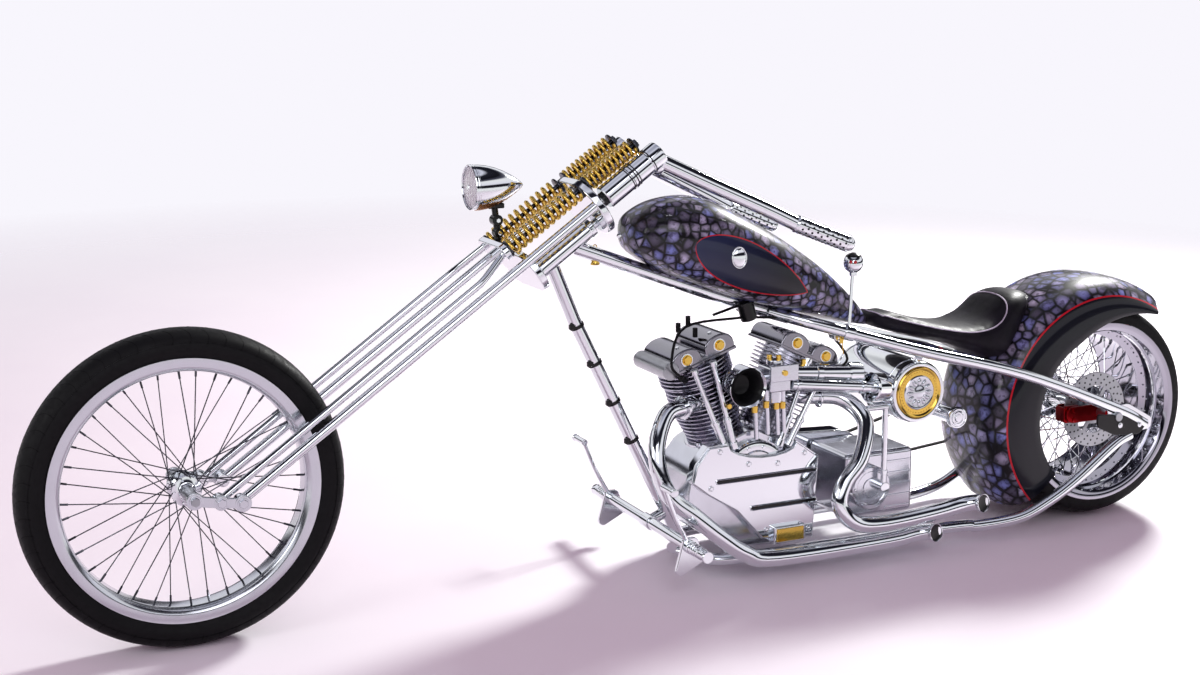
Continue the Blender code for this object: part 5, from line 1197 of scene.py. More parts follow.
@dataclass
class RearWheel(Wheel):
    """Wide deep-dish rear wheel with its disc and belt pulley."""

    name: str = "rear"
    body: Body = Body.REAR_WHEEL
    centre: Vector = field(default_factory=lambda: Vector((0, 0, REAR_RADIUS)))
    radius: float = 0.3315
    width: float = 0.300
    rim_radius: float = 0.2727
    rim_width: float = 0.314
    bead: float = 0.254
    well: float = 0.222
    well_width: float = 0.110
    spokes: int = 40
    disc_place: float = 0.118
    belt_place: float = 0.183

    def hub(self) -> Shape:
        """The wide hub with its spoke flanges."""
        profile = [
            (-0.190, 0.0140), (-0.190, 0.030), (-0.100, 0.030), (-0.094, 0.066), (-0.091, 0.068),
            (-0.088, 0.066),
            (-0.082, 0.040), (-0.060, 0.030), (0.060, 0.030), (0.082, 0.040), (0.088, 0.066),
            (0.091, 0.068),
            (0.094, 0.066), (0.100, 0.034), (0.135, 0.030), (0.135, 0.0140),
        ]
        return lathe(profile, self.centre, ACROSS, 48, ring=True)

    def rivets(self) -> Shape:
        """Small domed rivets in two rings round the dish."""
        rings = []
        for place, radius, count in ((0.128, self.bead - 5 * MM, 40), (0.083, self.well + 13 * MM, 40)):
            start = self.centre + Vector((radius, place, 0))
            rings.append(copies_round(ball(start, 3.0 * MM, 8), self.centre, ACROSS, count))
        return gathered(*rings)

    def step(self) -> Shape:
        """The bright raised ring half way into the dish, and the lip's rolled edge."""
        dish = [
            (0.098, self.bead - 9 * MM), (0.101, self.bead - 12 * MM), (0.106, self.bead - 12 * MM),
            (0.109, self.bead - 9 * MM), (0.109, self.bead - 4 * MM), (0.098, self.bead - 4 * MM),
        ]
        return lathe(dish, self.centre, ACROSS, self.steps, ring=True)

    def disc(self) -> Shape:
        """The brake disc on its carrier arms."""
        low, high = self.disc_place - 2.5 * MM, self.disc_place + 2.5 * MM
        ring = [
            (low, 0.074), (low, 0.114), (low + 1 * MM, 0.115), (high - 1 * MM, 0.115), (high, 0.114),
            (high, 0.074),
        ]
        boss = [(low, 0.0306), (low, 0.044), (high, 0.044), (high, 0.0306)]
        arm = soft_block(
            (0.040, low + 0.5 * MM, REAR_RADIUS - 6 * MM), (0.078, high - 0.5 * MM, REAR_RADIUS + 6 * MM),
            1 * MM,
        )
        return gathered(
            lathe(ring, self.centre, ACROSS, 96, ring=True),
            lathe(boss, self.centre, ACROSS, 48, ring=True),
            copies_round(arm, self.centre, ACROSS, 6),
        )

    def slots(self) -> Shape:
        """Dark plugs in the disc's drilled holes: painted shade for the holes."""
        holes = []
        for row, (radius, count) in enumerate(((0.083, 24), (0.095, 24), (0.107, 24))):
            turn = TURN * row / count / 3
            start = self.centre + Vector(
                (radius * math.cos(turn), self.disc_place - 2.7 * MM, radius * math.sin(turn))
            )
            holes.append(
                copies_round(
                    rod(start, start + ACROSS * 5.4 * MM, 3.2 * MM, 10), self.centre, ACROSS, count
                )
            )
        return gathered(*holes)

    def pulley(self) -> Shape:
        """The toothed belt pulley with its round windows' ribs."""
        place, half = -self.belt_place, 7 * MM
        ring = [
            (place - half, 0.088), (place - half, 0.1035), (place + half, 0.1035), (place + half, 0.088),
            (place + 2 * MM, 0.086), (place - 2 * MM, 0.086),
        ]
        boss = [
            (place - half, 0.0306), (place - half, 0.046), (place + half, 0.046), (place + half, 0.0306)
        ]
        arm = soft_block(
            (0.042, place - 4 * MM, REAR_RADIUS - 8 * MM), (0.090, place + 4 * MM, REAR_RADIUS + 8 * MM),
            2 * MM,
        )
        return gathered(
            lathe(ring, self.centre, ACROSS, 96, ring=True),
            lathe(boss, self.centre, ACROSS, 48, ring=True),
            copies_round(arm, self.centre, ACROSS, 5),
        )

    def build(self, shop: Workshop) -> None:
        """Builds and mounts the wheel.

        Args:
            shop: The workshop.
        """
        shop.mount(self.tyre(), "rear_tyre_rubber", PaintShop.TYRE, self.body, "rear_tyre", crease=50)
        shop.mount(
            self.tread(48, 0.78, 1.1 * MM), "rear_tyre_grooves", PaintShop.GROOVE_SHADE, self.body, crease=60
        )
        # The rear rim's darker chrome is painted shade for its deep dish.
        shop.mount(self.rim(), "rear_rim_plated", PaintShop.SHADED_RIM_CHROME, self.body, "rear_rim", crease=30)
        shop.mount(self.step(), "rear_rim_step", PaintShop.CHROME, self.body, crease=30)
        shop.mount(self.rivets(), "rear_rim_rivets", PaintShop.CHROME, self.body, crease=60)
        shop.mount(self.hub(), "rear_hub", PaintShop.CHROME, self.body, "rear_hub_and_spokes", crease=30)
        lacing = self.lacing(self.spokes, 0.062, (0.091, -0.091), 1.9 * MM, 0.55)
        shop.mount(lacing, "rear_spokes", PaintShop.CHROME, self.body, crease=40)
        shop.mount(self.disc(), "brake_disc_ground", PaintShop.STEEL, self.body, "brake_disc", crease=30)
        # The dark plugs in the disc holes are painted shade.
        shop.mount(self.slots(), "brake_disc_holes", PaintShop.BLACK, self.body, slot=Slot.STEEL, crease=30)
        shop.mount(self.pulley(), "belt_pulley_cast", PaintShop.BLACK, self.body, "belt_pulley", crease=30)


# Fork, bars and lamp


@dataclass
class SpringerFork:
    """Outside-spring leading-link fork."""

    leg_radius: float = 0.0127
    leg_spread: float = 0.105
    leg_lead: float = 0.076
    leg_foot: float = 0.083
    spring_leg_radius: float = 0.0100
    spring_leg_lead: float = 0.112
    spring_leg_foot: float = 0.045
    spring_leg_bend: float = 0.885
    spring_spread: float = 0.067
    spring_lead: float = 0.123
    spring_radius: float = 0.0205
    eye_radius: float = 0.017
    lower: tuple[float, float] = (0.9983, 1.2327)
    upper: tuple[float, float] = (1.2653, 1.425)
    wires: tuple[float, float] = (0.0056, 0.0048)
    turns: tuple[int, int] = (12, 10)

    def coil(self, side: float) -> Shape:
        """The two coil springs of one column.

        Args:
            side: The column's place across.

        Returns:
            The shape.
        """
        springs = []
        for (low, high), turns, wire in zip((self.lower, self.upper), self.turns, self.wires):
            low, high = low + wire / 2, high - wire / 2
            route = []
            for k in range(turns * 24 + 1):
                angle = TURN * k / 24
                place = low + (high - low) * k / (turns * 24)
                swing = self.spring_radius
                route.append(
                    along_fork(
                        place, side + swing * math.cos(angle), self.spring_lead + swing * math.sin(angle)
                    )
                )
            springs.append(piping([route], wire, 12))
        return gathered(*springs)

    def column(self, side: float) -> Shape:
        """The rod, cups and nut of one spring column.

        Args:
            side: The column's place across.

        Returns:
            The shape.
        """
        def at(place: float) -> Vector:
            """A point on the column's middle."""
            return along_fork(place, side, self.spring_lead)

        low, high = self.lower[0] - 5 * MM, self.upper[1]
        parts = [rod(at(low), at(high + 16 * MM), 6 * MM, 20)]
        for foot in (low, self.lower[1], self.upper[0] - 5 * MM, high):
            parts.append(rod(at(foot), at(foot + 5 * MM), 0.0238, 36, 1.5 * MM))
        parts.append(hexagon(at(high + 5 * MM), at(1) - at(0), 12.5 * MM, 10 * MM))
        return gathered(*parts)

    def rigid(self) -> Shape:
        """The rear legs, their sleeves, eyes, crown and stem."""
        up = along_fork(1) - along_fork(0)
        parts = [
            fork_plate(1.004, 0.020, 0.122, -0.025, 0.092, 3 * MM),
            rod(along_fork(1.010), along_fork(1.2725), 0.0125, 28),
            hexagon(along_fork(1.262), up, 0.019, 12 * MM),
        ]
        sleeve = [
            (0, 0), (0, 0.029), (3 * MM, 0.032), (0.084, 0.032), (0.085, 0.0345), (0.090, 0.0345),
            (0.091, 0.032),
            (0.149, 0.032), (0.150, 0.0348), (0.1525, 0.035), (0.1535, 0.0335), (0.1550, 0.0335),
            (0.156, 0.035),
            (0.188, 0.035), (0.192, 0.0335), (0.194, 0.030), (0.194, 0),
        ]
        for side in (self.leg_spread, -self.leg_spread):
            foot = along_fork(self.leg_foot, side, self.leg_lead)
            parts.append(rod(foot, along_fork(1.421, side, self.leg_lead), self.leg_radius, 28))
            parts.append(rod(foot - ACROSS * 15 * MM, foot + ACROSS * 15 * MM, self.eye_radius, 32, 2 * MM))
            parts.append(lathe(sleeve, along_fork(1.272, side, self.leg_lead), up, 48))
        return gathered(*parts)

    def rings(self) -> Shape:
        """Black seal rings in the sleeves' grooves and round the rear legs."""
        up = along_fork(1) - along_fork(0)
        parts = []
        for side in (self.leg_spread, -self.leg_spread):
            for place, radius in ((1.352, 0.0322), (1.3665, 0.0322), (1.3740, 0.0322), (1.4262, 0.0338)):
                parts.append(hoop(along_fork(place, side, self.leg_lead), up, radius, 1.6 * MM))
            parts.append(
                rod(
                    along_fork(1.262, side, self.leg_lead), along_fork(1.272, side, self.leg_lead), 0.019,
                    32, 1 * MM,
                )
            )
        return gathered(*parts)

    def sprung(self) -> Shape:
        """The front legs, which bend in to the spring perch, with their eyes."""
        parts = [fork_plate(0.975, 0.018, 0.0905, 0.0995, 0.1465, 3 * MM)]
        for sign in (1, -1):
            side = self.leg_spread * sign
            foot = along_fork(self.spring_leg_foot, side, self.spring_leg_lead)
            low = along_fork(self.spring_leg_bend - 0.030, side, self.spring_leg_lead)
            bend = along_fork(self.spring_leg_bend, side, self.spring_leg_lead)
            top = along_fork(0.984, self.spring_spread * sign, self.spring_lead)
            route = [foot, low, low.lerp(bend, 0.7), bend.lerp(top, 0.14), bend.lerp(top, 0.4), top]
            parts.append(piping([route], self.spring_leg_radius, 20))
            parts.append(rod(foot - ACROSS * 15 * MM, foot + ACROSS * 15 * MM, self.eye_radius, 32, 2 * MM))
        return gathered(*parts)

    def clamp(self) -> Shape:
        """The top clamp, with its two pinch nuts."""
        shape = fork_plate(1.238, 0.022, 0.122, -0.025, 0.141, 4 * MM)
        for side in (self.leg_spread, -self.leg_spread):
            shape = gathered(
                shape,
                hexagon(
                    along_fork(1.249, side, -0.0255), along_fork(0) - along_fork(0, 0, 1), 7 * MM, 7 * MM
                ),
            )
        return shape

    def rocker(self, sign: int) -> Shape:
        """One leading link with its three bolt heads.

        Args:
            sign: 1 for the left side and -1 for the right one.

        Returns:
            The shape.
        """
        spots = (
            along_fork(0, 0, 0.158), along_fork(0.045, 0, 0.112),
            along_fork(self.leg_foot, 0, self.leg_lead),
        )
        low = 0.1203
        high = low + 12 * MM
        parts = []
        for spot, radius in zip(spots, (0.021, 0.0185, 0.021)):
            parts.append(rod(spot + ACROSS * low, spot + ACROSS * high, radius, 40, 2 * MM))
            parts.append(hexagon(spot + ACROSS * high, ACROSS, 0.0120, 6 * MM))
            parts.append(
                rod(spot + ACROSS * (high - 1 * MM), spot + ACROSS * (high + 2 * MM), 0.0145, 32, 0.6 * MM)
            )
        for first, second in zip(spots, spots[1:]):
            along = (second - first).normalized()
            beside = Vector((-along.z, 0, along.x)) * 0.0125
            outline = [
                (p.x, p.z) for p in (first + beside, second + beside, second - beside, first - beside)
            ]
            parts.append(slab(outline, low + 0.6 * MM, high - 0.6 * MM, 1.5 * MM))
        shape = gathered(*parts)
        return flipped(shape) if sign < 0 else shape

    def axle(self) -> Shape:
        """The axle with its spacers."""
        profile = [
            (-0.1420, 0), (-0.1420, 0.010), (-0.1190, 0.010), (-0.1190, 0.017), (-0.0470, 0.017),
            (-0.0460, 0.010),
        ]
        profile += [(-place, radius) for place, radius in reversed(profile)]
        return lathe(profile, (WHEELBASE, 0, FRONT_RADIUS), ACROSS, 32)

    def build(self, shop: Workshop) -> None:
        """Builds and mounts the fork.

        Args:
            shop: The workshop.
        """
        body = Body.FORK
        shop.mount(self.rigid(), "rigid_fork_plated", PaintShop.CHROME, body, "rigid_fork")
        shop.mount(self.rings(), "fork_seal_rings", PaintShop.BLACK, body, crease=40)
        shop.mount(self.sprung(), "spring_fork_plated", PaintShop.CHROME, body, "spring_fork")
        shop.mount(self.clamp(), "top_clamp_plated", PaintShop.CHROME, body, "top_clamp")
        shop.mount(self.axle(), "front_axle_turned", PaintShop.STEEL, body, "front_axle")
        for name, sign in (("left", 1), ("right", -1)):
            shop.mount(
                self.rocker(sign), f"rocker_{name}_plated", PaintShop.SATIN_CHROME, body, f"rocker_{name}"
            )
            side = self.spring_spread * sign
            shop.mount(
                self.coil(side), f"springs_{name}", PaintShop.GOLD, body, f"spring_column_{name}", crease=60
            )
            # The rod and cups inside the spring are dark steel: painted shade for the coil's dark inside.
            shop.mount(self.column(side), f"spring_rod_{name}", PaintShop.DARK_STEEL, body, crease=40)


@dataclass
class BarsAndLamp:
    """Drag bars and the bullet headlight."""

    bar_radius: float = 0.0205
    lamp_radius: float = 0.0585
    lamp_length: float = 0.150

    def bar(self) -> Shape:
        """The left bar, from its sleeve to the grip."""
        start, bend = along_fork(1.440, 0.105, 0.076), along_fork(1.602, 0.170, -0.207)
        grip = along_fork(1.650, 0.188, -0.296)
        elbow = start.lerp(bend, 0.08) + Vector((0, 0, 2 * MM))
        knob = ball(along_fork(1.440, 0.105, 0.052), 0.0235)
        return gathered(
            piping([[start, elbow, start.lerp(bend, 0.5), bend, grip]], self.bar_radius, 28, ease=True),
            knob,
        )

    def grip(self) -> Shape:
        """The left grip's sleeve with its rolled ends."""
        start, end = along_fork(1.650, 0.188, -0.296), along_fork(1.741, 0.205, -0.436)
        length = (end - start).length
        profile = [
            (-4 * MM, 0), (-4 * MM, 0.0215), (0, 0.0240), (3 * MM, 0.0240), (4 * MM, 0.0232),
            (length - 12 * MM, 0.0232),
            (length - 11 * MM, 0.0240), (length - 3 * MM, 0.0240), (length - 0.5 * MM, 0.0225),
            (length, 0.016), (length, 0),
        ]
        return gathered(lathe(profile, start, end - start, 40), ball(end, 0.0195, 28))

    def grip_holes(self) -> Shape:
        """The left grip's holes, as dark discs in staggered rings: painted shade for the holes."""
        start, end = along_fork(1.650, 0.188, -0.296), along_fork(1.741, 0.205, -0.436)
        axis = (end - start).normalized()
        side = axis.orthogonal().normalized()
        rings = []
        for k in range(10):
            turn = Matrix.Rotation(TURN / 20 * (k % 2), 3, axis)
            place = start + (end - start) * (0.09 + 0.80 * k / 9)
            hole = rod(place + turn @ side * 0.0215, place + turn @ side * 0.0236, 3.4 * MM, 12)
            rings.append(copies_round(hole, place, axis, 10))
        return gathered(*rings)

    def shell(self) -> Shape:
        """The headlight's pointed shell and its rolled bezel."""
        front = along_fork(1.0207, 0, 0.2942)
        outer = []
        for place, radius in (
            (0.03, 1.0), (0.16, 0.995), (0.30, 0.95), (0.45, 0.85), (0.60, 0.70), (0.74, 0.51),
            (0.86, 0.31), (0.95, 0.13), (1.0, 0.0),
        ):
            outer.append((self.lamp_length * place, self.lamp_radius * radius * 0.985))
        bezel = [
            (0.020, 0), (0.020, 0.0540), (0.004, 0.0540), (0.0005, 0.0555), (0, 0.0570), (0.0015, 0.0585),
            (0.0045, 0.0585),
            (0.0055, 0.0572), (0.0075, 0.0572), (0.0085, 0.0582), (0.0115, 0.0582), (0.0125, 0.0572),
        ]
        return lathe(bezel + outer[1:], front, (-1, 0, 0), 64)

    def strip(self) -> Shape:
        """A ribbed bronze strip along the shell's lower left side."""
        front = along_fork(1.0207, 0, 0.2942)
        ribs = []
        for k in range(26):
            place = 0.10 + 0.74 * k / 25
            radius = self.lamp_radius * (1 - max(0.0, (place - 0.14) / 0.86) ** 1.75) * 1.0
            spots = []
            for turn in (-0.36, -0.30, -0.24, -0.18):
                angle = TURN * (turn + 0.05)
                spots.append(
                    front + Vector(
                        (-self.lamp_length * place, radius * math.cos(angle), radius * math.sin(angle))
                    )
                )
            ribs.append(spots)
        return piping(ribs, 2.1 * MM, 8)

    def lens(self) -> Shape:
        """The domed lens."""
        front = along_fork(1.0207, 0, 0.2942)
        profile = [
            (0.0195, 0), (0.0195, 0.0535), (0.0050, 0.0535), (0.0020, 0.044), (-0.0010, 0.028), (-0.0024, 0)
        ]
        return lathe(profile, front, (-1, 0, 0), 64)

    def reflector(self) -> Shape:
        """The bulb's bright cap behind the lens."""
        front = along_fork(1.0207, 0, 0.2942)
        return lathe(
            [(-0.0040, 0), (-0.0036, 0.006), (-0.001, 0.009), (0.004, 0.010), (0.004, 0)],
            front,
            (-1, 0, 0),
            24,
        )

    def bracket(self) -> Shape:
        """The black two-piece lamp bracket."""
        front = along_fork(1.0207, 0, 0.2942)
        foot = along_fork(0.9933, 0, 0.123)
        seat = front - Vector((self.lamp_length * 0.45, 0, self.lamp_radius * 0.80))
        knee = foot + Vector((0, 0, 0.036))
        joint = knee.lerp(seat, 0.45)
        parts = [
            piping([[foot, foot.lerp(knee, 0.6), knee, joint]], 0.0095, 16, ease=True),
            piping([[joint, seat + Vector((0, 0, -2 * MM))]], 0.0085, 16),
            rod(joint - ACROSS * 14 * MM, joint + ACROSS * 14 * MM, 0.0145, 28, 1.5 * MM),
            rod(knee - ACROSS * 13 * MM, knee + ACROSS * 13 * MM, 0.0125, 28, 1.5 * MM),
            soft_block(seat - Vector((0.024, 0.013, 0.010)), seat + Vector((0.020, 0.013, 0.004)), 3 * MM),
        ]
        return gathered(*parts)

    def bolts(self) -> Shape:
        """Bright bolt heads on the bracket's joints."""
        front = along_fork(1.0207, 0, 0.2942)
        seat = front - Vector((self.lamp_length * 0.45, 0, self.lamp_radius * 0.80))
        knee = along_fork(0.9933, 0, 0.123) + Vector((0, 0, 0.036))
        joint = knee.lerp(seat, 0.45)
        parts = []
        for spot, reach in ((joint, 14 * MM), (knee, 13 * MM)):
            for side in (1, -1):
                parts.append(hexagon(spot + ACROSS * side * reach, ACROSS * side, 6 * MM, 5 * MM))
        return gathered(*parts)

    def build(self, shop: Workshop) -> None:
        """Builds and mounts the bars and the lamp.

        Args:
            shop: The workshop.
        """
        body = Body.FORK
        for name, sign in (("left", 1), ("right", -1)):
            bar, grip = (self.bar(), self.grip()) if sign > 0 else (
                flipped(self.bar()), flipped(self.grip())
            )
            shop.mount(bar, f"handlebar_{name}_plated", PaintShop.CHROME, body, f"handlebar_{name}")
            shop.mount(grip, f"grip_{name}", PaintShop.CHROME, body)
            holes = self.grip_holes() if sign > 0 else flipped(self.grip_holes())
            shop.mount(holes, f"grip_holes_{name}", PaintShop.HOLE_SHADE, body)
        shop.mount(self.shell(), "headlight_plated", PaintShop.CHROME, body, "headlight_shell", crease=30)
        shop.mount(self.strip(), "headlight_strip", PaintShop.BRONZE, body, crease=50)
        shop.mount(self.lens(), "headlight_glass", PaintShop.GLASS, body, "headlight_lens", crease=30)
        shop.mount(self.reflector(), "headlight_bulb_cap", PaintShop.CHROME, body, crease=30)
        shop.mount(self.bracket(), "headlight_bracket_black", PaintShop.BLACK, body, "headlight_bracket")
        shop.mount(self.bolts(), "headlight_bolts", PaintShop.CHROME, body, crease=30)


# Frame

BACKBONE = ((1.0, 0, 1.0), (0.767, 0, 0.840), (0.600, 0, 0.733))
DOWNTUBE = ((1.03, 0, 0.955), (0.992, 0, 0.784), (0.800, 0, 0.070))
RAIL = (
    (0.812, 0.08, 0.052), (0.785, 0.30, 0.052), (0.740, 0.66, 0.052), (0.338, 0.77, 0.052),
    (0.274, 0.82, 0.046),
    (0.196, 0.92, 0.060), (0.140, 0.97, 0.102), (0.083, 1, 0.162), (0, 1, 0.264), (-0.034, 1, 0.290),
)
STAY = (
    (0.640, 0.06, 0.758), (0.575, 0.42, 0.722), (0.405, 0.74, 0.629), (0.205, 0.95, 0.529), (0, 1, 0.381),
    (-0.066, 1, 0.318),
)
AXLE_PLATE = ((0.30, 0.25), (0.25, -0.25), (-0.25, -0.48), (-1.1, -0.42), (-1.15, -0.15), (-0.35, 0.30))


def stay_point(x: float) -> Vector:
    """The left stay's middle where it is this far forward."""
    route = eased(frame_route(STAY), 6)
    for ahead, behind in zip(route, route[1:]):
        if ahead.x >= x >= behind.x:
            return behind.lerp(ahead, (x - behind.x) / (ahead.x - behind.x))
    return route[0]


def rounded(
    outline: Sequence[tuple[float, float]], radius: float, steps: int = 5
) -> list[tuple[float, float]]:
    """An outline with its corners rounded.

    Args:
        outline: The corners in order.
        radius: How far from each corner the round starts.
        steps: Steps of each round.

    Returns:
        The new corners.
    """
    points = [Vector(p) for p in outline]
    made = []
    for k, corner in enumerate(points):
        before, after = points[k - 1] - corner, points[(k + 1) % len(points)] - corner
        start = corner + before.normalized() * min(radius, before.length * 0.45)
        stop = corner + after.normalized() * min(radius, after.length * 0.45)
        for step in range(steps + 1):
            t = step / steps
            made.append(tuple(start * (1 - t) ** 2 + corner * (2 * t * (1 - t)) + stop * t**2))
    return made


def stadium(
    first: tuple[float, float, float], second: tuple[float, float, float], steps: int = 24
) -> list[tuple[float, float]]:
    """The outline round two circles.

    Args:
        first: The front circle's x, z and radius.
        second: The rear circle's x, z and radius.
        steps: Steps round each end.

    Returns:
        The outline's corners.
    """
    run = Vector((first[0] - second[0], first[1] - second[1]))
    heading = math.atan2(run.y, run.x)
    swing = math.acos((first[2] - second[2]) / run.length)
    corners = []
    for (x, z, radius), start, stop in ((first, -swing, swing), (second, swing, TURN - swing)):
        for k in range(steps + 1):
            angle = heading + start + (stop - start) * k / steps
            corners.append((x + radius * math.cos(angle), z + radius * math.sin(angle)))
    return corners


def band(outline: Sequence[tuple[float, float]], thickness: float, low: float, high: float) -> Shape:
    """A flat belt along an outline of the side view.

    Args:
        outline: Its outer corners.
        thickness: Its thickness.
        low: The place across of one side.
        high: The place across of the other side.

    Returns:
        The shape.
    """
    bm = bmesh.new()
    verts = [bm.verts.new((x, low, z)) for x, z in outline]
    edges = [bm.edges.new(pair) for pair in zip(verts, verts[1:] + verts[:1])]
    grown = bmesh.ops.extrude_edge_only(bm, edges=edges)["geom"]
    bmesh.ops.translate(
        bm, vec=ACROSS * (high - low), verts=[v for v in grown if isinstance(v, bmesh.types.BMVert)]
    )
    bmesh.ops.recalc_face_normals(bm, faces=bm.faces)
    bmesh.ops.solidify(bm, geom=bm.faces[:], thickness=thickness)
    return bm


def both_sides(shape: Shape) -> Shape:
    """A shape of the left side with its like on the right."""
    return gathered(flipped(shape), shape)


@dataclass
class FrameTubes:
    """The rigid frame's plated tubes, its axle and the side stand."""

    backbone_radius: float = 0.020
    downtube_radius: float = 0.0185
    rail_radius: float = 0.017
    stay_radius: float = 0.0175
    plate_size: float = 0.120
    plate_side: float = 0.214

    def neck(self) -> Shape:
        """The steering head with its bearing cups."""
        profile = [
            (0, 0.0130), (0, 0.0265), (1.5 * MM, 0.0280), (0.014, 0.0280), (0.0155, 0.0262),
            (0.022, 0.0255),
            (0.178, 0.0255), (0.1845, 0.0262), (0.186, 0.0280), (0.1985, 0.0280), (0.200, 0.0265),
            (0.200, 0.0130),
        ]
        return lathe(profile, along_fork(1.030), along_fork(1) - along_fork(0), 48, ring=True)

    def plate(self) -> Shape:
        """The left axle plate."""
        outline = [(x * self.plate_size, REAR_RADIUS + z * self.plate_size) for x, z in AXLE_PLATE]
        return slab(rounded(outline, 0.012), self.plate_side - 6 * MM, self.plate_side + 6 * MM, 1.5 * MM)

    def axle(self) -> Shape:
        """The rear axle with its spacers and nuts."""
        profile = [
            (-0.232, 0), (-0.232, 0.0125), (-0.2075, 0.0125), (-0.2075, 0.020), (-0.1910, 0.020),
            (-0.1905, 0.0125),
            (0.1358, 0.0125), (0.1362, 0.020), (0.2075, 0.020), (0.2075, 0.0125), (0.232, 0.0125),
            (0.232, 0),
        ]
        return lathe(profile, (0, 0, REAR_RADIUS), ACROSS, 32)

    def block(self) -> Shape:
        """The black axle block of one side."""
        outline = [
            (0.078, 0.348), (0.078, 0.308), (0.010, 0.276), (-0.082, 0.270), (-0.112, 0.300),
            (-0.082, 0.330), (0.010, 0.338),
        ]
        return slab(
            rounded(outline, 0.012), self.plate_side + 6.2 * MM, self.plate_side + 15 * MM, 2.5 * MM
        )

    def dots(self) -> Shape:
        """The bright axle nut and adjuster screw on the block."""
        face = self.plate_side + 15 * MM
        parts = []
        for x, z, radius in ((-0.006, 0.306, 0.0085), (-0.080, 0.300, 0.0078)):
            parts.append(rod((x, face - 1 * MM, z), (x, face + 3 * MM, z), radius, 28, 1 * MM))
            parts.append(hexagon((x, face + 2.5 * MM, z), ACROSS, radius * 0.62, 4 * MM))
        return gathered(*parts)

    def clips(self) -> Shape:
        """Black clips down the front tube."""
        foot, top = Vector((1.521, 0, 0.383)), Vector((1.690, 0, 0.713))
        lower, upper = frame_route(DOWNTUBE)[2], frame_route(DOWNTUBE)[1]
        parts = []
        for share in (0.0, 0.34, 0.68, 1.0):
            height = foot.z + (top.z - foot.z) * share
            spot = lower.lerp(upper, (height - lower.z) / (upper.z - lower.z))
            along = (upper - lower).normalized()
            parts.append(
                rod(
                    spot - along * 5 * MM, spot + along * 5 * MM, self.downtube_radius + 2.2 * MM, 32,
                    1.2 * MM,
                )
            )
            parts.append(
                soft_block(
                    spot + Vector((0.010, 0.006, -0.007)), spot + Vector((0.027, 0.018, 0.007)), 2 * MM
                )
            )
        return gathered(*parts)

    def stand(self) -> Shape:
        """The side stand, down on the ground."""
        pivot = Vector((1.060, -0.212, 0.034))
        foot = Vector((1.170, -0.345, 0.345 * math.tan(LEAN)))
        up = Vector((0, math.sin(LEAN), math.cos(LEAN)))
        leg = foot - pivot
        axis = Vector((leg.x, -leg.y, leg.z)).cross(Vector((-1, 0, 0.1))).normalized()
        axis = Vector((axis.x, -axis.y, axis.z))
        knee = pivot.lerp(foot, 0.55) + Vector((0.006, 0, 0.006))
        sole = lathe(
            [(0, 0), (0, 0.0225), (1 * MM, 0.024), (5 * MM, 0.024), (8 * MM, 0.020), (8 * MM, 0)],
            foot,
            up,
            40,
        )
        return gathered(
            piping([[pivot, knee, foot + up * 9 * MM]], 0.0098, 16, ease=True), sole,
            rod(pivot - axis * 12 * MM, pivot + axis * 12 * MM, 0.018, 32, 1.5 * MM),
            rod(pivot, pivot + axis * 43 * MM, 0.0068, 20),
            ball(pivot.lerp(foot, 0.55) + Vector((0.006, 0, 0.006)), 0.0105),
        )

    def build(self, shop: Workshop) -> None:
        """Builds and mounts the frame.

        Args:
            shop: The workshop.
        """
        body, chrome = Body.FRAME, PaintShop.CHROME
        shop.mount(self.neck(), "neck_plated", chrome, body, "neck_tube")
        shop.mount(
            piping([frame_route(BACKBONE)], self.backbone_radius, 28, ease=True),
            "backbone_plated",
            chrome,
            body,
            "backbone",
            crease=38,
        )
        shop.mount(
            piping([frame_route(DOWNTUBE)], self.downtube_radius, 28),
            "downtube_plated",
            chrome,
            body,
            "downtube",
            crease=38,
        )
        for name, side in (("left", list), ("right", other_side)):
            rail = piping([side(frame_route(RAIL))], self.rail_radius, 24, ease=True)
            shop.mount(rail, f"lower_rail_{name}_plated", chrome, body, f"lower_rail_{name}", crease=38)
            plate = self.plate() if name == "left" else flipped(self.plate())
            stay = gathered(piping([side(frame_route(STAY))], self.stay_radius, 24, ease=True), plate)
            shop.mount(stay, f"seat_stay_{name}_plated", chrome, body, f"seat_stay_{name}", crease=38)
        shop.mount(self.axle(), "rear_axle_turned", PaintShop.STEEL, body, "rear_axle", crease=38)
        shop.mount(both_sides(self.block()), "axle_blocks", PaintShop.BLACK, body, crease=38)
        shop.mount(both_sides(self.dots()), "axle_nuts", chrome, body, crease=30)
        shop.mount(self.clips(), "downtube_clips", PaintShop.BLACK, body, crease=38)
        shop.mount(self.stand(), "side_stand_plated", chrome, Body.STAND, "side_stand", crease=38)


# Engine

CASE = (
    (0.92, 0.40), (0.98, 0.0), (0.75, -0.45), (0.30, -0.70), (-0.75, -0.70), (-0.95, -0.45), (-0.95, 0.40)
)
COVER = (
    (0.98, 0.55), (1.02, 0.30), (0.75, 0.12), (0.30, -0.12), (-0.15, -0.55), (-0.98, -0.58), (-0.98, 0.60),
    (-0.62, 0.82), (0.40, 0.86), (0.80, 0.80),
)


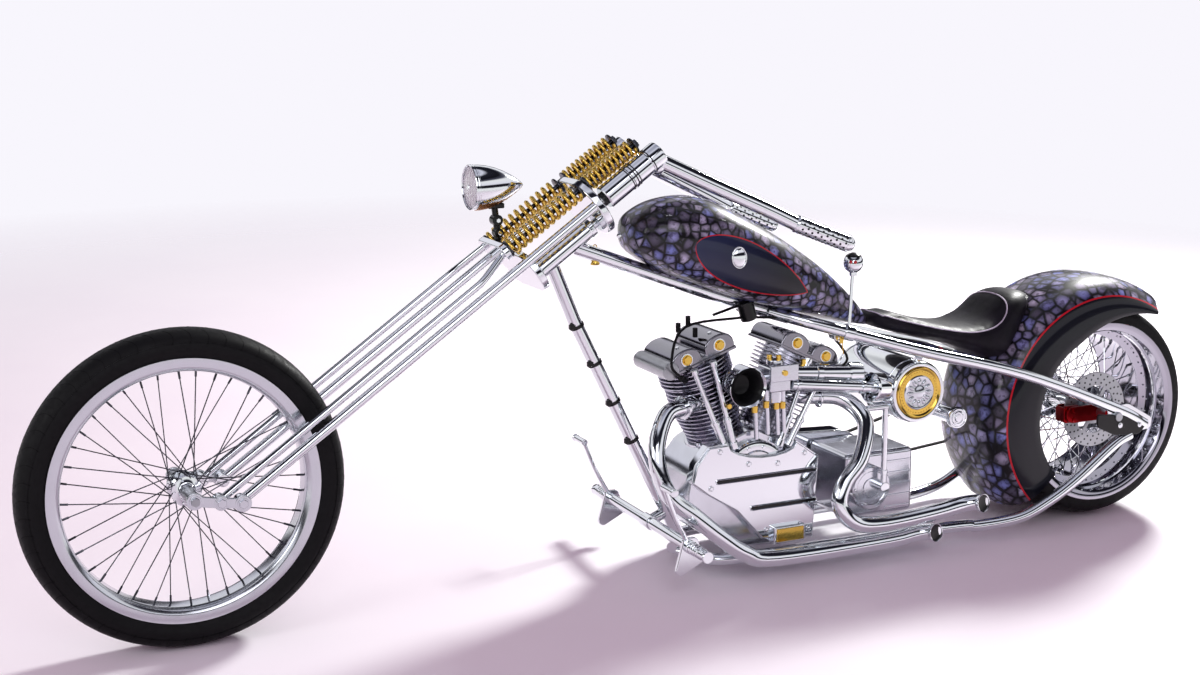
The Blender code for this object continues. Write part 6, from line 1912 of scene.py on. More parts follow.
@dataclass
class Engine:
    """V-twin with its case, barrels, heads and intake."""

    case_size: float = 0.200
    half_width: float = 0.100
    face: float = 0.1383
    deck: float = 0.185
    head_start: float = 0.360
    head_top: float = 0.418
    barrel_radius: float = 0.066
    fin_radius: float = 0.098
    fin_count: int = 13
    head_fins: int = 5
    head_radius: float = 0.104
    timing: Vector = field(default_factory=lambda: Vector((1.175, 0, 0.276)))
    timing_radius: float = 0.093

    def outline(self, shares: Sequence[tuple[float, float]]) -> list[tuple[float, float]]:
        """Corners in the side view from shares of the case's size."""
        points = [engine_point(x * self.case_size, z * self.case_size) for x, z in shares]
        return [(p.x, p.z) for p in points]

    def case(self) -> Shape:
        """The crankcase with its joint flange and the barrels' seats."""
        deck = [
            (vee(-1, self.deck, -0.075).x, vee(-1, self.deck, -0.075).z),
            (vee(1, self.deck, 0.075).x, vee(1, self.deck, 0.075).z),
        ]
        middle = engine_point(0, vee(-1, self.deck, 0.075).z - CRANK.z)
        outline = self.outline(CASE) + [deck[0], (middle.x, middle.z), deck[1]]
        parts = [
            slab(rounded(outline, 0.020), -self.half_width + 1 * MM, self.half_width - 0.5 * MM, 6 * MM)
        ]
        for lean in (1, -1):
            up = vee(lean, 1) - vee(lean, 0)
            parts.append(rod(vee(lean, self.deck - 16 * MM), vee(lean, self.deck), 0.088, 48, 2 * MM))
            for across in (-0.072, 0.072):
                parts.append(hexagon(vee(lean, self.deck - 1 * MM, across, 0.040), up, 8 * MM, 9 * MM))
        return gathered(*parts)

    def cover_outline(self, share: float) -> list[tuple[float, float]]:
        """The cam cover's outline, with the scallop that the timing dome shows in.

        Args:
            share: The outline's size as a share of the whole cover's.

        Returns:
            The corners as x and z.
        """
        scallop = []
        for k in range(9):
            angle = TURN / 2 * k / 8
            scallop.append((-0.60 + 0.55 * (1 - math.cos(angle)), 0.83 - 0.19 * math.sin(angle)))
        middle = Vector((0.0, 0.12))
        corners = list(COVER[:8]) + scallop + list(COVER[9:])
        return self.outline([tuple(middle + (Vector(corner) - middle) * share) for corner in corners])

    def cover(self) -> Shape:
        """The flat-faced cam cover, with the timing dome behind its scalloped top."""
        low = self.half_width + 0.3 * MM
        dome = [
            (0, 0), (0, self.timing_radius), (14 * MM, self.timing_radius),
            (18 * MM, self.timing_radius - 3 * MM),
            (20 * MM, self.timing_radius - 10 * MM), (20 * MM, self.timing_radius - 26 * MM),
            (25 * MM, self.timing_radius - 30 * MM), (27 * MM, self.timing_radius - 60 * MM), (27 * MM, 0),
        ]
        return gathered(
            slab(self.cover_outline(1.0), low, self.face - 7 * MM, 2 * MM),
            slab(self.cover_outline(0.975), self.face - 8 * MM, self.face, 3 * MM),
            lathe(dome, self.timing + ACROSS * low, ACROSS, 96),
        )

    def screws(self) -> Shape:
        """Cap screws round the cover and the timing dome."""
        parts = []
        for x, z in (
            (0.62, 0.73), (-0.72, 0.66), (-0.90, 0.46), (0.72, 0.22), (0.16, 0.54), (-0.30, 0.53),
            (-0.88, -0.44), (-0.20, -0.42),
        ):
            spot = engine_point(x * self.case_size, z * self.case_size, self.face)
            parts.append(rod(spot - ACROSS * 2 * MM, spot + ACROSS * 3.5 * MM, 5.4 * MM, 20, 1 * MM))
            parts.append(hoop(spot + ACROSS * 0.4 * MM, ACROSS, 7.4 * MM, 1.1 * MM, 24))
        for k in range(4):
            angle = TURN / 2 * (k + 1.0) / 5
            spot = self.timing + Vector((math.cos(angle), 0, math.sin(angle))) * (
                self.timing_radius - 17 * MM
            )
            parts.append(
                rod(
                    spot + ACROSS * (self.half_width + 18 * MM),
                    spot + ACROSS * (self.half_width + 24 * MM), 5.4 * MM, 18, 1 * MM,
                )
            )
        return gathered(*parts)

    def slots(self) -> tuple[Shape, Shape]:
        """The cover's two long dark slots, and their bright rims."""
        dark, rims = [], []
        for start, stop, height in ((1.304, 0.996, 0.272), (1.196, 0.996, 0.184)):
            outline = stadium((start, height, 6 * MM), (stop, height, 6 * MM), 10)
            dark.append(slab(outline, self.face - 2 * MM, self.face + 0.6 * MM, 0.0))
            rims.append([Vector((x, self.face + 0.6 * MM, z)) for x, z in outline])
        return gathered(*dark), piping(rims, 1.9 * MM, 10, ring=True)

    def pushrods(self) -> Shape:
        """Four pushrod tubes with their lower sleeves and cups."""
        parts = []
        for lean in (1, -1):
            for step in (-1, 1):
                foot = engine_point(lean * (0.085 + step * 0.014), 0.150, 0.1195)
                top = vee(lean, self.head_top + 3 * MM, lean * (0.020 + step * 0.030), 0.111)
                parts.append(rod(foot, top, 0.0075, 24))
                parts.append(rod(foot.lerp(top, 0.05), foot.lerp(top, 0.36), 0.0105, 28, 1.2 * MM))
                parts.append(rod(foot.lerp(top, 0.30), foot.lerp(top, 0.345), 0.0125, 28, 1 * MM))
                parts.append(rod(foot, foot.lerp(top, 0.075), 0.0135, 28, 1 * MM))
                parts.append(rod(foot.lerp(top, 0.95), foot.lerp(top, 1.0), 0.0115, 28, 1 * MM))
        return gathered(*parts)

    def cylinder(self, lean: int) -> Shape:
        """One finned barrel with its finned head.

        Args:
            lean: 1 for the front one and -1 for the rear one.

        Returns:
            The shape.
        """
        profile = [
            (self.deck + 0.5 * MM, 0), (self.deck + 0.5 * MM, 0.080), (self.deck + 6 * MM, 0.080),
            (self.deck + 6 * MM, self.barrel_radius),
        ]
        pitch = (self.head_start - self.deck - 8 * MM) / self.fin_count
        for k in range(self.fin_count):
            place = self.deck + 8 * MM + pitch * (k + 0.4)
            radius = 0.080 + (self.fin_radius - 0.080) * min(1.0, k / (self.fin_count * 0.5))
            profile += [
                (place, self.barrel_radius), (place + pitch * 0.06, radius - 1 * MM),
                (place + pitch * 0.12, radius),
                (place + pitch * 0.30, radius), (place + pitch * 0.36, radius - 1 * MM),
                (place + pitch * 0.42, self.barrel_radius),
            ]
        pitch = (self.head_top - self.head_start) / self.head_fins
        for k in range(self.head_fins):
            place, radius = self.head_start + pitch * k, self.head_radius
            profile += [
                (place, 0.078), (place + pitch * 0.06, radius - 1 * MM), (place + pitch * 0.14, radius),
                (place + pitch * 0.34, radius), (place + pitch * 0.42, radius - 1 * MM),
                (place + pitch * 0.48, 0.078),
            ]
        profile += [(self.head_top, 0.078), (self.head_top, 0)]
        return lathe(profile, vee(lean, 0), vee(lean, 1) - vee(lean, 0), 72)

    def rocker_box(self, lean: int) -> Shape:
        """One rocker box: a deck plate under two round humps that lie across the bike.

        Args:
            lean: 1 for the front one and -1 for the rear one.

        Returns:
            The shape.
        """
        base = [vee(lean, 0.4185, 0.096), vee(lean, 0.4185, -0.096)]
        top = []
        for middle in (-0.052, 0.052):
            for k in range(15):
                angle = TURN / 2 * (1 - k / 14)
                height = 0.436 + 0.0395 * math.sin(angle) ** 0.7
                top.append(vee(lean, height, middle + 0.046 * math.cos(angle)))
        outline = [(p.x, p.z) for p in base + top]
        deck = [
            vee(lean, 0.4185, 0.098), vee(lean, 0.4185, -0.098), vee(lean, 0.427, -0.098),
            vee(lean, 0.427, 0.098),
        ]
        plate = slab(rounded([(p.x, p.z) for p in deck], 2 * MM, 3), -0.094, 0.094, 2 * MM)
        return gathered(slab(outline, -0.090, 0.090, 5 * MM), plate)

    def rocker_ends(self) -> tuple[Shape, Shape]:
        """Bright caps on the humps' ends, and the gold nuts on them."""
        caps, nuts = [], []
        for lean in (1, -1):
            up = vee(lean, 1) - vee(lean, 0)
            for across in (-0.052, 0.052):
                for side in (1, -1):
                    spot = vee(lean, 0.447, across, side * 0.089)
                    caps.append(rod(spot, spot + ACROSS * side * 3 * MM, 0.0185, 36, 1.2 * MM))
                    nuts.append(hexagon(spot + ACROSS * side * 2.5 * MM, ACROSS * side, 0.0128, 7 * MM))
                    nuts.append(
                        rod(
                            spot + ACROSS * side * 2.5 * MM, spot + ACROSS * side * 4.5 * MM, 0.0150, 28,
                            0.8 * MM,
                        )
                    )
                caps.append(hexagon(vee(lean, 0.4745, across, 0.050), up, 6 * MM, 4 * MM))
        return gathered(*caps), gathered(*nuts)

    def bell(self) -> Shape:
        """The intake bell's shell with its rolled lip."""
        profile = [
            (0.070, 0), (0.070, 0.0300), (0.046, 0.0335), (0.025, 0.0415), (0.010, 0.0500), (0.003, 0.0545),
            (0, 0.0560),
            (-0.0015, 0.0545), (0.001, 0.0520), (0.009, 0.0462), (0.024, 0.0380), (0.045, 0.0295),
            (0.064, 0.0260), (0.064, 0),
        ]
        return lathe(profile, (1.242, 0.192, 0.540), -ACROSS, 64)

    def bell_inside(self) -> Shape:
        """The bell's dark throat with its cross plate: a dark lining, painted shade inside the bell."""
        centre = Vector((1.242, 0.192, 0.540))
        wall = [(0.0015, 0.0530), (0.0088, 0.0458), (0.0235, 0.0374), (0.0445, 0.0289), (0.0600, 0.0256)]
        return lathe(
            [(0.0600, 0)] + wall[::-1] + [
                (0.0030, 0.0508), (0.0100, 0.0440), (0.0245, 0.0360), (0.0455, 0.0270), (0.0560, 0)
            ],
            centre,
            -ACROSS,
            64,
        )

    def fittings(self) -> Shape:
        """Brass screws and unions round the bell and the carburettor."""
        centre = Vector((1.242, 0, 0.540))
        parts = []
        for angle in (TURN * 0.68, TURN * 0.82):
            spot = centre + Vector((math.cos(angle), 0, math.sin(angle))) * 0.066
            parts.append(hexagon(spot + ACROSS * 0.128, ACROSS, 8 * MM, 12 * MM))
        parts.append(rod((1.106, 0.150, 0.560), (1.106, 0.1575, 0.560), 8 * MM, 24, 1 * MM))
        for x, z in ((1.186, 0.452), (1.150, 0.462), (1.118, 0.455), (1.098, 0.455)):
            parts.append(rod((x, 0.128, z), (x, 0.128, z + 0.019), 0.0088, 24, 1.2 * MM))
        for x, side in ((1.106, 0.118), (1.126, 0.102)):
            parts.append(hexagon((x, side, 0.590), (0, 0, 1), 7.5 * MM, 0.014))
        parts.append(hexagon((1.020, 0.108, 0.566), (0, 0, 1), 8 * MM, 0.016))
        return gathered(*parts)

    def carburettor(self) -> Shape:
        """The carburettor with its bowl, cover, elbow and manifold."""
        z = 0.540
        low, high = Vector((1.081, 0.075, 0.506)), Vector((1.149, 0.148, 0.574))
        parts = [
            soft_block(low, high, 6 * MM),
            rod((1.115, 0.112, 0.472), (1.115, 0.112, 0.512), 0.0225, 32, 2 * MM),
            rod((1.115, 0.112, 0.570), (1.115, 0.112, 0.592), 0.0235, 32, 3 * MM),
            rod((1.160, -0.010, z), (1.160, 0.098, z), 0.0208, 32),
            rod((1.140, 0.098, z), (1.262, 0.098, z), 0.0218, 32),
            lathe(
                [(0, 0), (0, 0.030), (0.010, 0.0345), (0.013, 0.0345), (0.0215, 0.0300), (0.0215, 0)],
                (1.242, 0.098, z),
                ACROSS,
                40,
            ),
            rod((1.035, 0, z - 0.020), (1.285, 0, z - 0.020), 0.0208, 32),
            soft_block((1.062, 0.146, 0.536), (1.150, 0.1525, 0.582), 3 * MM),
        ]
        for x, z in ((1.186, 0.375), (1.150, 0.385), (1.118, 0.380), (1.098, 0.380)):
            parts.append(rod((x - 0.010, 0.122, z), (x, 0.128, 0.512), 0.0068, 20, 1 * MM))
        return gathered(*parts)

    def plugs(self) -> Shape:
        """Black plug caps and leads at the heads, and the coil's leads."""
        coil = Vector((1.158, 0.030, 0.700))
        parts = []
        for lean, spot in ((1, vee(1, 0.392, 0.070, 0.082)), (-1, vee(-1, 0.392, -0.070, 0.082))):
            out = spot + Vector((0.030 * lean, 0.030, 0.016))
            parts.append(rod(spot, out, 0.0085, 20, 1 * MM))
            parts.append(
                piping(
                    [
                        [
                            out, out + Vector((0.030 * lean, 0.004, 0.045)), vee(lean, 0.520, 0.010, 0.050),
                            coil,
                        ]
                    ],
                    3.8 * MM,
                    10,
                    ease=True,
                )
            )
        for x, z in ((1.371, 0.695), (1.341, 0.712), (1.319, 0.677)):
            parts.append(rod((x, 0.030, z - 0.020), (x, 0.030, z + 0.006), 7 * MM, 18, 1.2 * MM))
        return gathered(*parts)

    def coil(self) -> Shape:
        """The ignition coil between the cylinders, on its strap."""
        parts = [
            rod((1.166, 0.030, 0.744), (1.150, 0.030, 0.692), 0.0235, 32, 3 * MM),
            piping([[(1.264, 0.030, 0.714), (1.173, 0.030, 0.737)]], 4 * MM, 10),
            rod((1.157, -0.020, 0.716), (1.157, 0.030, 0.716), 9 * MM, 20),
        ]
        return gathered(*parts)

    def brace(self) -> Shape:
        """The silver cross tube and strap between the heads."""
        front, rear = vee(1, 0.440, -0.060), vee(-1, 0.440, 0.060)
        return gathered(
            rod(front + ACROSS * -0.070, front + ACROSS * 0.070, 0.011, 24, 2 * MM),
            rod(rear + ACROSS * -0.070, rear + ACROSS * 0.070, 0.011, 24, 2 * MM),
            rod(
                vee(1, 0.437, 0.106) - ACROSS * 0.095, vee(1, 0.437, 0.106) + ACROSS * 0.095, 0.0245, 36,
                3 * MM,
            ),
        )

    def build(self, shop: Workshop) -> None:
        """Builds and mounts the engine.

        Args:
            shop: The workshop.
        """
        body = Body.FRAME
        shop.mount(self.case(), "engine_case_cast", PaintShop.CAST_ALLOY, body, "engine_case")
        shop.mount(self.cover(), "cam_cover_plated", PaintShop.CHROME, body, "cam_cover")
        shop.mount(self.screws(), "engine_screws", PaintShop.CHROME, body)
        dark, rims = self.slots()
        shop.mount(dark, "cover_slots", PaintShop.BLACK, body)
        shop.mount(rims, "cover_slot_rims", PaintShop.CHROME, body)
        shop.mount(
            soft_block((1.035, 0.100, 0.075), (1.135, 0.1570, 0.125), 6 * MM),
            "oil_filter_housing",
            PaintShop.CHROME,
            body,
            crease=38,
        )
        shop.mount(
            soft_block((1.042, 0.1540, 0.081), (1.128, 0.1600, 0.119), 2 * MM),
            "oil_filter_face",
            PaintShop.GOLD,
            body,
            crease=38,
        )
        shop.mount(self.pushrods(), "pushrod_tubes", PaintShop.CHROME, body)
        for name, lean in (("front", 1), ("rear", -1)):
            shop.mount(
                self.cylinder(lean), f"cylinder_{name}_finned", PaintShop.FIN_ALLOY, body,
                f"cylinder_{name}",
            )
            # The rocker boxes' darker chrome is painted shade.
            shop.mount(
                self.rocker_box(lean), f"rocker_box_{name}_plated", PaintShop.SHADED_CHROME, body,
                f"rocker_box_{name}",
            )
        caps, nuts = self.rocker_ends()
        shop.mount(caps, "rocker_caps", PaintShop.CHROME, body)
        shop.mount(nuts, "rocker_nuts", PaintShop.GOLD, body, crease=30)
        shop.mount(self.bell(), "intake_bell_spun", PaintShop.CHROME, body, "intake_bell", crease=40)
        shop.mount(self.bell_inside(), "intake_throat", PaintShop.HOLE_SHADE, body, crease=40)
        shop.mount(self.fittings(), "brass_fittings", PaintShop.GOLD, body)
        shop.mount(self.carburettor(), "carburettor_cast", PaintShop.CAST_ALLOY, body, "carburettor")
        shop.mount(self.plugs(), "plug_caps_and_leads", PaintShop.GRIP, body, crease=40)
        shop.mount(self.coil(), "ignition_coil", PaintShop.BLACK, body)
        shop.mount(self.brace(), "head_braces", PaintShop.STEEL, body, slot=Slot.CHROME)


# Drive


@dataclass
class Drive:
    """Gearbox, primary, belt, oil tank, starter, caliper and pipes."""

    crank: tuple[float, float] = (1.184, 0.202)
    mainshaft: tuple[float, float] = (0.780, 0.200)
    tank: Vector = field(default_factory=lambda: Vector((0.673, 0, 0.463)))
    pipe_radius: float = 0.0235

    def gearbox(self) -> Shape:
        """The gearbox with its ribs and round side cover."""
        centre = Vector((0.800, 0, 0.189))
        cover = [
            (0, 0), (0, 0.063), (0.126, 0.063), (0.1295, 0.0595), (0.1295, 0.050), (0.1275, 0.0475),
            (0.1275, 0.030),
            (0.1300, 0.0275), (0.1300, 0),
        ]
        parts = [
            soft_block((0.640, -0.0995, 0.095), (0.870, 0.0995, 0.285), 0.014),
            lathe(cover, centre, ACROSS, 64),
        ]
        for k in range(5):
            parts.append(
                soft_block((0.652, 0.096, 0.112 + 0.034 * k), (0.736, 0.1025, 0.118 + 0.034 * k), 1 * MM)
            )
        for k in range(6):
            angle = TURN * k / 6
            spot = centre + Vector((math.cos(angle), 0, math.sin(angle))) * 0.056
            parts.append(rod(spot + ACROSS * 0.127, spot + ACROSS * 0.1325, 4.5 * MM, 16, 0.8 * MM))
        return gathered(*parts)

    def kicker(self) -> Shape:
        """The upright rod and cross arm beside the gearbox."""
        return gathered(
            rod((0.775, 0.150, 0.428), (0.775, 0.150, 0.193), 8.5 * MM, 24, 2 * MM),
            rod((0.842, 0.150, 0.430), (0.768, 0.150, 0.430), 8.5 * MM, 24, 2 * MM),
            rod((0.775, 0.126, 0.195), (0.775, 0.160, 0.195), 0.0150, 28, 2 * MM),
            rod((0.775, 0.150, 0.232), (0.775, 0.150, 0.246), 0.0108, 24, 1.5 * MM),
        )

    def primary(self) -> Shape:
        """The right side's primary cover with its clutch dome and hub."""
        outline = stadium((*self.crank, 0.125), (*self.mainshaft, 0.105), 32)
        inset = stadium((*self.crank, 0.105), (*self.mainshaft, 0.085), 32)
        parts = [slab(outline, -0.1610, -0.1003, 6 * MM), slab(inset, -0.1663, -0.1590, 3 * MM)]
        place = Vector((self.mainshaft[0], -0.160, self.mainshaft[1]))
        parts.append(
            rod(
                (self.mainshaft[0], -0.150, self.mainshaft[1]),
                (self.mainshaft[0], -0.190, self.mainshaft[1]), 0.0405, 48, 2 * MM,
            )
        )
        for k in range(10):
            x = self.mainshaft[0] + (self.crank[0] - self.mainshaft[0]) * (k % 5 + 0.5) / 5
            radius = 0.105 + 0.020 * (k % 5 + 0.5) / 5 - 8 * MM
            z = place.z + (radius if k < 5 else -radius)
            parts.append(rod((x, -0.1600, z), (x, -0.1655, z), 5 * MM, 16, 1 * MM))
        crank = Vector((self.crank[0], -0.1655, self.crank[1]))
        parts.append(rod(crank, crank - ACROSS * 5 * MM, 0.060, 64, 3 * MM))
        return gathered(*parts)

    def belt(self) -> Shape:
        """The toothed belt."""
        outline = stadium((*self.mainshaft, 0.047), (0, REAR_RADIUS, 0.107), 40)
        return band(outline, 4.5 * MM, -0.190, -0.176)

    def oil_tank(self) -> Shape:
        """The round oil tank with its straps, neck and pipe."""
        left, right = 0.165, -0.150
        profile = [
            (right, 0), (right, 0.070), (right + 3 * MM, 0.084), (right + 10 * MM, 0.090),
            (left - 14 * MM, 0.090),
            (left - 6 * MM, 0.0885), (left - 1 * MM, 0.085), (left, 0.080), (left - 1 * MM, 0.0755),
            (left - 4 * MM, 0.0740),
            (left - 4 * MM, 0),
        ]
        parts = [lathe(profile, self.tank, ACROSS, 96)]
        for sign in (1, -1):
            stay = stay_point(self.tank.x)
            parts.append(
                rod(
                    (self.tank.x, sign * 0.140, self.tank.z + 0.080),
                    (self.tank.x, sign * stay.y, stay.z - 0.018), 0.0115, 28,
                )
            )
            parts.append(hoop(self.tank + ACROSS * sign * 0.128, ACROSS, 0.0895, 2.2 * MM, 96))
        rear, front = Vector((0.823, 0.140, 0.489)), Vector((1.080, 0.140, 0.523))
        root = Vector((self.tank.x, 0.100, self.tank.z))
        parts.append(
            lathe(
                [
                    (0.05, 0), (0.05, 0.034), (0.100, 0.036), (0.112, 0.0415),
                    ((rear - root).length - 3 * MM, 0.0420), ((rear - root).length, 0.038),
                    ((rear - root).length, 0),
                ],
                root,
                rear - root,
                48,
            )
        )
        parts.append(piping([[rear - (front - rear) * 0.08, front]], 0.0168, 24))
        parts.append(
            lathe(
                
                [
                    (-0.012, 0), (-0.012, 0.0300), (-0.008, 0.0315), (0.030, 0.0315), (0.034, 0.0275),
                    (0.118, 0.0245), (0.120, 0.0275), (0.136, 0.0275), (0.138, 0.0240), (0.226, 0.0225),
                    (0.226, 0),
                ],
                (0.850, 0.108, 0.526), (1, 0, 0.10), 40,
            )
        )
        for share in (0.08, 0.90):
            spot = rear.lerp(front, share)
            parts.append(rod(spot, rear.lerp(front, share + 0.045), 0.0195, 32, 1 * MM))
        return gathered(*parts)

    def medallion(self) -> tuple[Shape, Shape]:
        """The tank end's gold ring, and the bright rosette inside it."""
        face = 0.160
        ring = lathe(
            [
                (face, 0.040), (face, 0.0745), (face + 7 * MM, 0.0735), (face + 9 * MM, 0.071),
                (face + 8 * MM, 0.068), (face + 5 * MM, 0.064), (face + 5 * MM, 0.040),
            ],
            self.tank,
            ACROSS,
            96,
            ring=True,
        )
        bead = copies_round(
            ball(self.tank + Vector((0.0590, face + 4 * MM, 0)), 2.6 * MM, 10), self.tank, ACROSS, 40
        )
        dish = lathe(
            [
                (face - 2 * MM, 0), (face - 2 * MM, 0.050), (face + 6 * MM, 0.050), (face + 8 * MM, 0.047),
                (face + 6 * MM, 0.042), (face + 6 * MM, 0.022), (face + 10.5 * MM, 0.016),
                (face + 12 * MM, 0),
            ],
            self.tank,
            ACROSS,
            64,
        )
        start = self.tank + Vector((0.031, face + 6 * MM, 0))
        petal = ball((0, 0, 0), 1.0, 14)
        bmesh.ops.scale(petal, vec=(0.0110, 0.0045, 0.0060), verts=petal.verts)
        bmesh.ops.translate(petal, vec=start, verts=petal.verts)
        return gathered(ring, bead), gathered(dish, copies_round(petal, self.tank, ACROSS, 12))

    def starter(self) -> Shape:
        """The starter's tube with its ringed end."""
        centre = Vector((0.560, 0, 0.384))
        profile = [
            (0, 0), (0, 0.022), (0.178, 0.022), (0.182, 0.0285), (0.185, 0.031), (0.197, 0.031),
            (0.200, 0.0295),
            (0.2005, 0.0265), (0.1975, 0.0245), (0.1975, 0.0215), (0.2010, 0.0200), (0.2015, 0.0170),
            (0.1985, 0.0155),
            (0.1985, 0.0120), (0.2025, 0.0100), (0.2030, 0),
        ]
        arm = rod((0.560, 0.121, 0.384), (0.610, 0.121, 0.419), 0.011, 20)
        return gathered(lathe(profile, centre, ACROSS, 64), arm)

    def caliper(self) -> Shape:
        """The red caliper round the disc's front edge, with its arm."""
        z = REAR_RADIUS
        parts = [
            soft_block((0.076, 0.1008, z - 0.026), (0.1262, 0.1098, z + 0.026), 2 * MM),
            soft_block((0.076, 0.1262, z - 0.026), (0.1262, 0.1425, z + 0.026), 4 * MM),
            soft_block((0.1235, 0.1012, z - 0.022), (0.1315, 0.1420, z + 0.022), 2 * MM),
            slab(stadium((0.105, z, 0.0245), (0, z, 0.0245), 20), 0.1432, 0.1518, 1.5 * MM),
        ]
        for side in (1, -1):
            spot = Vector((0.100, 0.142, z + side * 0.015))
            parts.append(rod(spot, spot + ACROSS * 0.0125, 0.0085, 24, 1 * MM))
        return gathered(*parts)

    def exhaust(self, lean: int, shares: Sequence[Sequence[float]]) -> tuple[Shape, Shape]:
        """One pipe with its flange and flared tip, and a dark disc in the tip: painted shade for the pipe's
        opening.

        Args:
            lean: 1 for the front cylinder and -1 for the rear one.
            shares: The route's shares of the frame.

        Returns:
            The pipe and its inside.
        """
        port = vee(lean, 0.300, 0, 0.045)
        route = eased([port] + frame_route(shares), 6)
        end, back = route[-1], (route[-1] - route[-2]).normalized()
        out = (back * 0.24 + ACROSS * 0.96 + Vector((0, 0, 0.10))).normalized()
        elbow, mouth = end - back * 0.052, end - back * 0.022 + out * 0.037
        bend = eased([end - back * 0.110, elbow, mouth - out * 0.016, mouth], 6)
        route = [p for p in route if (p - end).length > 0.112] + bend
        tip = lathe(
            [
                (-6 * MM, 0.0215), (-6 * MM, 0.0245), (0, 0.0262), (4 * MM, 0.0266), (5.5 * MM, 0.0258),
                (5 * MM, 0.0238), (0, 0.0225),
            ],
            mouth, out, 48, ring=True,
        )
        # A dark disc in the tip: painted shade for the pipe's opening.
        inside = lathe(
            [(-2 * MM, 0), (-2 * MM, 0.0236), (3 * MM, 0.0238), (2 * MM, 0.0190), (1 * MM, 0)],
            mouth,
            out,
            36,
        )
        flange = [
            (0, 0.0240), (0, 0.031), (2 * MM, 0.033), (7 * MM, 0.033), (9 * MM, 0.031), (9 * MM, 0.0240)
        ]
        near = min(range(len(route)), key=lambda k: abs((route[k] - route[0]).length - 0.105))
        collar = lathe(flange, route[near], route[near + 1] - route[near], 48, ring=True)
        return gathered(piping([route], self.pipe_radius, 28), tip, collar), inside

    def build(self, shop: Workshop) -> None:
        """Builds and mounts the drive.

        Args:
            shop: The workshop.
        """
        body = Body.FRAME
        shop.mount(self.gearbox(), "gearbox_cast", PaintShop.CAST_ALLOY, body, "gearbox")
        shop.mount(self.kicker(), "gearbox_linkage", PaintShop.CHROME, body)
        shop.mount(self.primary(), "primary_cover_plated", PaintShop.CHROME, body, "primary_cover")
        shop.mount(self.belt(), "drive_belt_rubber", PaintShop.BELT, body, "drive_belt", crease=50)
        shop.mount(self.oil_tank(), "oil_tank_plated", PaintShop.CHROME, body, "oil_tank")
        ring, rosette = self.medallion()
        shop.mount(ring, "oil_tank_ring", PaintShop.GOLD, body)
        shop.mount(rosette, "oil_tank_rosette", PaintShop.SATIN_CHROME, body, crease=40)
        shop.mount(self.starter(), "starter_plated", PaintShop.CHROME, body, "starter_tube")
        shop.mount(self.caliper(), "brake_caliper_red", PaintShop.RED, body, "brake_caliper")
        for name, lean, shares in (("front", 1, FRONT_PIPE), ("rear", -1, REAR_PIPE)):
            pipe, inside = self.exhaust(lean, shares)
            shop.mount(pipe, f"exhaust_{name}_plated", PaintShop.CHROME, body, f"exhaust_{name}")
            shop.mount(inside, f"exhaust_{name}_inside", PaintShop.BLACK, body)


FRONT_PIPE = (
    (0.822, 0.40, 0.515), (0.862, 0.50, 0.500), (0.892, 0.72, 0.405), (0.880, 0.85, 0.295),
    (0.840, 0.96, 0.225),
    (0.800, 1.02, 0.160), (0.756, 1.05, 0.100), (0.700, 1.05, 0.068), (0.480, 1.05, 0.066),
    (0.392, 1.05, 0.080),
)
REAR_PIPE = (
    (0.590, 0.34, 0.503), (0.530, 0.47, 0.490), (0.508, 0.78, 0.430), (0.532, 0.98, 0.330),
    (0.566, 1.03, 0.262),
    (0.577, 1.07, 0.200), (0.552, 1.10, 0.145), (0.505, 1.12, 0.128), (0.410, 1.13, 0.136),
    (0.305, 1.14, 0.158),
)


# Tank, fender and seat

TANK = (
    (0.0, 0.17, 0.30, 0.25), (0.03, 0.09, 0.37, 0.58), (0.13, 0.01, 0.49, 0.84), (0.27, 0.00, 0.60, 0.97),
    (0.42, 0.12, 0.71, 1.00), (0.60, 0.31, 0.81, 0.90), (0.78, 0.54, 0.91, 0.66), (0.92, 0.77, 0.97, 0.40),
    (1.0, 0.93, 1.00, 0.13),
)
SADDLE = (
    (0.0, 0.13, 0.30, 0.34), (0.05, 0.10, 0.36, 0.52), (0.20, 0.24, 0.49, 0.70), (0.38, 0.38, 0.62, 0.86),
    (0.55, 0.44, 0.78, 0.97), (0.68, 0.34, 0.95, 1.00), (0.80, 0.06, 1.00, 0.90), (0.90, 0.00, 0.60, 0.72),
    (0.98, 0.06, 0.30, 0.40), (1.0, 0.10, 0.22, 0.20),
)


def between_shares(shares: Sequence[Sequence[float]], steps: int) -> list[Vector]:
    """More rows between the rows of a table, along smooth curves.

    Args:
        shares: The rows, of four shares each.
        steps: Rows from one to the next.

    Returns:
        The rows as vectors of four.
    """
    rows = [Vector(row) for row in shares]
    tails = [rows[0] * 2 - rows[1]] + rows + [rows[-1] * 2 - rows[-2]]
    made = []
    for a, b, c, d in zip(tails, tails[1:], tails[2:], tails[3:]):
        for k in range(steps):
            t = k / steps
            turn = (c - a) * t + (2 * a - 5 * b + 4 * c - d) * t**2 + (3 * b - a - 3 * c + d) * t**3
            made.append(b + turn / 2)
    return made + [rows[-1]]


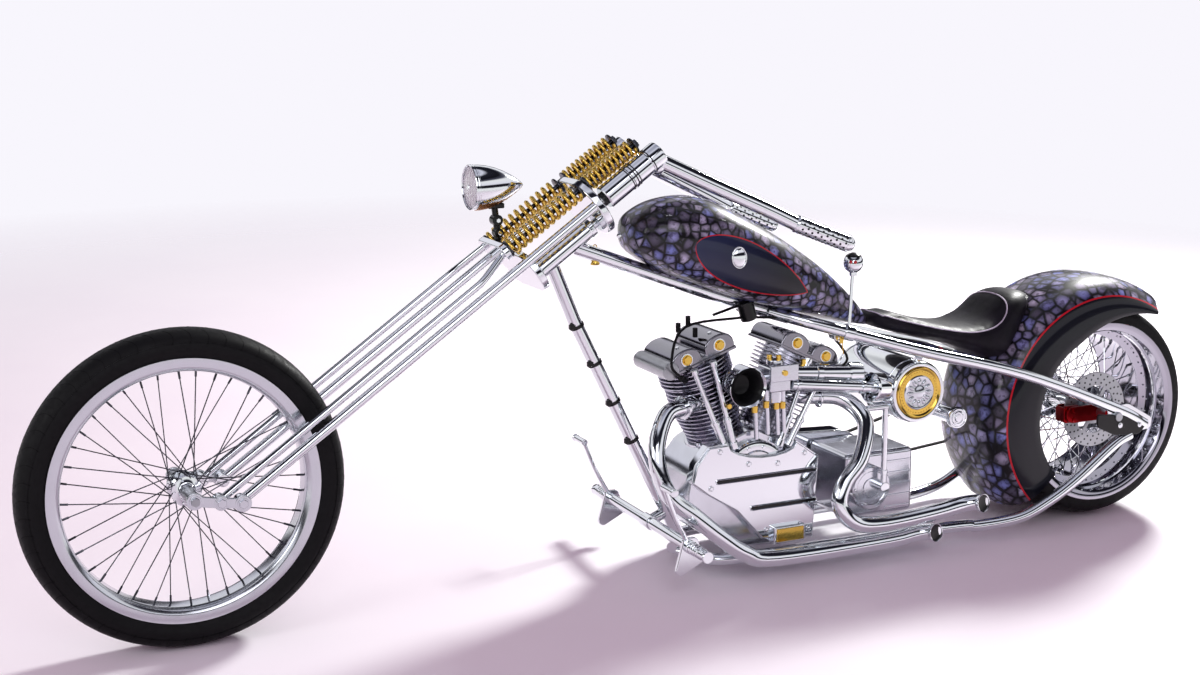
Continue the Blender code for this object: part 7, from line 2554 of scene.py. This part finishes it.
@dataclass
class Bodywork:
    """Tank, fender and seat."""

    tank_nose: float = 1.515
    tank_length: float = 0.755
    tank_top: float = 1.040
    tank_height: float = 0.400
    tank_half_width: float = 0.150
    seat_nose: float = 0.750
    seat_length: float = 0.555
    seat_top: float = 0.706
    seat_height: float = 0.200
    seat_half_width: float = 0.140
    seat_swell: float = 0.006
    seat_voxel: float = 0.006
    fender_angles: tuple[float, float] = (-43.0, 122.0)
    flange_top: float = 0.352
    taper_start: float = 62.0
    taper_share: float = 0.86
    taper_ease: float = 1.4
    seat_clearance: float = 0.409
    clearance_flat: float = 0.04
    clearance_fall: float = 2.4
    padding_frames: int = 20

    def tank(self) -> Shape:
        """The stretched teardrop tank."""
        sections = []
        for along, top, bottom, wide in between_shares(TANK, 5):
            x = self.tank_nose - self.tank_length * along
            low, high = self.tank_top - self.tank_height * bottom, self.tank_top - self.tank_height * top
            sections.append((x, max(self.tank_half_width * wide, 0.004), low, high))
        return lofted(sections, 0.8, 56)

    def cap(self) -> Shape:
        """The tank's filler cap, with a fluted edge."""
        foot = Vector((1.253, 0.042, 0.996))
        up = Vector((0.10, 0.10, 1)).normalized()
        profile = [
            (0, 0), (0, 0.0300), (3 * MM, 0.0305), (5 * MM, 0.0280), (7 * MM, 0.0240), (0.014, 0.0240),
            (0.0160, 0.0215), (0.0165, 0.012), (0.0170, 0),
        ]
        shape = lathe(profile, foot, up, 48)
        flute = rod(foot + Vector((0.0238, 0, 0.0075)), foot + Vector((0.0238, 0, 0.0138)), 1.8 * MM, 8)
        return gathered(shape, copies_round(flute, foot, up, 28))

    def badge(self) -> Shape:
        """A plain bright oval on the tank's left side."""
        spot = Vector((1.250, 0.1500, 0.888))
        shape = ball((0, 0, 0), 1.0, 32)
        bmesh.ops.scale(shape, vec=(0.020, 0.0085, 0.027), verts=shape.verts)
        ring = hoop((0, 0, 0), ACROSS, 1.0, 0.09, 48)
        bmesh.ops.scale(ring, vec=(0.021, 0.030, 0.028), verts=ring.verts)
        whole = gathered(shape, ring)
        turn = Matrix.Rotation(math.radians(6), 4, "Y") @ Matrix.Rotation(math.radians(-2), 4, "Z")
        bmesh.ops.transform(whole, matrix=Matrix.Translation(spot) @ turn, verts=whole.verts)
        return whole

    def fender(self) -> Shape:
        """The fender's crowned shell with its side flanges."""
        outer = [
            (0.0, 0.405), (0.040, 0.4042), (0.080, 0.4005), (0.112, 0.3920), (0.138, 0.3780),
            (0.156, 0.3600), (0.1665, 0.3400),
            (0.1715, 0.3180), (0.1735, 0.2950), (0.1738, 0.2700), (0.1738, 0.2480), (0.1725, 0.2455),
        ]
        flange = [(0.1738, 0.2480), (0.1738, 0.2950), (0.1712, 0.3170), (0.1655, 0.3370)]
        inner = [(y - 3.6 * MM, r) for y, r in flange]
        inner += [
            (0.1520, 0.3570), (0.1340, 0.3745), (0.1085, 0.3882), (0.078, 0.3966), (0.040, 0.4003),
            (0.0, 0.4010),
        ]
        section = [(y, r) for y, r in outer] + inner + [(-y, r) for y, r in reversed(inner[:-1])] + [
            (-y, r) for y, r in reversed(outer[1:])
        ]
        bm = bmesh.new()
        start = math.radians(self.fender_angles[0])
        centre = Vector((0, 0, REAR_RADIUS))
        verts = [
            bm.verts.new(centre + Vector((r * math.cos(start), y, r * math.sin(start)))) for y, r in section
        ]
        edges = [bm.edges.new(pair) for pair in zip(verts, verts[1:] + verts[:1])]
        sweep = math.radians(self.fender_angles[1] - self.fender_angles[0])
        bmesh.ops.spin(bm, geom=verts + edges, axis=-ACROSS, cent=centre, steps=96, angle=sweep)
        bmesh.ops.remove_doubles(bm, verts=bm.verts, dist=MM / 100)
        bmesh.ops.holes_fill(bm, edges=[e for e in bm.edges if e.is_boundary], sides=0)
        bmesh.ops.recalc_face_normals(bm, faces=bm.faces)
        for vert in bm.verts:
            reach = Vector((vert.co.x, 0, vert.co.z - REAR_RADIUS))
            angle = math.degrees(math.atan2(reach.z, reach.x))
            taper = self.fender_angles[1] - self.taper_start
            late = min(max((angle - self.taper_start) / taper, 0.0), 1.0)
            if reach.length < self.flange_top:
                drop = (self.flange_top - reach.length) * (1 - self.taper_share * late ** self.taper_ease)
                reach *= (self.flange_top - drop) / reach.length
                vert.co = Vector((reach.x, vert.co.y, REAR_RADIUS + reach.z))
        return bm

    def bosses(self) -> Shape:
        """The bright bosses that hold the fender to the stays."""
        parts = []
        for x in (0.262, 0.235):
            spot = stay_point(x)
            start = Vector((x, 0.172, spot.z))
            parts.append(rod(start, spot, 0.0095, 24))
        return both_sides(gathered(*parts))

    def saddle_form(self) -> Shape:
        """The seat's closed form before it is padded, kept off the fender."""
        sections = []
        for along, top, bottom, wide in between_shares(SADDLE, 4):
            x = self.seat_nose - self.seat_length * along
            low, high = self.seat_top - self.seat_height * bottom, self.seat_top - self.seat_height * top
            slim = 3 * MM
            sections.append(
                (
                    x, max(self.seat_half_width * wide - slim, 0.006), low + slim / 2,
                    max(high - slim, low + 8 * MM),
                )
            )
        return lofted(sections, 0.66, 40)

    def clear_of_fender(self, mesh: bpy.types.Mesh) -> None:
        """Moves a seat's points out of the fender.

        Args:
            mesh: The seat's mesh, in the row frame.
        """
        back = PLACEMENT.inverted()
        for vert in mesh.vertices:
            spot = back @ vert.co
            reach = Vector((spot.x, 0, spot.z - REAR_RADIUS))
            aside = max(0.0, abs(spot.y) - self.clearance_flat)
            slope = self.seat_clearance - aside ** 2 * self.clearance_fall
            if MM < reach.length < slope:
                reach *= slope / reach.length
                vert.co = PLACEMENT @ Vector((reach.x, spot.y, REAR_RADIUS + reach.z))

    def seat(self, shop: Workshop) -> bpy.types.Object:
        """Pads the seat by cloth simulation, and mounts it.

        Args:
            shop: The workshop.

        Returns:
            The seat.
        """
        piece = shop.mount(self.saddle_form(), "saddle", PaintShop.LEATHER, Body.FRAME, "seat", crease=60)
        scene = bpy.context.scene
        bpy.context.view_layer.objects.active = piece
        remesh = piece.modifiers.new("even", "REMESH")
        remesh.mode = "VOXEL"
        remesh.voxel_size = self.seat_voxel
        smooth = piece.modifiers.new("soften", "SMOOTH")
        smooth.factor = 0.5
        smooth.iterations = 6
        graph = bpy.context.evaluated_depsgraph_get()
        even = bpy.data.meshes.new_from_object(piece.evaluated_get(graph))
        piece.modifiers.clear()
        piece.data = even
        self.clear_of_fender(even)
        before = [vert.co.copy() for vert in even.vertices]
        cloth = piece.modifiers.new("padding", "CLOTH")
        settings = cloth.settings
        settings.quality = 5
        settings.use_pressure = True
        settings.uniform_pressure_force = 4
        settings.effector_weights.gravity = 0
        cloth.collision_settings.use_collision = False
        for frame in range(1, self.padding_frames + 1):
            scene.frame_set(frame)
        swollen = bpy.data.meshes.new_from_object(
            piece.evaluated_get(bpy.context.evaluated_depsgraph_get())
        )
        piece.modifiers.clear()
        scene.frame_set(1)
        for vert, start in zip(swollen.vertices, before):
            move = vert.co - start
            if move.length > self.seat_swell:
                vert.co = start + move.normalized() * self.seat_swell
        self.clear_of_fender(swollen)
        piece.data = swollen
        piece.data.shade_smooth()
        finer = piece.modifiers.new("finer", "SUBSURF")
        finer.levels = finer.render_levels = 1
        if not piece.data.materials:
            piece.data.materials.append(shop.shop.get(PaintShop.LEATHER))
        return piece

    def seams(self, shop: Workshop, seat: bpy.types.Object) -> None:
        """Light piping along the seat's upper edges and up round its hump.

        Args:
            shop: The workshop.
            seat: The padded seat.
        """
        left = []
        for along, top, bottom, wide in between_shares(SADDLE, 4):
            if 0.03 <= along <= 0.73:
                middle = self.seat_top - self.seat_height * (top + bottom) / 2
                rise = self.seat_height * (bottom - top) / 2 * 0.84
                left.append(
                    Vector(
                        (
                            self.seat_nose - self.seat_length * along, self.seat_half_width * wide * 0.86,
                            middle + rise,
                        )
                    )
                )
        nose = Vector((left[0].x + 0.010, 0, left[0].z + 0.002))
        shoulder, crown = left[-1], Vector(
            (self.seat_nose - self.seat_length * 0.80, 0, self.seat_top - 0.010)
        )
        over = []
        for k in range(1, 9):
            swing = TURN / 4 * k / 8
            reach = math.sin(swing) ** 0.8
            over.append(
                Vector(
                    (
                        shoulder.x + (crown.x - shoulder.x) * reach, shoulder.y * math.cos(swing),
                        shoulder.z + (crown.z - shoulder.z) * reach,
                    )
                )
            )
        edge = [nose] + left + over
        routes = [edge, other_side(edge)]
        snapped = []
        for route in routes:
            points = []
            for point in eased(route, 4):
                hit, spot, normal, _ = seat.closest_point_on_mesh(PLACEMENT @ point)
                points.append(spot + normal * 0.4 * MM if hit else PLACEMENT @ point)
            snapped.append(points)
        shop.mount(
            piping(snapped, 2.1 * MM, 8), "saddle_piping", PaintShop.PIPING, Body.FRAME, crease=60,
            placed=True,
        )

    def build(self, shop: Workshop) -> None:
        """Builds and mounts the bodywork.

        Args:
            shop: The workshop.
        """
        body = Body.FRAME
        shop.mount(
            self.tank(), "fuel_tank_painted", PaintShop.ART.tank(), body, "fuel_tank", slot=Slot.LACQUER,
            crease=60,
        )
        shop.mount(self.cap(), "filler_cap", PaintShop.CHROME, body)
        shop.mount(self.badge(), "tank_badge", PaintShop.CHROME, body, crease=50)
        shop.mount(
            self.fender(), "rear_fender_painted", PaintShop.ART.fender(), body, "rear_fender",
            slot=Slot.LACQUER, crease=60,
        )
        shop.mount(self.bosses(), "fender_bosses", PaintShop.CHROME, body)
        self.seams(shop, self.seat(shop))


# Controls


@dataclass
class Controls:
    """Foot controls, shift lever and the small fittings."""

    bar_x: float = 1.447
    bar_z: float = 0.142
    bar_radius: float = 0.016
    half_width: float = 0.240
    plate_size: float = 0.080

    def bar(self) -> Shape:
        """The forward control bar with its mount to the front tube."""
        centre, reach = Vector((self.bar_x, 0, self.bar_z)), ACROSS * self.half_width
        foot = frame_route(DOWNTUBE)[1].lerp(frame_route(DOWNTUBE)[2], 0.85)
        return gathered(
            rod(centre - reach, centre + reach, self.bar_radius, 32, 2 * MM),
            rod(centre, foot, self.bar_radius, 28),
            rod(centre - ACROSS * 0.024, centre + ACROSS * 0.024, self.bar_radius + 4 * MM, 32, 2 * MM),
        )

    def control(self) -> Shape:
        """The left plate with its peg and forked pedal."""
        low, high = self.half_width + 0.3 * MM, self.half_width + 12 * MM
        shares = ((-0.25, 0.30), (0.22, 0.32), (0.55, -0.85), (0.35, -1.0), (-0.55, -0.55))
        outline = [(self.bar_x + x * self.plate_size, self.bar_z + z * self.plate_size) for x, z in shares]
        root = Vector((self.bar_x, high, self.bar_z))
        peg = [(-2 * MM, 0), (-2 * MM, 0.018), (8 * MM, 0.018), (9 * MM, 0.0155)]
        for k in range(6):
            place = 0.016 + 0.0125 * k
            peg += [
                (place, 0.0155), (place + 1 * MM, 0.0172 - 0.0004 * k),
                (place + 8 * MM, 0.0170 - 0.0004 * k), (place + 9 * MM, 0.0150),
            ]
        peg += [(0.0945, 0.0150), (0.0975, 0.0165), (0.100, 0.0150), (0.100, 0)]
        base = Vector((self.bar_x, (low + high) / 2, self.bar_z))
        top = base + Vector((0.080, 0.012, 0.175))
        toe = [
            (-6 * MM, 0), (-6 * MM, 0.008), (0, 0.009), (0.052, 0.009), (0.055, 0.0112), (0.059, 0.0112),
            (0.060, 0.0095), (0.060, 0),
        ]
        return gathered(
            slab(rounded(outline, 0.010), low, high, 2 * MM), lathe(peg, root, ACROSS, 32),
            piping([[base, base.lerp(top, 0.5) + Vector((0.004, 0, -0.004)), top]], 0.0062, 16, ease=True),
            lathe(toe, top, ACROSS, 28),
            rod(base - ACROSS * 7 * MM, base + ACROSS * 9 * MM, 0.0125, 28, 1.5 * MM),
            rod(top - ACROSS * 8 * MM, top + ACROSS * 6 * MM, 0.0092, 24, 1 * MM),
        )

    def lever(self) -> Shape:
        """The hand shift lever with its clamp and plain round knob."""
        low = stay_point(0.880)
        top = low + Vector((-0.010, 0, 0.197))
        along = (stay_point(0.888) - low).normalized()
        return gathered(
            rod(low, top, 0.0050, 20),
            rod(low - along * 15 * MM, low + along * 15 * MM, 0.0225, 32, 2 * MM),
            ball(top, 0.0285, 32),
            rod(top - Vector((0, 0, 0.036)), top - Vector((0, 0, 0.024)), 0.0105, 24, 1.5 * MM),
        )

    def knob_trim(self) -> tuple[Shape, Shape]:
        """The knob's dark cap and its two red beads."""
        top = stay_point(0.880) + Vector((-0.010, 0, 0.197))
        cap = lathe(
            [(0.0185, 0.0225), (0.0205, 0.0215), (0.0265, 0.0125), (0.0292, 0.004), (0.0296, 0)],
            top,
            (0, 0, 1),
            32,
        )
        beads = []
        for turn in (0.36, 0.84):
            aim = Vector((math.sin(turn), math.cos(turn), 0.22)).normalized()
            beads.append(ball(top + aim * 0.0275, 5.2 * MM, 14))
        return cap, gathered(*beads)

    def bell(self) -> Shape:
        """The small gold bell that hangs under the neck."""
        profile = [
            (0, 0), (0, 0.0016), (-0.014, 0.0018), (-0.017, 0.0050), (-0.028, 0.0075), (-0.038, 0.0098),
            (-0.043, 0.0125), (-0.0445, 0.0118), (-0.040, 0.0090), (-0.022, 0.004), (-0.018, 0),
        ]
        return gathered(
            lathe(profile, (1.6035, 0, 0.918), (0, 0, 1), 36),
            hoop((1.6035, 0, 0.922), ACROSS, 5 * MM, 1.3 * MM, 24),
        )

    def key(self) -> tuple[Shape, Shape]:
        """The switch below the seat's nose, and its gold key."""
        face = Vector((0.902, 0.098, 0.635))
        switch = gathered(
            rod(face - ACROSS * 0.030, face, 0.0150, 32, 2 * MM), hoop(face, ACROSS, 0.0115, 1.6 * MM, 32)
        )
        key = gathered(
            rod(face, face + ACROSS * 0.014, 3.5 * MM, 16),
            soft_block(
                face + Vector((-0.0075, 0.012, -0.019)), face + Vector((0.0055, 0.0155, 0.004)), 1.4 * MM
            ),
            piping(
                [[face + Vector((-0.003, 0.014, -0.016)), face + Vector((-0.008, 0.014, -0.050))]],
                1.6 * MM,
                8,
            ),
        )
        return switch, key

    def build(self, shop: Workshop) -> None:
        """Builds and mounts the controls.

        Args:
            shop: The workshop.
        """
        body, chrome = Body.FRAME, PaintShop.CHROME
        shop.mount(self.bar(), "foot_bar_plated", chrome, body, "foot_control_bar")
        for name, flip in (("left", False), ("right", True)):
            control = flipped(self.control()) if flip else self.control()
            shop.mount(control, f"foot_control_{name}_plated", chrome, body, f"foot_control_{name}")
        shop.mount(self.lever(), "shift_lever_plated", chrome, body, "shift_lever")
        cap, beads = self.knob_trim()
        shop.mount(cap, "shift_knob_cap", PaintShop.BLACK, body, crease=50)
        shop.mount(beads, "shift_knob_beads", PaintShop.BEAD, body, crease=50)
        shop.mount(self.bell(), "frame_bell", PaintShop.GOLD, body, crease=40)
        switch, key = self.key()
        shop.mount(switch, "ignition_switch", chrome, body)
        shop.mount(key, "ignition_key", PaintShop.GOLD, body)


# Studio


@dataclass
class Studio:
    """Pale floor, soft light and the camera at the photograph's view."""

    place: Vector = field(default_factory=lambda: Vector((2.0724, 4.0240, 1.7919)))
    yaw: float = 24.757
    pitch: float = 14.0388
    roll: float = 0.8507
    focal: float = 1718.738
    frame_width: float = 1200.0
    floor_colour: str = "#FBFAFD"
    floor_size: float = 24.0
    fade: tuple[float, float] = (2.2, 6.5)

    def camera(self) -> None:
        """Makes the camera and sets it."""
        data = bpy.data.cameras.new("view")
        data.sensor_width = 36.0
        data.lens = self.focal / self.frame_width * data.sensor_width
        data.clip_end = 100
        yaw, pitch, roll = (math.radians(v) for v in (self.yaw, self.pitch, self.roll))
        ahead = Vector(
            (-math.sin(yaw) * math.cos(pitch), -math.cos(yaw) * math.cos(pitch), -math.sin(pitch))
        )
        right = ahead.cross(Vector((0, 0, 1))).normalized()
        up = right.cross(ahead)
        c, s = math.cos(roll), math.sin(roll)
        right, up = right * c + up * s, up * c - right * s
        camera = bpy.data.objects.new("view", data)
        turn = Matrix((right, up, -ahead)).transposed().to_4x4()
        camera.matrix_world = Matrix.Translation(self.place) @ turn
        bpy.context.scene.collection.objects.link(camera)
        bpy.context.scene.camera = camera

    def floor(self) -> None:
        """Lays the pale floor."""
        bm = bmesh.new()
        bmesh.ops.create_grid(bm, x_segments=1, y_segments=1, size=self.floor_size / 2)
        mesh = bpy.data.meshes.new("floor")
        bm.to_mesh(mesh)
        bm.free()
        recipe = Recipe("matt_studio_floor")
        tone = recipe.blend(
            recipe.between(recipe.noise(0.8, 3), 0.0, 1.0), linear(self.floor_colour), linear("#F6F4F9")
        )
        recipe.feed(recipe.shader, {"Base Color": tone, "Roughness": 0.9, "Specular IOR Level": 0.1})
        far = recipe.add(
            "ShaderNodeVectorMath", {"operation": "LENGTH"}, {0: recipe.places()}
        ).outputs["Value"]
        fade = recipe.between(far, 0.0, 1.0, self.fade[0], self.fade[1])
        clear = recipe.add("ShaderNodeBsdfTransparent")
        mix = recipe.add(
            "ShaderNodeMixShader", {}, {0: fade, 1: recipe.shader.outputs[0], 2: clear.outputs[0]}
        )
        recipe.feed(recipe.output, {"Surface": mix.outputs[0]})
        mesh.materials.append(recipe.material)
        floor = bpy.data.objects.new("floor", mesh)
        bpy.context.scene.collection.objects.link(floor)

    def world(self) -> None:
        """Soft light from all round, and a banded sky that the bright plating mirrors."""
        world = bpy.data.worlds.new("studio")
        world.use_nodes = True
        tree = world.node_tree
        tree.nodes.clear()
        path = tree.nodes.new("ShaderNodeLightPath")
        spot = tree.nodes.new("ShaderNodeTexCoord")
        parts = tree.nodes.new("ShaderNodeSeparateXYZ")
        tree.links.new(spot.outputs["Generated"], parts.inputs[0])
        height = tree.nodes.new("ShaderNodeMapRange")
        height.inputs[1].default_value = -1.0
        tree.links.new(parts.outputs[2], height.inputs[0])
        ramp = tree.nodes.new("ShaderNodeValToRGB")
        tree.links.new(height.outputs[0], ramp.inputs[0])
        stops = (
            (0.0, "#FFFFFF"), (0.497, "#FFFFFF"), (0.512, "#34343F"), (0.56, "#121218"), (0.605, "#1C1C24"),
            (0.63, "#F6F4FF"),
            (0.76, "#FFFFFF"), (0.79, "#50505F"), (0.84, "#16161D"), (0.92, "#24242E"), (0.95, "#E8E8F6"),
            (1.0, "#8C8CA0"),
        )
        while len(ramp.color_ramp.elements) < len(stops):
            ramp.color_ramp.elements.new(0.5)
        for element, (at, code) in zip(ramp.color_ramp.elements, stops):
            element.position = at
            element.color = linear(code)
        mirrored = tree.nodes.new("ShaderNodeBackground")
        tree.links.new(ramp.outputs[0], mirrored.inputs[0])
        lit = tree.nodes.new("ShaderNodeBackground")
        lit.inputs[0].default_value = linear("#EDC4E0")
        lit.inputs[1].default_value = 0.42
        plain = tree.nodes.new("ShaderNodeBackground")
        plain.inputs[0].default_value = linear("#F8F6FD")
        first = tree.nodes.new("ShaderNodeMixShader")
        tree.links.new(path.outputs["Is Glossy Ray"], first.inputs[0])
        tree.links.new(lit.outputs[0], first.inputs[1])
        tree.links.new(mirrored.outputs[0], first.inputs[2])
        seen = tree.nodes.new("ShaderNodeMath")
        seen.operation = "MAXIMUM"
        tree.links.new(path.outputs["Is Camera Ray"], seen.inputs[0])
        tree.links.new(path.outputs["Is Transmission Ray"], seen.inputs[1])
        mix = tree.nodes.new("ShaderNodeMixShader")
        tree.links.new(seen.outputs[0], mix.inputs[0])
        tree.links.new(first.outputs[0], mix.inputs[1])
        tree.links.new(plain.outputs[0], mix.inputs[2])
        out = tree.nodes.new("ShaderNodeOutputWorld")
        tree.links.new(mix.outputs[0], out.inputs[0])
        bpy.context.scene.world = world

    def lamp(self, name: str, place: Sequence[float], size: float, watts: float, code: str) -> None:
        """Hangs one soft lamp that looks at the bike's middle.

        Args:
            name: The lamp's name.
            place: Where it hangs.
            size: The side of its panel.
            watts: Its power.
            code: Its colour.
        """
        data = bpy.data.lights.new(name, "AREA")
        data.shape = "SQUARE"
        data.size = size
        data.energy = watts
        data.color = linear(code)[:3]
        lamp = bpy.data.objects.new(name, data)
        target = Vector((0, 0, 0.4))
        aim = (Vector(place) - target).to_track_quat("Z", "Y").to_matrix().to_4x4()
        lamp.matrix_world = Matrix.Translation(place) @ aim
        bpy.context.scene.collection.objects.link(lamp)

    def build(self) -> None:
        """Sets the studio up."""
        self.camera()
        self.floor()
        self.world()
        self.lamp("key", (-4.2, -2.2, 3.6), 1.0, 455, "#FFFFFC")
        self.lamp("fill", (1.6, 4.8, 3.6), 3.0, 60, "#F8F6FF")
        self.lamp("nose", (5.0, 1.2, 2.6), 2.0, 40, "#FFFFFF")
        bpy.context.scene.view_settings.view_transform = "Standard"


def main() -> None:
    """Builds every sub-assembly in order."""
    logging.basicConfig(level=logging.INFO, format="%(name)s: %(message)s")
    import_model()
    studio = Studio()
    studio.build()
    shop = Workshop()
    for part in (
        FrontWheel(), RearWheel(), SpringerFork(), BarsAndLamp(), FrameTubes(), Engine(), Drive(),
        Bodywork(), Controls(),
    ):
        part.build(shop)
    LOG.info("%d pieces mounted", shop.count)


if __name__ == "__main__":
    main()
